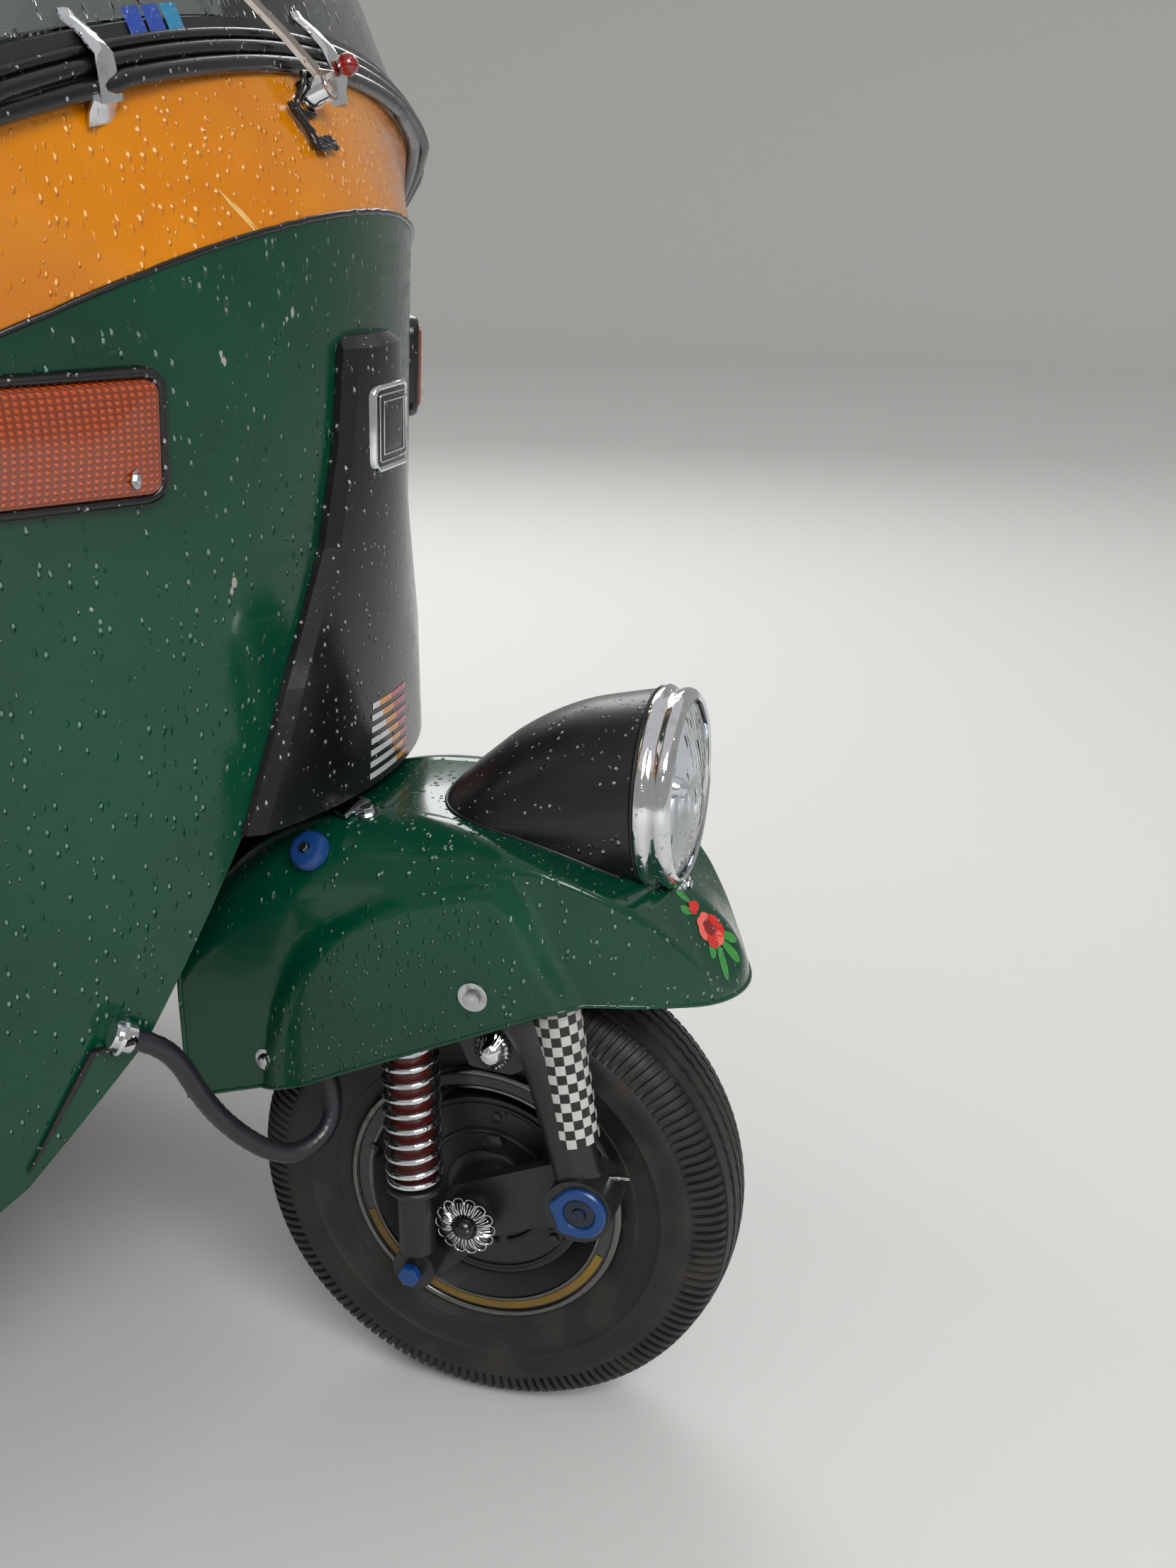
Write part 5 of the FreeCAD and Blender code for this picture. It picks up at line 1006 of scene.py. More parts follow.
def pod_at(y):
    """The housing's half width, top and middle height at y."""
    return [between([(row[0], row[k]) for row in POD], y) for k in (1, 2, 3)]


def lamp_pod():
    """The moulded lamp housing that widens as it settles on the mudguard's crown."""
    rows = []
    for y in [-132, -131, -129] + [-126 + 6 * k for k in range(26)] + [27, 29, 31, 32.6, 33.8, 34.6, 35.1]:
        half, top, middle = pod_at(y)
        row = []
        for turn in turns(96):
            x = half * math.cos(turn)
            z = middle + (top - middle) * math.sin(turn)
            share = min(1.0, abs(x) / GUARD_HALF)
            seat = crown_z(y, CREST_TIP) - 4 * share ** 2 - 1.2
            row.append(Vector((x, FRONT * 1000 + y, max(z, seat) if y > -119 else z)) / 1000)
        rows.append(row)
    bm = bmesh.new()
    strip(bm, rows, closed=True, capped=True)
    piece("lamp_housing", bm, POD_PLASTIC, "steering", 40, ["headlamp_shell"])
    bm = bmesh.new()
    bead = []
    for step in range(61):
        y = -118 + 153 * math.sin(math.pi / 2 * step / 60)
        half, top, middle = pod_at(y)
        seat = crown_z(y, CREST_TIP)
        for _ in range(4):
            share = (seat - middle) / (top - middle)
            x = half * math.sqrt(max(0.0, 1 - min(1.0, abs(share)) ** 2))
            seat = crown_z(y, CREST_TIP) - 4 * (x / GUARD_HALF) ** 2
        bead.append((x, y, seat))
    line = [Vector((-x, FRONT * 1000 + y, z + 0.5)) / 1000 for x, y, z in bead]
    line += [Vector((x, FRONT * 1000 + y, z + 0.5)) / 1000 for x, y, z in reversed(bead[:-1])]
    tube(bm, line, 0.0013, 8)
    piece("lamp_housing_seal", bm, TRIM, "steering", 60)


def decal(name, tree, centre, normal, up, shapes, look_of, body):
    """Lays flat outlines, in millimetres, on a surface as thin printed film."""
    normal = Vector(normal).normalized()
    across = Vector(up).cross(normal).normalized()
    rise = normal.cross(across)
    for key in sorted({entry[0] for entry in shapes}):
        bm = bmesh.new()
        for entry, lift, outline in shapes:
            if entry != key:
                continue
            middle = [sum(p[k] for p in outline) / len(outline) for k in (0, 1)]
            rings = []
            for share in (0.0, 0.35, 0.7, 1.0):
                row = []
                for a, b in outline:
                    a = middle[0] + (a - middle[0]) * share
                    b = middle[1] + (b - middle[1]) * share
                    start = Vector(centre) + across * a / 1000 + rise * b / 1000 + normal * 0.05
                    found, facing = hit(tree, start, -normal)
                    if found is None:
                        found, facing = start - normal * 0.05, normal
                    row.append(found + facing * (0.0003 + lift * 0.00012))
                rings.append(row)
            strip(bm, rings, closed=True)
        bmesh.ops.remove_doubles(bm, verts=bm.verts, dist=1e-6)
        piece(name + "_" + key, bm, look_of[key], body, 60)


def petal(reach, wide, turn, at=(0, 0), steps=16):
    """A leaf or petal outline from its root at the given point, pointing along turn."""
    outline = []
    for share in turns(steps):
        u = reach * (0.5 - 0.5 * math.cos(share))
        v = 0.5 * wide * math.sin(share) * (0.75 + 0.5 * u / reach)
        outline.append((at[0] + u * math.cos(turn) - v * math.sin(turn),
                        at[1] + u * math.sin(turn) + v * math.cos(turn)))
    return outline


def tree_of(made):
    data = made.data
    return BVHTree.FromPolygons([v.co.copy() for v in data.vertices],
                                [list(p.vertices) for p in data.polygons])


def flower(guard):
    """A printed flower with leaves on the mudguard's beak."""
    shapes = []
    for index, turn in enumerate((70, 20, 120, -30, 165, 230, 285)):
        shapes.append(("petals" if index % 2 else "petals_light", index % 3 + 1,
                       petal(15, 12, math.radians(turn), (0, 6))))
    for turn in (60, 120, 180, 250, 320):
        shapes.append(("heart", 5, petal(7, 6, math.radians(turn), (0, 8))))
    for turn in (95, 45, 150):
        shapes.append(("petals", 4, petal(9, 7, math.radians(turn), (1, 24))))
    for turn, at, reach in ((250, (-2, -4), 30), (285, (3, -4), 26), (225, (-4, 2), 18), (310, (6, 0), 20),
                            (100, (2, 32), 14), (140, (-4, 26), 13)):
        shapes.append(("leaves", 0, petal(reach, 8, math.radians(turn), at)))
    looks = {"petals": FLOWER_RED, "petals_light": FLOWER_PINK, "heart": FLOWER_DEEP, "leaves": FLOWER_LEAF}
    tree = tree_of(guard)
    place, normal = hit(tree, (-0.020, FRONT - 0.32, 0.52), (0, 0.78, -0.36))
    decal("flower", tree, place, normal, (0, 0.6, 1), shapes, looks, "steering")


def printed(name, colour, wet=True):
    """Glossy printed film."""
    look = Look(name, colour, rough=0.28, Coat_Weight=0.5, Coat_Roughness=0.08)
    worn = look.step(look.noise(420, 3.0), 0.6, 0.66)
    pale = tuple(0.6 * c + 0.25 for c in colour[:3]) + (1.0,)
    look.set("Base Color", look.mix(look.math("MULTIPLY", worn, 0.45), colour, pale))
    look.raise_by(look.noise(600, 2.0), 0.00004)
    if wet:
        look.drops()
    return look.mat


POD_PLASTIC = black("lamp_housing_plastic", srgb(15, 14, 17), rough=0.46, grain=640, depth=0.00005, wet=True,
                    dirt=0.15)
FLOWER_RED = printed("flower_red", srgb(196, 26, 18))
FLOWER_PINK = printed("flower_pink", srgb(226, 96, 84))
FLOWER_DEEP = printed("flower_deep", srgb(120, 8, 12))
FLOWER_LEAF = printed("flower_leaf", srgb(46, 132, 52))


# The nose's fittings. Outlines are laid on the panels by rays from the front.
def rounded_outline(half_wide, half_high, radius, steps=9):
    radius = max(0.2, min(radius, half_wide, half_high))
    points = []
    for corner, (sx, sz) in enumerate(((1, 1), (-1, 1), (-1, -1), (1, -1))):
        for step in range(steps):
            turn = math.pi / 2 * (corner + step / (steps - 1))
            points.append((sx * (half_wide - radius) + radius * math.cos(turn),
                           sz * (half_high - radius) + radius * math.sin(turn)))
    return points


def laid(tree, x, z, lift, away=(0, -1, 0)):
    """A point on the skin behind (x, z), in millimetres, lifted along the skin's normal or along away."""
    found, normal = hit(tree, (x / 1000, FRONT - 0.4, z / 1000), (0, 1, 0))
    if found is None:
        found, normal, _, _ = tree.find_nearest(Vector((x / 1000, FRONT + 0.15, z / 1000)))
    if normal.y > 0:
        normal = -normal
    out = normal if away is None else Vector(away)
    return found + out * (lift / 1000)


INDICATOR = (273.0, 848.0, 70.0, 43.0, 16.0)


def indicators():
    """Each indicator's black frame with rounded lips, and its amber lens with moulded prisms."""
    nose = skin_of("front_panel")
    cx, cz, half_wide, half_high, radius = INDICATOR
    for hand, side in ((-1, "right"), (1, "left")):
        def ring(inset, lift):
            return [laid(nose, hand * (cx + a), cz + b, lift, None)
                    for a, b in rounded_outline(half_wide - inset, half_high - inset, radius - inset)]
        bm = bmesh.new()
        frame_rows = [ring(0.0, -1.5), ring(0.0, 5.0), ring(0.8, 8.6), ring(2.4, 10.6), ring(4.6, 11.0),
                      ring(6.4, 10.2), ring(7.6, 8.4), ring(8.6, 7.2)]
        strip(bm, frame_rows, closed=True)
        piece("indicator_frame_" + side, bm, WET_RUBBER, "root", 55,
              ["front_indicators"])
        bm = bmesh.new()
        lens_rows = [ring(7.4, 6.5), ring(7.6, 11.6), ring(8.6, 13.4), ring(10.4, 14.0)]
        for inset in (14, 18, 22, 26, 30, 34, 38, 41.5):
            lens_rows.append(ring(inset, 14.2 + 1.2 * math.sin(math.pi / 2 * inset / 42)))
        strip(bm, lens_rows, closed=True, capped=True)
        piece("indicator_lens_" + side, bm, AMBER, "root", 40)
        bm = bmesh.new()
        for along_x in (-46, 46):
            spot = laid(nose, hand * (cx + along_x), cz - 24, 15.2, None)
            bolt(bm, spot, (0, -1, 0), 0.0035, 0.0022)
        piece("indicator_screws_" + side, bm, BRIGHT, "root", 35)


WET_RUBBER = black("wet_rubber", srgb(14, 14, 16), rough=0.3, grain=300, depth=0.0001, wet=True, dirt=0.2)


def cover_trim():
    """Seven reflective stripes and the blank badge with its chrome frame, on the column cover."""
    cover = skin_of("column_cover")
    looks = (STRIPE_WHITE, STRIPE_AMBER, STRIPE_PINK)
    for part, (name, look) in enumerate(zip(("white", "amber", "pink"), looks)):
        bm = bmesh.new()
        for row in range(7):
            z = 562 + 9.3 * row
            white_end = 12 - 5.5 * row
            amber_end = 30 - 5 * row
            spans = ((-37 + 0.8 * row, white_end), (white_end, amber_end), (amber_end, 37 - 0.8 * row))
            low, high = spans[part]
            if high - low < 1:
                continue
            rows = []
            for rise in (0.0, 4.9):
                rows.append([laid(cover, low + (high - low) * k / 14, z + rise, 0.35) for k in range(15)])
            strip(bm, rows)
        piece("cover_stripes_" + name, bm, look, "root", 60)

    def ring(inset, lift):
        return [laid(cover, a, 829 + b, lift)
                for a, b in rounded_outline(31 - inset, 31.5 - inset, 9 - inset, 7)]
    bm = bmesh.new()
    strip(bm, [ring(0, -1), ring(0, 2.4), ring(0.7, 3.8), ring(2.0, 4.4), ring(3.4, 4.0), ring(4.2, 2.8)],
          closed=True)
    piece("badge_frame", bm, CHROME, "root", 50)
    bm = bmesh.new()
    rows = [ring(inset, 2.9 + 0.25 * math.sin(inset)) for inset in (3.8, 8, 12, 16, 20, 24, 28, 30.2)]
    strip(bm, rows, closed=True, capped=True)
    piece("badge_plate", bm, BADGE, "root", 60)
    bm = bmesh.new()
    for inset in (7.5, 12.5):
        tube(bm, ring(inset, 3.3), 0.0007, 6, closed=True)
    piece("badge_border", bm, BRIGHT, "root", 60)


STRIPE_WHITE = printed("stripe_white", srgb(206, 206, 208))
STRIPE_AMBER = printed("stripe_amber", srgb(214, 138, 36))
STRIPE_PINK = printed("stripe_pink", srgb(176, 20, 62))
BADGE = black("badge_plate", srgb(28, 28, 32), rough=0.25, wet=True)


# Soft pieces: the seats' pads, puffed up by a cloth simulation, and the canvas hood.
PAD_VOXEL = 0.0085
PAD_PRESSURE = 4.0
CLOTH_FRAMES = 20


def pad(name, node, rest_axis, rest_low, seams, swell):
    """One stuffed pad in its CAD solid's place. rest_axis and rest_low say which side lies on its board.
    seams are (axis, place) lines where the cover is sewn down, in metres."""
    low, high = (Vector(v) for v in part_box(node))
    middle = (low + high) / 2
    size = high - low
    inner = Vector(tuple(size[k] - 2 * swell * (1.0 if k != rest_axis else 0.5) for k in range(3)))
    centre = middle.copy()
    centre[rest_axis] += (-0.5 if rest_low else 0.5) * swell
    bm = bmesh.new()
    bmesh.ops.create_cube(bm, size=1.0, matrix=Matrix.Translation(centre) @ Matrix.Diagonal((*inner, 1.0)))
    bmesh.ops.bevel(bm, geom=bm.edges[:], offset=min(inner) * 0.2, segments=4, profile=0.5, affect="EDGES")
    mesh = bpy.data.meshes.new(name)
    bm.to_mesh(mesh)
    bm.free()
    made = linked(name, mesh)
    remesh = made.modifiers.new("remesh", "REMESH")
    remesh.mode = "VOXEL"
    remesh.voxel_size = PAD_VOXEL
    flatten(made)
    base = [v.co.copy() for v in made.data.vertices]
    pins = []
    board = centre[rest_axis] + (-0.5 if rest_low else 0.5) * inner[rest_axis]
    for index, place in enumerate(base):
        if abs(place[rest_axis] - board) < 0.004:
            pins.append(index)
            continue
        away_from_board = abs(place[rest_axis] - board)
        if away_from_board < inner[rest_axis] * 0.55:
            continue
        for axis, at in seams:
            if abs(place[axis] - at) < 0.0045:
                pins.append(index)
                step = Vector((0, 0, 0))
                step[rest_axis] = -0.004 if rest_low else 0.004
                made.data.vertices[index].co = place + step
                break
    base = [v.co.copy() for v in made.data.vertices]
    group = made.vertex_groups.new(name="sewn")
    group.add(pins, 1.0, "REPLACE")
    cloth = made.modifiers.new("cloth", "CLOTH")
    for key, value in (("quality", 4), ("mass", 0.35), ("tension_stiffness", 16),
                       ("compression_stiffness", 8), ("shear_stiffness", 6), ("bending_stiffness", 0.4),
                       ("use_pressure", True), ("uniform_pressure_force", PAD_PRESSURE),
                       ("vertex_group_mass", "sewn")):
        setattr(cloth.settings, key, value)
    cloth.settings.effector_weights.gravity = 0
    cloth.collision_settings.use_collision = False
    cloth.point_cache.frame_start = 1
    cloth.point_cache.frame_end = CLOTH_FRAMES
    for number in range(1, CLOTH_FRAMES + 1):
        bpy.context.scene.frame_set(number)
    flatten(made)
    bpy.context.scene.frame_set(1)
    room_low, room_high = low + Vector((0.0004,) * 3), high - Vector((0.0004,) * 3)
    for vertex, start in zip(made.data.vertices, base):
        move = vertex.co - start
        if move.length > swell:
            move = move.normalized() * swell
        vertex.co = [min(room_high[k], max(room_low[k], start[k] + move[k])) for k in range(3)]
    finer = made.modifiers.new("finer", "SUBSURF")
    finer.levels = 1
    flatten(made)
    made.data.materials.append(VINYL)
    made.data.shade_smooth()
    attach(made, "root")
    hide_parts(node)
    return made


def flatten(made):
    """Makes the modifiers' result the piece's own mesh."""
    graph = bpy.context.evaluated_depsgraph_get()
    graph.update()
    fresh = bpy.data.meshes.new_from_object(made.evaluated_get(graph))
    made.modifiers.clear()
    made.vertex_groups.clear()
    made.data = fresh


def piping(name, made, axis, level):
    """A sewn cord round a pad, at one level across the given axis, laid on the finished surface."""
    tree = tree_of(made)
    data = [v.co for v in made.data.vertices]
    low = Vector(tuple(min(p[k] for p in data) for k in range(3)))
    high = Vector(tuple(max(p[k] for p in data) for k in range(3)))
    middle = (low + high) / 2
    others = [k for k in range(3) if k != axis]
    half = [(high[k] - low[k]) / 2 for k in others]
    bm = bmesh.new()
    points = []
    for turn in turns(220):
        out = Vector((0, 0, 0))
        c, s = math.cos(turn), math.sin(turn)
        reach = 1 / max(abs(c) / half[0], abs(s) / half[1])
        out[others[0]], out[others[1]] = c * reach, s * reach
        start = middle + out * 1.3
        start[axis] = level
        aim = middle.copy()
        aim[others[0]] += out[others[0]] * 0.6
        aim[others[1]] += out[others[1]] * 0.6
        aim[axis] = level
        found, facing = hit(tree, start, aim - start)
        if found is not None:
            points.append(found + facing * (PIPING_RADIUS * 0.3))
    tube(bm, points, PIPING_RADIUS, 8, closed=True)
    piece(name, bm, PIPING, "root", 60)


PIPING = black("piping_vinyl", srgb(58, 60, 70), rough=0.4, grain=400, depth=0.0001)
PIPING_RADIUS = 0.0026

# Each pad: CAD node, the axis that it rests on, its seams as (axis, place), how far it swells, and its
# pipings as (name, height above its low side, or below its high side where negative)
BENCH_SEAMS = [(0, -0.31), (0, -0.155), (0, 0.0), (0, 0.155), (0, 0.31)]
SEATS = [
    ("driver_seat_pad", "driver_cushion", 2, [(0, -0.10), (0, 0.10), (0, -0.2), (0, 0.2), (0, 0.0)], 0.018,
     (("driver_seat_piping", -0.024), ("driver_seat_lower_piping", 0.014))),
    ("driver_back_pad", "driver_backrest", 1, [(0, -0.15), (0, 0.0), (0, 0.15), (2, 0.96), (2, 1.07)], 0.014,
     (("driver_back_piping", 0.016),)),
    ("bench_pad", "passenger_cushion", 2, BENCH_SEAMS, 0.018,
     (("bench_piping", -0.024), ("bench_lower_piping", 0.014))),
    ("bench_back_pad", "passenger_backrest", 1, BENCH_SEAMS + [(2, 0.80)], 0.014,
     (("bench_back_piping", 0.018),)),
]


def seats():
    for name, node, axis, seams, swell, pipings in SEATS:
        made = pad(name, node, axis, axis == 2, seams, swell)
        low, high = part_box(node)
        for label, offset in pipings:
            piping(label, made, axis, (high if offset < 0 else low)[axis] + offset)


# The hood's outline in millimetres, the same numbers as its CAD solid.
HOOD = {"half": 612, "round": 95, "front": -800, "top": 1704, "rear": 1205, "break": (1120, 1260),
        "bend": 720, "foot": 905.3, "rail": 1560, "door": 330}
HOOD_BOWS = (-0.10, 0.18)
HOOD_MIDDLE = Vector((0, 0.1, 1.25))


def arc_points(start, heading, end, steps):
    """Points of the arc that leaves start along heading and meets end."""
    start, end, heading = Vector(start), Vector(end), Vector(heading).normalized()
    chord = end - start
    normal = Vector((-heading.y, heading.x))
    if normal.dot(chord) < 0:
        normal = -normal
    radius = chord.length_squared / (2 * normal.dot(chord))
    hub = start + normal * radius
    first = start - hub
    total = 2 * math.asin(min(1.0, chord.length / (2 * radius)))
    sign = 1 if first.x * heading.y - first.y * heading.x > 0 else -1
    out = []
    for step in range(1, steps + 1):
        turn = sign * total * step / steps
        out.append(hub + Vector((first.x * math.cos(turn) - first.y * math.sin(turn),
                                 first.x * math.sin(turn) + first.y * math.cos(turn))))
    return out


def hood_line(inset):
    """The hood's side view from its front edge over the roof to its foot behind, as (y, z) points."""
    front, top, bend = HOOD["front"] + inset, HOOD["top"] - inset, HOOD["bend"]
    share = (HOOD["rail"] - HOOD["foot"]) / (top - 70 - HOOD["foot"])
    points = [Vector((front + 25 * share, HOOD["rail"])), Vector((front + 25, top - 70))]
    brow = arc_points((front + 560, top), (-1, 0), (front + 25, top - 70), 24)
    points += list(reversed(brow[:-1])) + [Vector((front + 560, top)), Vector((bend - 260, top - 6))]
    points += arc_points((bend - 260, top - 6), (1, 0), (bend + 30, top - 92), 20)
    points += [Vector((HOOD["break"][0] - inset, HOOD["break"][1] - inset)),
               Vector((HOOD["rear"] - inset, HOOD["foot"]))]
    rounded_line = spaced([Vector((p.x, p.y, 0)) for p in points], 150)
    for _ in range(3):
        for index in range(1, len(rounded_line) - 1):
            mean = (rounded_line[index - 1] + rounded_line[index + 1]) / 2
            if rounded_line[index].y < 1540:
                rounded_line[index] = rounded_line[index].lerp(mean, 0.5)
    return rounded_line


def hood_sheet():
    """The canvas as one sheet over its bows, pulled tight across the roof and slack at its sides."""
    half, radius = HOOD["half"], HOOD["round"]
    base = [Vector((HOOD["front"] + radius + 20, HOOD["rail"], 0)), Vector((HOOD["door"], HOOD["rail"], 0)),
            Vector((HOOD["door"], HOOD["foot"], 0)), Vector((HOOD["rear"] - radius, HOOD["foot"], 0))]
    crest = hood_line(0)
    edge = hood_line(radius)
    count = len(crest) - 1
    door_at = max(range(count), key=lambda k: -abs(edge[k].x - HOOD["door"]) if edge[k].y > 1500 else -9e9)
    foot_at = int(door_at + (count - door_at) * 0.55)
    lower = []
    for index in range(count + 1):
        if index <= door_at:
            lower.append(base[0].lerp(base[1], index / door_at))
        elif index <= foot_at:
            lower.append(base[1].lerp(base[2], (index - door_at) / (foot_at - door_at)))
        else:
            lower.append(base[2].lerp(base[3], (index - foot_at) / (count - foot_at)))
    side_steps, turn_steps, roof_steps = 22, 7, 44
    across = [("side", k / side_steps) for k in range(side_steps)]
    across += [("turn", k / turn_steps) for k in range(turn_steps + 1)]
    across += [("roof", -1 + 2 * k / roof_steps) for k in range(1, roof_steps)]
    rows = []
    for index in range(count + 1):
        row = []
        lines = {}
        for step in range(turn_steps + 1):
            angle = math.pi / 2 * step / turn_steps
            drop = radius * (1 - math.sin(angle))
            lines[step] = (half - radius * (1 - math.cos(angle)),
                           crest[index].lerp(edge[index], drop / radius))
        for kind, share in across:
            if kind == "side":
                place = lower[index].lerp(edge[index], share)
                row.append(Vector((-half, place.x, place.y)))
            elif kind == "turn":
                x, place = lines[round(share * turn_steps)]
                row.append(Vector((-x, place.x, place.y)))
            else:
                row.append(Vector(((half - radius) * share, crest[index].x, crest[index].y)))
        edge_row = row[:side_steps + turn_steps + 1]
        rows.append(row + [Vector((-p.x, p.y, p.z)) for p in reversed(edge_row)])
    middle = Vector((0, 100, 1250))
    for r, row in enumerate(rows):
        for c, place in enumerate(row):
            slack = min(c, len(row) - 1 - c)
            at = place / 1000
            sag = 0.0
            if place.z > 1640 and abs(place.x) < half - radius:
                near = min(abs(at.y - bow) for bow in HOOD_BOWS)
                wide = 1 - (abs(place.x) / (half - radius)) ** 4
                sag = 9 * wide * ease(near, 0.0, 0.2)
            ripple = math.sin(at.y * 21 + 1.7 * math.sin(at.z * 9)) * math.sin(at.z * 5 + at.y * 3 + 1)
            fine = math.sin(at.y * 47 + at.x * 13 + 2 * math.sin(at.x * 11)) * math.sin(at.x * 29 + at.z * 17)
            weight = ease(slack, 0, 6) * ease(min(r, count - r), 0, 9)
            inward = (middle - place).normalized()
            slackness = 1 if abs(place.x) > half - 2 else 0.35
            wave = 3.2 * (1 + ripple) * weight * slackness + 0.9 * (1 + fine) * weight
            rows[r][c] = (place + inward * (wave + 0.6) + Vector((0, 0, -sag))) / 1000
    return rows


def shell(bm, thickness, middle):
    """Gives an open skin its thickness toward middle, and closes it along its open edges."""
    bm.normal_update()
    faces = list(bm.faces)
    rims = [loop for face in faces for loop in face.loops if len(loop.edge.link_faces) == 1]
    rims = [(loop.vert, loop.link_loop_next.vert) for loop in rims]
    copies = {}
    for vert in list(bm.verts):
        toward = 1 if vert.normal.dot(middle - vert.co) > 0 else -1
        copies[vert] = bm.verts.new(vert.co + vert.normal * (thickness * toward))
    for face in faces:
        bm.faces.new([copies[vert] for vert in reversed(face.verts)])
    for a, b in rims:
        bm.faces.new((b, a, copies[a], copies[b]))
    bmesh.ops.recalc_face_normals(bm, faces=bm.faces)


def hood():
    """The canvas with its hems, seams, rear window, straps and buckles."""
    rows = hood_sheet()
    bm = bmesh.new()
    strip(bm, rows)
    bmesh.ops.remove_doubles(bm, verts=bm.verts, dist=0.0016)
    gone = []
    for face in bm.faces:
        centre = face.calc_center_median()
        if centre.y > 0.8 and abs(centre.x) < 0.262 and 1.288 < centre.z < 1.472:
            gone.append(face)
    bmesh.ops.delete(bm, geom=gone, context="FACES")
    bmesh.ops.remove_doubles(bm, verts=bm.verts, dist=1e-5)
    area = sum(face.calc_area() for face in bm.faces)
    shell(bm, 0.0012, HOOD_MIDDLE)
    made = piece("hood_cloth", bm, CANVAS, "root", 60, ["hood_canvas"])
    hems = bmesh.new()
    for line in ([row[0] for row in rows], [row[-1] for row in rows], rows[0], rows[-1]):
        tube(hems, spaced(line, 180), 0.0045, 8)
    back = tree_of(made)

    def around(inset, lift, steps=8):
        points = []
        for a, b in rounded_outline(264 - inset, 94 - inset, 40 - inset * 0.5, steps):
            start = Vector((a / 1000, 1.6, (1380 + b) / 1000))
            plane = HOOD_BACK[0] + (HOOD_BACK[1] - HOOD_BACK[0]) * ((start.z - HOOD_BACK[0].z)
                                                                    / (HOOD_BACK[1].z - HOOD_BACK[0].z))
            points.append(Vector((start.x, plane.y - 0.0035, start.z)) + HOOD_OUT * (lift / 1000))
        return points
    window = bmesh.new()
    strip(window, [around(-14, -3), around(-14, 1.0), around(-12, 2.2), around(4, 2.4), around(24, 2.2),
                   around(26, 1.0), around(26, -3)], closed=True)
    for inset in (-9, 20):
        tube(window, around(inset, 2.8), 0.0011, 6, closed=True)
    binding = piece("hood_window_binding", window, SEAM, "root", 50)
    pane = bmesh.new()
    strip(pane, [around(inset, 0.4 - 2.6 * math.sin(math.pi / 2 * inset / 92)) for inset in
                 (22, 34, 46, 58, 70, 82, 91)], closed=True, capped=True)
    piece("hood_window_pane", pane, PANE, "root", 60)
    straps = bmesh.new()
    buckles = bmesh.new()
    side = skin_of("rear_body")
    for hand in (-1, 1):
        for y in (0.42, 0.66, 0.90):
            rows_of_strap = []
            for z, lift in ((0.985, 0.003), (0.94, 0.0045), (0.905, 0.006), (0.87, 0.007), (0.845, 0.0065)):
                under = [hit(tree, (hand * 1.2, y, z), (-hand, 0, 0))[0] for tree in (back, side)]
                x = hand * (max(abs(found.x) for found in under if found is not None) + lift)
                rows_of_strap.append([Vector((x, y + d, z)) for d in (-0.0125, 0.0125)])
            strip(straps, rows_of_strap)
            base, _ = hit(side, (hand * 1.2, y, 0.862), (-hand, 0, 0))
            slab(buckles, base + Vector((hand * 0.0085, 0, 0)), (hand, 0, 0), (0.034, 0.022, 0.003), 0.001)
    bmesh.ops.solidify(straps, geom=straps.faces[:], thickness=0.002)
    strap = piece("hood_straps", straps, TRIM, "root", 40)
    piece("hood_buckles", buckles, BRIGHT, "root", 30)
    hem = piece("hood_hems", hems, CANVAS, "root", 60)
    seams = bmesh.new()
    for c in (len(rows[0]) // 2 - 14, len(rows[0]) // 2 + 14, 27, len(rows[0]) - 28):
        line = [row[c] for row in rows]
        for shift in (-0.004, 0.004):
            tube(seams, [p + (p - HOOD_MIDDLE).normalized() * 0.0013 + Vector((shift, 0, 0)) for p in line],
                 0.0011, 6)
    seam = piece("hood_seams", seams, SEAM, "root", 60)


HOOD_BACK = (Vector((0, 1.120, 1.260)), Vector((0, 0.750, 1.612)))
HOOD_OUT = Vector((0, 0.352, 0.370)).normalized()
PANE = clear("window_film", srgb(214, 220, 214), rough=0.12, wet=False)
SEAM = canvas("hood_seam_thread", srgb(120, 82, 22), srgb(98, 66, 20))


# Trim on the nose and the windscreen. x, z and lifts are millimetres.
def edge_between(lower, upper, x, low, high):
    """The height at which rays from the front stop meeting lower and meet upper."""
    for _ in range(14):
        middle = (low + high) / 2
        start = (x / 1000, FRONT - 0.4, middle / 1000)
        a, _ = hit(lower, start, (0, 1, 0))
        b, _ = hit(upper, start, (0, 1, 0))
        if a is not None and (b is None or a.y < b.y):
            low = middle
        else:
            high = middle
    return (low + high) / 2


SEAL_HALF = 440
# A clip seen from above its edge: rise above the band, lift off the skin, half width
CLIP = [(45, 3, 6.5), (40, 4, 7.5), (30, 4.5, 8), (26, 6, 9), (18, 9.5, 10), (4, 11.5, 12), (-4, 9, 14),
        (-10, 4, 15), (-16, 2.2, 15), (-17, 1.2, 15)]


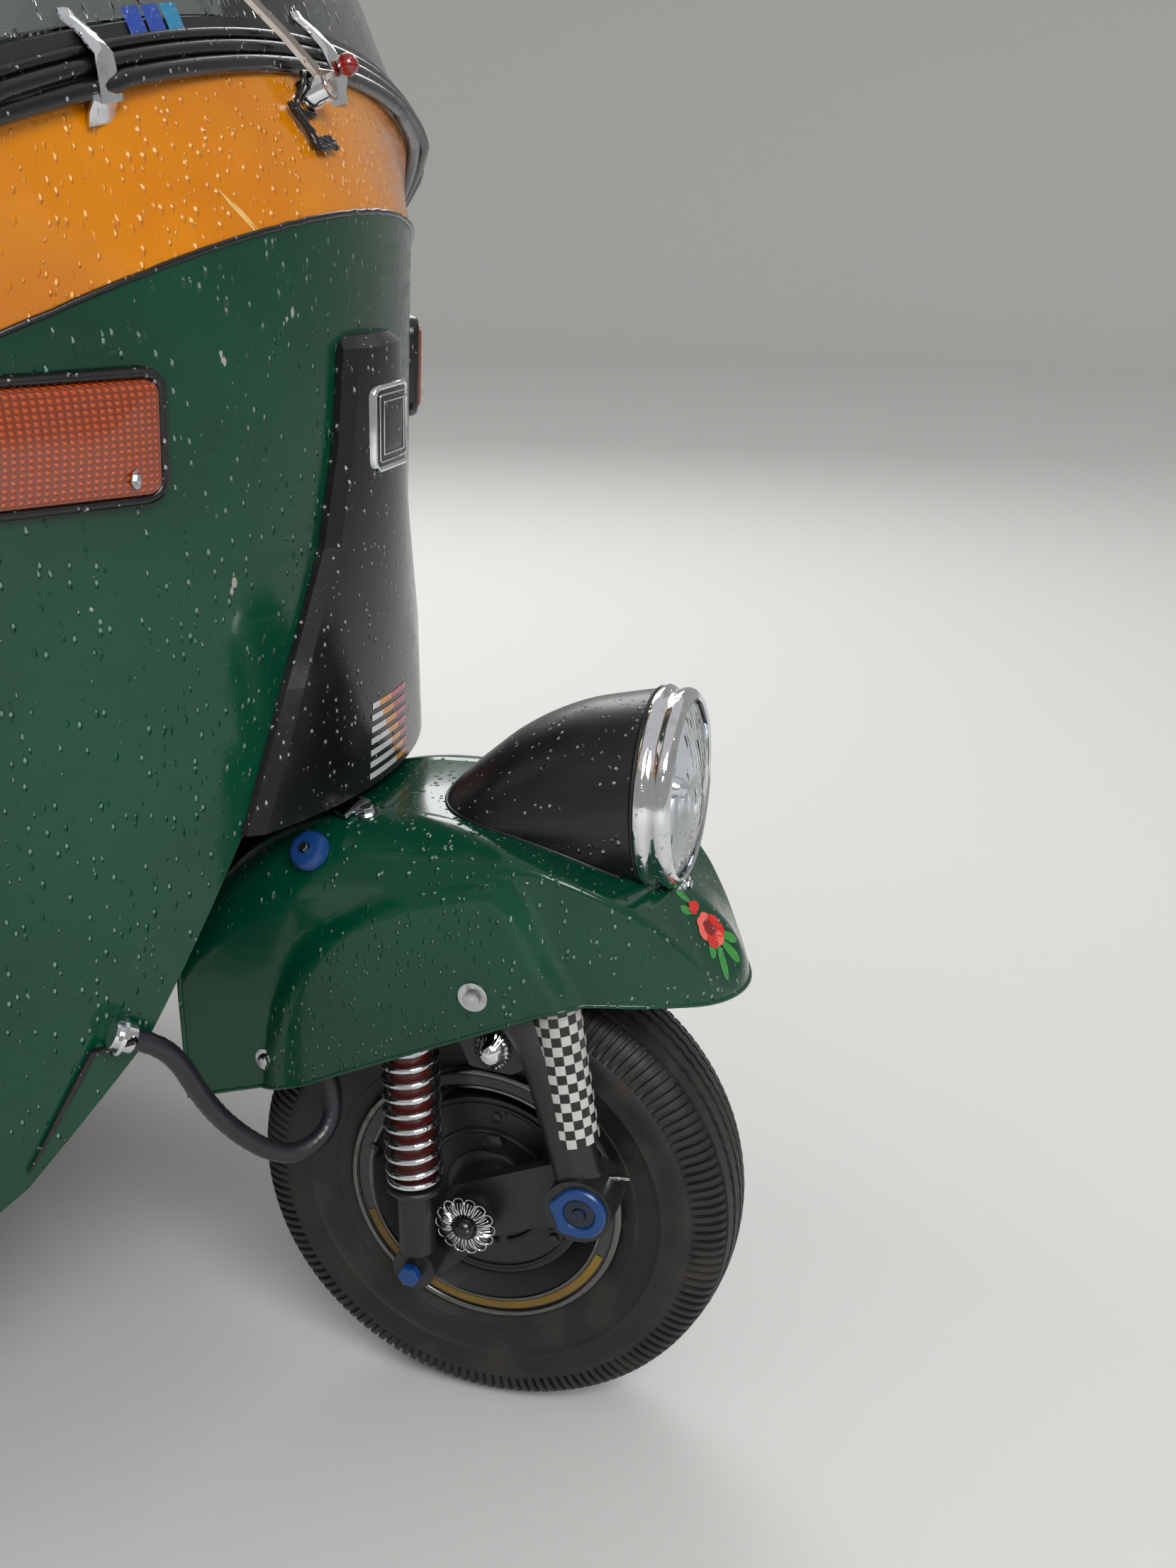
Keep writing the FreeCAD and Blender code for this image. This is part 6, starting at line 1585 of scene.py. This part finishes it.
def screen_trim():
    """The windscreen's double-lipped rubber seal, its clips, and the bead under the band."""
    band, screen, green = skin_of("front_band"), skin_of("windscreen_frame"), skin_of("front_panel")
    face = skin_of("windscreen_frame", "windscreen_glass")
    lips = {5.0: (0.0062, []), 15.5: (0.0052, []), 24.0: (0.0036, [])}
    bead = []
    for step in range(101):
        x = -500 + 10 * step
        bead.append(laid(skin_of_nose, x, edge_between(green, band, x, 740, 1000), 0.6, None))
        if abs(x) <= SEAL_HALF:
            z = edge_between(band, screen, x, 900, 1100)
            for rise, (_, line) in lips.items():
                line.append(laid(face, x, z + rise, 1.5 if rise < 10 else 0.5, None))
    bm = bmesh.new()
    for radius, line in lips.values():
        tube(bm, line, radius, 12)
    piece("windscreen_seal", bm, WET_RUBBER, "root", 60)
    bm = bmesh.new()
    tube(bm, bead, 0.0021, 8)
    piece("band_bead", bm, WET_RUBBER, "root", 60)
    bm = bmesh.new()
    beads = bmesh.new()
    for x in (-225, 42):
        z = edge_between(band, screen, x, 900, 1100)
        rows = []
        for rise, lift, wide in CLIP:
            centre = laid(face if rise > 3 else band, x, z + rise, lift, None)
            row = []
            for share in (-1, -0.8, 0.8, 1):
                bend = Vector((0, 0.9 * (abs(share) > 0.9), 0)) / 1000
                row.append(centre + Vector((wide * share, 0, wide * share * 0.12)) / 1000 + bend)
            rows.append(row)
        strip(bm, rows)
        if x > 0:
            spot = laid(face, x + 2, z + 4, 16, None)
            lathe(beads, [(-0.004, 0), (-0.004, 0.006), (0, 0.0082), (0.005, 0.0076), (0.0082, 0.0046),
                          (0.009, 0)], spot, (0, -0.9, 0.4), 24)
    bmesh.ops.recalc_face_normals(bm, faces=bm.faces)
    bmesh.ops.solidify(bm, geom=bm.faces[:], thickness=0.0016)
    piece("windscreen_clips", bm, CHROME, "root", 50)
    piece("clip_beads", beads, RED_BEAD, "root", 40)
    for index, (x, look) in enumerate(((-187, BAR_BLUE), (-168, BAR_BLUE), (-149, BAR_CYAN))):
        bm = bmesh.new()
        rows = [[], []]
        for k in range(7):
            across_x = x + k * 16 / 6
            foot = edge_between(band, screen, across_x, 900, 1100)
            low, high = (laid(face, across_x, foot + rise, 1.2, None) for rise in (25, 30))
            rows[0].append(low)
            rows[1].append(low + (high - low) * 3.4)
        strip(bm, rows)
        piece("screen_bar_%d" % index, bm, look, "root", 60)


RED_BEAD = lens("red_bead", srgb(196, 22, 16), 0.003, 0.0002)
BAR_BLUE = printed("bar_blue", srgb(16, 60, 150))
BAR_CYAN = printed("bar_cyan", srgb(20, 120, 160))
ARM_PAINT = chrome("wiper_arm", srgb(196, 186, 178), rough=0.16, worn=0.3, wet=True)


def wiper():
    """The chrome arm on its pivot, the sprung blade, and the braided cord tied at its foot."""
    face = skin_of("windscreen_frame", "windscreen_glass")
    pivot = laid(skin_of_band, -16, 1052, 0, None)
    out = Vector((0, -0.93, 0.37))
    turned("wiper_pivot", CHROME,
           [(-0.004, 0), (-0.004, 0.011), (0.010, 0.011), (0.012, 0.0098), (0.020, 0.0098), (0.0225, 0.0082),
            (0.023, 0.0)], pivot, out, 36, body="root")
    tips = []
    for share in (0.0, 0.18, 0.4, 0.65, 0.85, 1.0):
        x, z = -16 - 128 * share, 1066 + 146 * share
        tips.append(laid(face, x, z, 17 - 6 * share if share > 0.1 else 22))
    arm = bmesh.new()
    rows = []
    along = (tips[-1] - tips[0]).normalized()
    side = along.cross(out).normalized()
    for index, point in enumerate(tips):
        wide = 0.0062 - 0.0007 * index
        rows.append([point + side * wide * a + out * b for a, b in
                     ((-1, -0.0018), (-0.75, 0.0014), (0.75, 0.0014), (1, -0.0018), (0, -0.0028))])
    strip(arm, rows, closed=True, capped=True)
    tube(arm, [pivot + out * 0.019, pivot + out * 0.0225 + Vector((-0.002, 0, 0.006)), tips[0]], 0.0046, 10)
    bolt(arm, pivot + out * 0.021, out, 0.0062, 0.004)
    piece("wiper_arm", arm, ARM_PAINT, "root", 45, ["wiper"])
    blade = bmesh.new()
    ends = [laid(face, -231 + 172 * k / 12, 1176 + 84 * k / 12, 3.2) for k in range(13)]
    tube(blade, ends, 0.0026, 8)
    tube(blade, [p + out * 0.0065 for p in ends[1:-1]], 0.0018, 8)
    for index in (1, 4, 8, 11):
        slab(blade, ends[index] + out * 0.004, out, (0.006, 0.010, 0.009), 0.0008)
    bow = [ends[2] + out * 0.007, ends[4] + out * 0.012, ends[6] + out * 0.0135, ends[8] + out * 0.012,
           ends[10] + out * 0.007]
    tube(blade, bow, 0.0024, 8)
    piece("wiper_blade", blade, WET_RUBBER, "root", 40)
    knot = bmesh.new()
    base = laid(skin_of_band, -50, 1046, 3)
    rng = random.Random(5)
    for strand in range(3):
        phase = 2 * math.pi * strand / 3
        points = []
        for step in range(90):
            s = step / 89
            turn = phase + 18 * s
            core = base + Vector((0.034 * s + 0.004 * math.sin(9 * s), -0.004 - 0.006 * math.sin(3 * s),
                                  -0.034 * s - 0.010 * math.sin(4.5 * s)))
            found, _ = hit(skin_of_band, core + Vector((0, -0.2, 0)), (0, 1, 0))
            if found is not None and core.y > found.y - 0.0055:
                core.y = found.y - 0.0055
            points.append(core + Vector((0.0026 * math.cos(turn), 0.002 * math.sin(turn),
                                         0.0026 * math.sin(turn))))
        tube(knot, points, 0.0021 + 0.0003 * rng.random(), 8)
    loop = []
    for turn in turns(40):
        loop.append(pivot + out * (0.006 + 0.003 * math.sin(3 * turn))
                    + Vector((0.0145 * math.cos(turn) - 0.004, 0, 0.0145 * math.sin(turn))))
    tube(knot, loop, 0.0022, 8, closed=True)
    piece("cord_knot", knot, WET_RUBBER, "root", 60)


skin_of_nose = skin_of("front_panel", "front_band")
skin_of_band = skin_of("front_band", "windscreen_frame")


def paint_chips():
    """Chips in the green paint, a scratch and dots on the band, and the tie at the hose's clamp."""
    bm = bmesh.new()
    rng = random.Random(11)
    for x, z, reach in ((-158, 736, 2.6), (-159, 889, 3.0), (-103, 911, 2.4), (-97, 915, 3.2),
                        (-156, 741, 3.6), (-161, 893, 2.2), (-250, 742, 1.6), (120, 700, 2.4),
                        (210, 640, 3.0), (-330, 520, 2.4)):
        ring = []
        for turn in turns(9):
            r = reach * rng.uniform(0.55, 1.1)
            ring.append(laid(skin_of_nose, x + r * math.cos(turn) * 0.7, z + r * math.sin(turn) * 1.3, 0.25,
                             None))
        bm.faces.new([bm.verts.new(p) for p in ring])
    piece("paint_chips", bm, CHIP, "root", 60)
    scratch = bmesh.new()
    for x, z, length, wide in ((-150, 993, 38, 1.3), (-141, 985, 20, 0.9), (-118, 968, 9, 1.6)):
        rows = []
        for step in range(9):
            share = step / 8
            half = wide * math.sin(math.pi * (0.08 + 0.84 * share)) * rng.uniform(0.5, 1.0)
            spot = (x + length * 0.62 * share, z - length * 0.78 * share)
            rows.append([laid(skin_of_band, spot[0] + side * half, spot[1] + side * half, 0.2, None)
                         for side in (-1, 1)])
        strip(scratch, rows)
    piece("band_scratch", scratch, SCRATCH, "root", 60)
    dots = bmesh.new()
    for x, rise, reach in ((182, 20, 3.4), (181, 12, 2.2), (166, 52, 1.6)):
        low = edge_between(skin_of("front_panel"), skin_of("front_band"), x, 740, 1000)
        ring = [laid(skin_of_band, x + reach * math.cos(t), low + rise + 1.4 * reach * math.sin(t), 0.25,
                     None)
                for t in turns(12)]
        dots.faces.new([dots.verts.new(p) for p in ring])
    piece("band_dots", dots, DOT, "root", 60)
    cable = bmesh.new()
    low, high = box_of(nodes["hose_clamp"])
    start = Vector(((low.x + high.x) / 2 - 0.004, low.y - 0.001, (low.z + high.z) / 2))
    points = [start]
    for share in (0.12, 0.3, 0.5, 0.7, 0.85, 1.0):
        x, z = start.x * 1000 - 44 * share, start.z * 1000 - 92 * share
        points.append(laid(skin_of("front_panel"), x, z, 2.2, None))
    tube(cable, points, [0.0028, 0.0028, 0.0026, 0.0024, 0.0020, 0.0015, 0.0009], 10)
    piece("clamp_tie", cable, WET_RUBBER, "root", 60)


def box_of(made):
    places = [made.matrix_world @ v.co for v in made.data.vertices]
    return tuple(Vector([pick(p[k] for p in places) for k in range(3)]) for pick in (min, max))


SCRATCH = paint("scratched_paint", srgb(232, 196, 128), srgb(214, 170, 96), dirt=0.0, wet=0)
DOT = paint("orange_dot_paint", srgb(236, 66, 12), srgb(220, 60, 12), dirt=0.0, wet=0)
CHIP = black("bare_primer", srgb(150, 152, 140), rough=0.6, grain=500, dirt=0.8)


def cabin():
    """Grips, levers, mirror glass, instrument, mat and the pressed ribs of the seat box and partition."""
    bar_y = FRONT + 0.135 + math.tan(RAKE) * 0.465
    rubber, levers = bmesh.new(), bmesh.new()
    for hand in (-1, 1):
        start = Vector((hand * 0.154, bar_y + 0.0333, 1.016))
        end = Vector((hand * 0.280, bar_y + 0.095, 1.006))
        run = end - start
        length = run.length
        profile = [(length * share, radius) for share, radius in
                   ((0.22, 0.0112), (0.22, 0.0185), (0.24, 0.0190), (0.26, 0.0160))]
        for k in range(22):
            at = length * (0.28 + 0.70 * k / 22)
            profile += [(at, 0.0150), (at + 0.0006, 0.0160), (at + 0.0022, 0.0160), (at + 0.0028, 0.0150)]
        profile += [(length * 0.985, 0.0158), (length * 1.0, 0.0150), (length * 1.004, 0.0)]
        lathe(rubber, profile, start, run, 36)
        root = start + run * 0.12
        lever = [root + Vector((hand * x, y, z)) for x, y, z in
                 ((0, -0.006, -0.004), (0.018, -0.018, -0.009), (0.052, -0.002, -0.012),
                  (0.082, 0.012, -0.012), (0.094, 0.017, -0.010))]
        tube(levers, lever, [0.007, 0.0055, 0.005, 0.0045, 0.006], 12)
        slab(levers, root, run, (0.034, 0.036, 0.026), 0.005)
    piece("handlebar_grips", rubber, TRIM, "steering", 35)
    piece("handlebar_levers", levers, BRIGHT, "steering", 40)

    glass, rims = bmesh.new(), bmesh.new()
    for hand in (-1, 1):
        def ring(inset, lift):
            return [Vector((hand * 0.590 + a / 1000, -0.6851 + lift / 1000, 1.380 + b / 1000))
                    for a, b in rounded_outline(43 - inset, 68 - inset, 12 - inset * 0.4)]
        strip(rims, [ring(0, 0), ring(0, 1.6), ring(1, 2.4), ring(3, 2.4), ring(3.6, 1.2)], closed=True)
        strip(glass, [ring(3.4, 1.3), ring(12, 1.5), ring(24, 1.6), ring(36, 1.65), ring(42, 1.65)],
              closed=True, capped=True)
    piece("mirror_rims", rims, TRIM, "root", 40)
    piece("mirror_glass", glass, MIRROR, "root", 60)

    dial, face = bmesh.new(), bmesh.new()
    at = Vector((0, -0.9045, 0.921))
    lathe(dial, [(-0.002, 0.0), (-0.002, 0.027), (0.012, 0.027), (0.015, 0.0255), (0.0155, 0.0235),
                 (0.012, 0.0225)], at, (0, 1, 0.1), 48)
    for k, x in enumerate((-0.11, -0.075, 0.075, 0.11, 0.145)):
        lathe(dial, [(0, 0.010), (0.003, 0.010), (0.0045, 0.0085), (0.012, 0.0062), (0.0125, 0.0)],
              (x, -0.9045, 0.92), (0, 1, 0.05 * (k % 2)), 24)
    piece("dash_fittings", dial, BRIGHT, "root", 40)
    lathe(face, [(0.0115, 0.0), (0.0115, 0.0226), (0.0121, 0.0226), (0.0121, 0.0)], at, (0, 1, 0.1), 48)
    piece("dial_face", face, DIAL, "root", 40)

    ribs = bmesh.new()
    for hand in (-1, 1):
        for z in (0.40, 0.47):
            points = [Vector((hand * 0.2904, y, z + d)) for y, d in ((-0.47, 0), (-0.38, 0), (-0.305, -0.035),
                                                                   (-0.23, 0), (-0.14, 0))]
            tube(ribs, points, 0.0042, 10)
        lathe(ribs, [(0, 0.010), (0.002, 0.010), (0.004, 0.007), (0.0042, 0)], (hand * 0.2902, -0.45, 0.60),
              (hand, 0, 0), 24)
    for z in (0.42, 0.50, 0.58):
        tube(ribs, [Vector((-0.24, -0.5004, z)), Vector((-0.2, -0.5024, z)), Vector((0.2, -0.5024, z)),
                    Vector((0.24, -0.5004, z))], 0.0042, 10)
    piece("seat_box_ribs", ribs, GREEN_DRY, "root", 50)
    trim = bmesh.new()
    for hand in (-1, 1):
        slab(trim, (hand * 0.2915, -0.305, 0.655), (hand, 0, 0), (0.36, 0.05, 0.003), 0.001)
    slab(trim, (0, -0.5015, 0.655), (0, -1, 0), (0.54, 0.05, 0.003), 0.001)
    piece("seat_box_plate", trim, BRIGHT, "root", 30)
    press = bmesh.new()
    for face_y, out in ((-0.0502, -1), (-0.0398, 1)):
        for z in (0.39, 0.47, 0.55, 0.63, 0.71, 0.79):
            for hand in (-1, 1):
                a, b = (0.33, 0.51) if out < 0 else (0.06, 0.50)
                pts = [Vector((hand * a, face_y, z)), Vector((hand * (a + 0.02), face_y + out * 0.002, z)),
                       Vector((hand * (b - 0.02), face_y + out * 0.002, z)), Vector((hand * b, face_y, z))]
                tube(press, pts, 0.0045, 10)
    piece("partition_ribs", press, GREEN_DRY, "root", 50)

    floor = skin_of("floor_pan")
    mat = bmesh.new()
    rows = []
    for a in range(25):
        y = -0.50 + 0.42 * a / 24 - 0.30
        row = []
        for b in range(37):
            x = -0.36 + 0.72 * b / 36
            found, _ = hit(floor, (x, y, 0.62), (0, 0, -1))
            z = found.z if found is not None else 0.31
            row.append(Vector((x, y, min(z, 0.36) + 0.004)))
        rows.append(row)
    strip(mat, rows)
    piece("floor_mat", mat, MAT, "root", 30)


def mat_rubber():
    look = Look("mat_rubber", srgb(20, 20, 21), rough=0.6)
    ridges = []
    for turn in (0.6, -0.6):
        at = look.scaled(1, 1, 1, (0, 0, turn))
        wave = look.node("TexWave", {"wave_profile": "SIN"}, Vector=at, Scale=26.0)
        ridges.append(look.step(wave.outputs[1], 0.72, 0.95))
    grid = look.math("MAXIMUM", ridges[0], ridges[1])
    dust = look.step(look.noise(9, 5.0), 0.4, 0.7)
    look.set("Base Color", look.mix(dust, srgb(18, 18, 19), srgb(54, 48, 40)))
    look.raise_by(grid, 0.0022)
    return look.mat


MAT = mat_rubber()
DIAL = black("dial_face", srgb(214, 212, 200), rough=0.3, grain=60, dirt=0.2)


def rib(bm, tree, starts, direction, radius, shift=(0, 0, 0), beyond=-1.0):
    """A round rib laid where rays from the starts meet a skin more than beyond from the middle."""
    line = []
    for start in starts:
        found, _ = hit(tree, start, direction)
        if found is not None and abs(found.x) > beyond:
            line.append(found + Vector(shift))
    if len(line) > 4:
        tube(bm, line, radius, 10)


def body_trim():
    """Rear lamps' frames, louvres and handle of the engine door, mouldings, beading and bumper ends."""
    frames = bmesh.new()
    data = [v.co for v in nodes["tail_lamps"].data.vertices if v.co.x > 0]
    x_low, x_high = min(p.x for p in data), max(p.x for p in data)
    low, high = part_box("tail_lamps")
    rear = high[1]
    for hand in (-1, 1):
        middle = hand * (x_low + x_high) / 2
        half_wide, half_high = (x_high - x_low) * 500, (high[2] - low[2]) * 500

        def ring(inset, lift):
            return [Vector((middle + a / 1000, rear + lift / 1000, (low[2] + high[2]) / 2 + b / 1000))
                    for a, b in rounded_outline(half_wide - inset, half_high - inset, 16)]
        strip(frames, [ring(-2, -14), ring(-2, -2), ring(-1, 0.5), ring(1.5, 1.4), ring(4, 1.2), ring(5, -1)],
              closed=True)
        for z_at in (-0.022, 0.024):
            rows = [[Vector((middle + s * (half_wide - 4) / 1000, rear + y,
                             (low[2] + high[2]) / 2 + z_at + z))
                     for s in (-1, -0.5, 0, 0.5, 1)] for y, z in ((-0.001, -0.003), (0.0014, -0.002),
                                                                  (0.0014, 0.002), (-0.001, 0.003))]
            strip(frames, rows)
    piece("tail_lamp_frames", frames, TRIM, "root", 45)

    louvres = bmesh.new()
    door = skin_of("engine_door")
    for row in range(7):
        z = 0.43 + 0.028 * row
        for hand in (-1, 1):
            rows = []
            for rise, out in ((0.011, 0.0), (0.004, 0.0035), (-0.003, 0.0062), (-0.008, 0.0060),
                              (-0.0088, 0.0)):
                line = []
                for k in range(13):
                    x = hand * (0.06 + 0.20 * k / 12)
                    found, _ = hit(door, (x, 1.6, z + rise), (0, -1, 0))
                    edge = math.sin(math.pi * k / 12) ** 0.3 if 0 < k < 12 else 0.0
                    line.append(found + Vector((0, out * edge + 0.0002, 0)))
                rows.append(line)
            strip(louvres, rows)
    piece("engine_door_louvres", louvres, GREEN, "engine_door", 50)
    handle = bmesh.new()
    found, _ = hit(door, (0, 1.6, 0.385), (0, -1, 0))
    points = [found + Vector((x, y, 0)) for x, y in ((-0.045, 0), (-0.043, 0.014), (-0.036, 0.02),
                                                     (0.036, 0.02), (0.043, 0.014), (0.045, 0))]
    tube(handle, points, 0.0045, 12)
    for x in (-0.045, 0.045):
        lathe(handle, [(0, 0.011), (0.002, 0.011), (0.003, 0.007)], found + Vector((x, 0, 0)), (0, 1, 0), 24)
    piece("engine_door_handle", handle, BRIGHT, "engine_door", 45)

    mould, bead = bmesh.new(), bmesh.new()
    body = skin_of("rear_body")
    for hand in (-1, 1):
        for z in (0.70, 0.80):
            rib(mould, body, [(hand * 1.2, 0.37 + 0.78 * k / 29, z) for k in range(30)], (-hand, 0, 0),
                0.0038, beyond=0.5)
    rib(mould, body, [(-0.50 + 1.0 * k / 24, 1.8, 0.84) for k in range(25)], (0, -1, 0), 0.0038)
    piece("body_mouldings", mould, GREEN, "root", 60)
    for hand in (-1, 1):
        rib(bead, skin_of_nose, [(hand * 0.9, FRONT + 0.447, 0.262 + 0.80 * k / 39) for k in range(40)],
            (-hand, 0, 0), 0.0052, (0, 0.003, 0), 0.3)
        rib(bead, body, [(hand * 1.2, 0.334, 0.31 + 0.59 * k / 29) for k in range(30)], (-hand, 0, 0), 0.0052,
            (0, -0.003, 0), 0.4)
    piece("door_edge_beading", bead, TRIM, "root", 60)
    caps = bmesh.new()
    low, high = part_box("rear_bumper")
    for hand in (-1, 1):
        lathe(caps, [(-0.02, 0.021), (0.0, 0.0212), (0.006, 0.018), (0.009, 0.010), (0.0095, 0.0)],
              (hand * 0.40, high[1] - 0.020, (low[2] + high[2]) / 2), (hand, 0, 0), 28)
    piece("bumper_bands", caps, TRIM, "root", 40)


hose()
for wheel_name, wheel_body, wheel_centre, wheel_node, wheel_side, wheel_lugs in WHEELS:
    tyre(wheel_name + "_tyre_detail", wheel_body, wheel_centre, wheel_node, wheel_lugs)
    wheel_trim(wheel_name, wheel_body, wheel_centre, wheel_side)
spring()
suspension_trim()
checker_tape()
headlamp()
pressing = mudguard()
lamp_pod()
flower(pressing)
mudguard_trim()
indicators()
cover_trim()
screen_trim()
wiper()
paint_chips()
cabin()
body_trim()
seats()
hood()
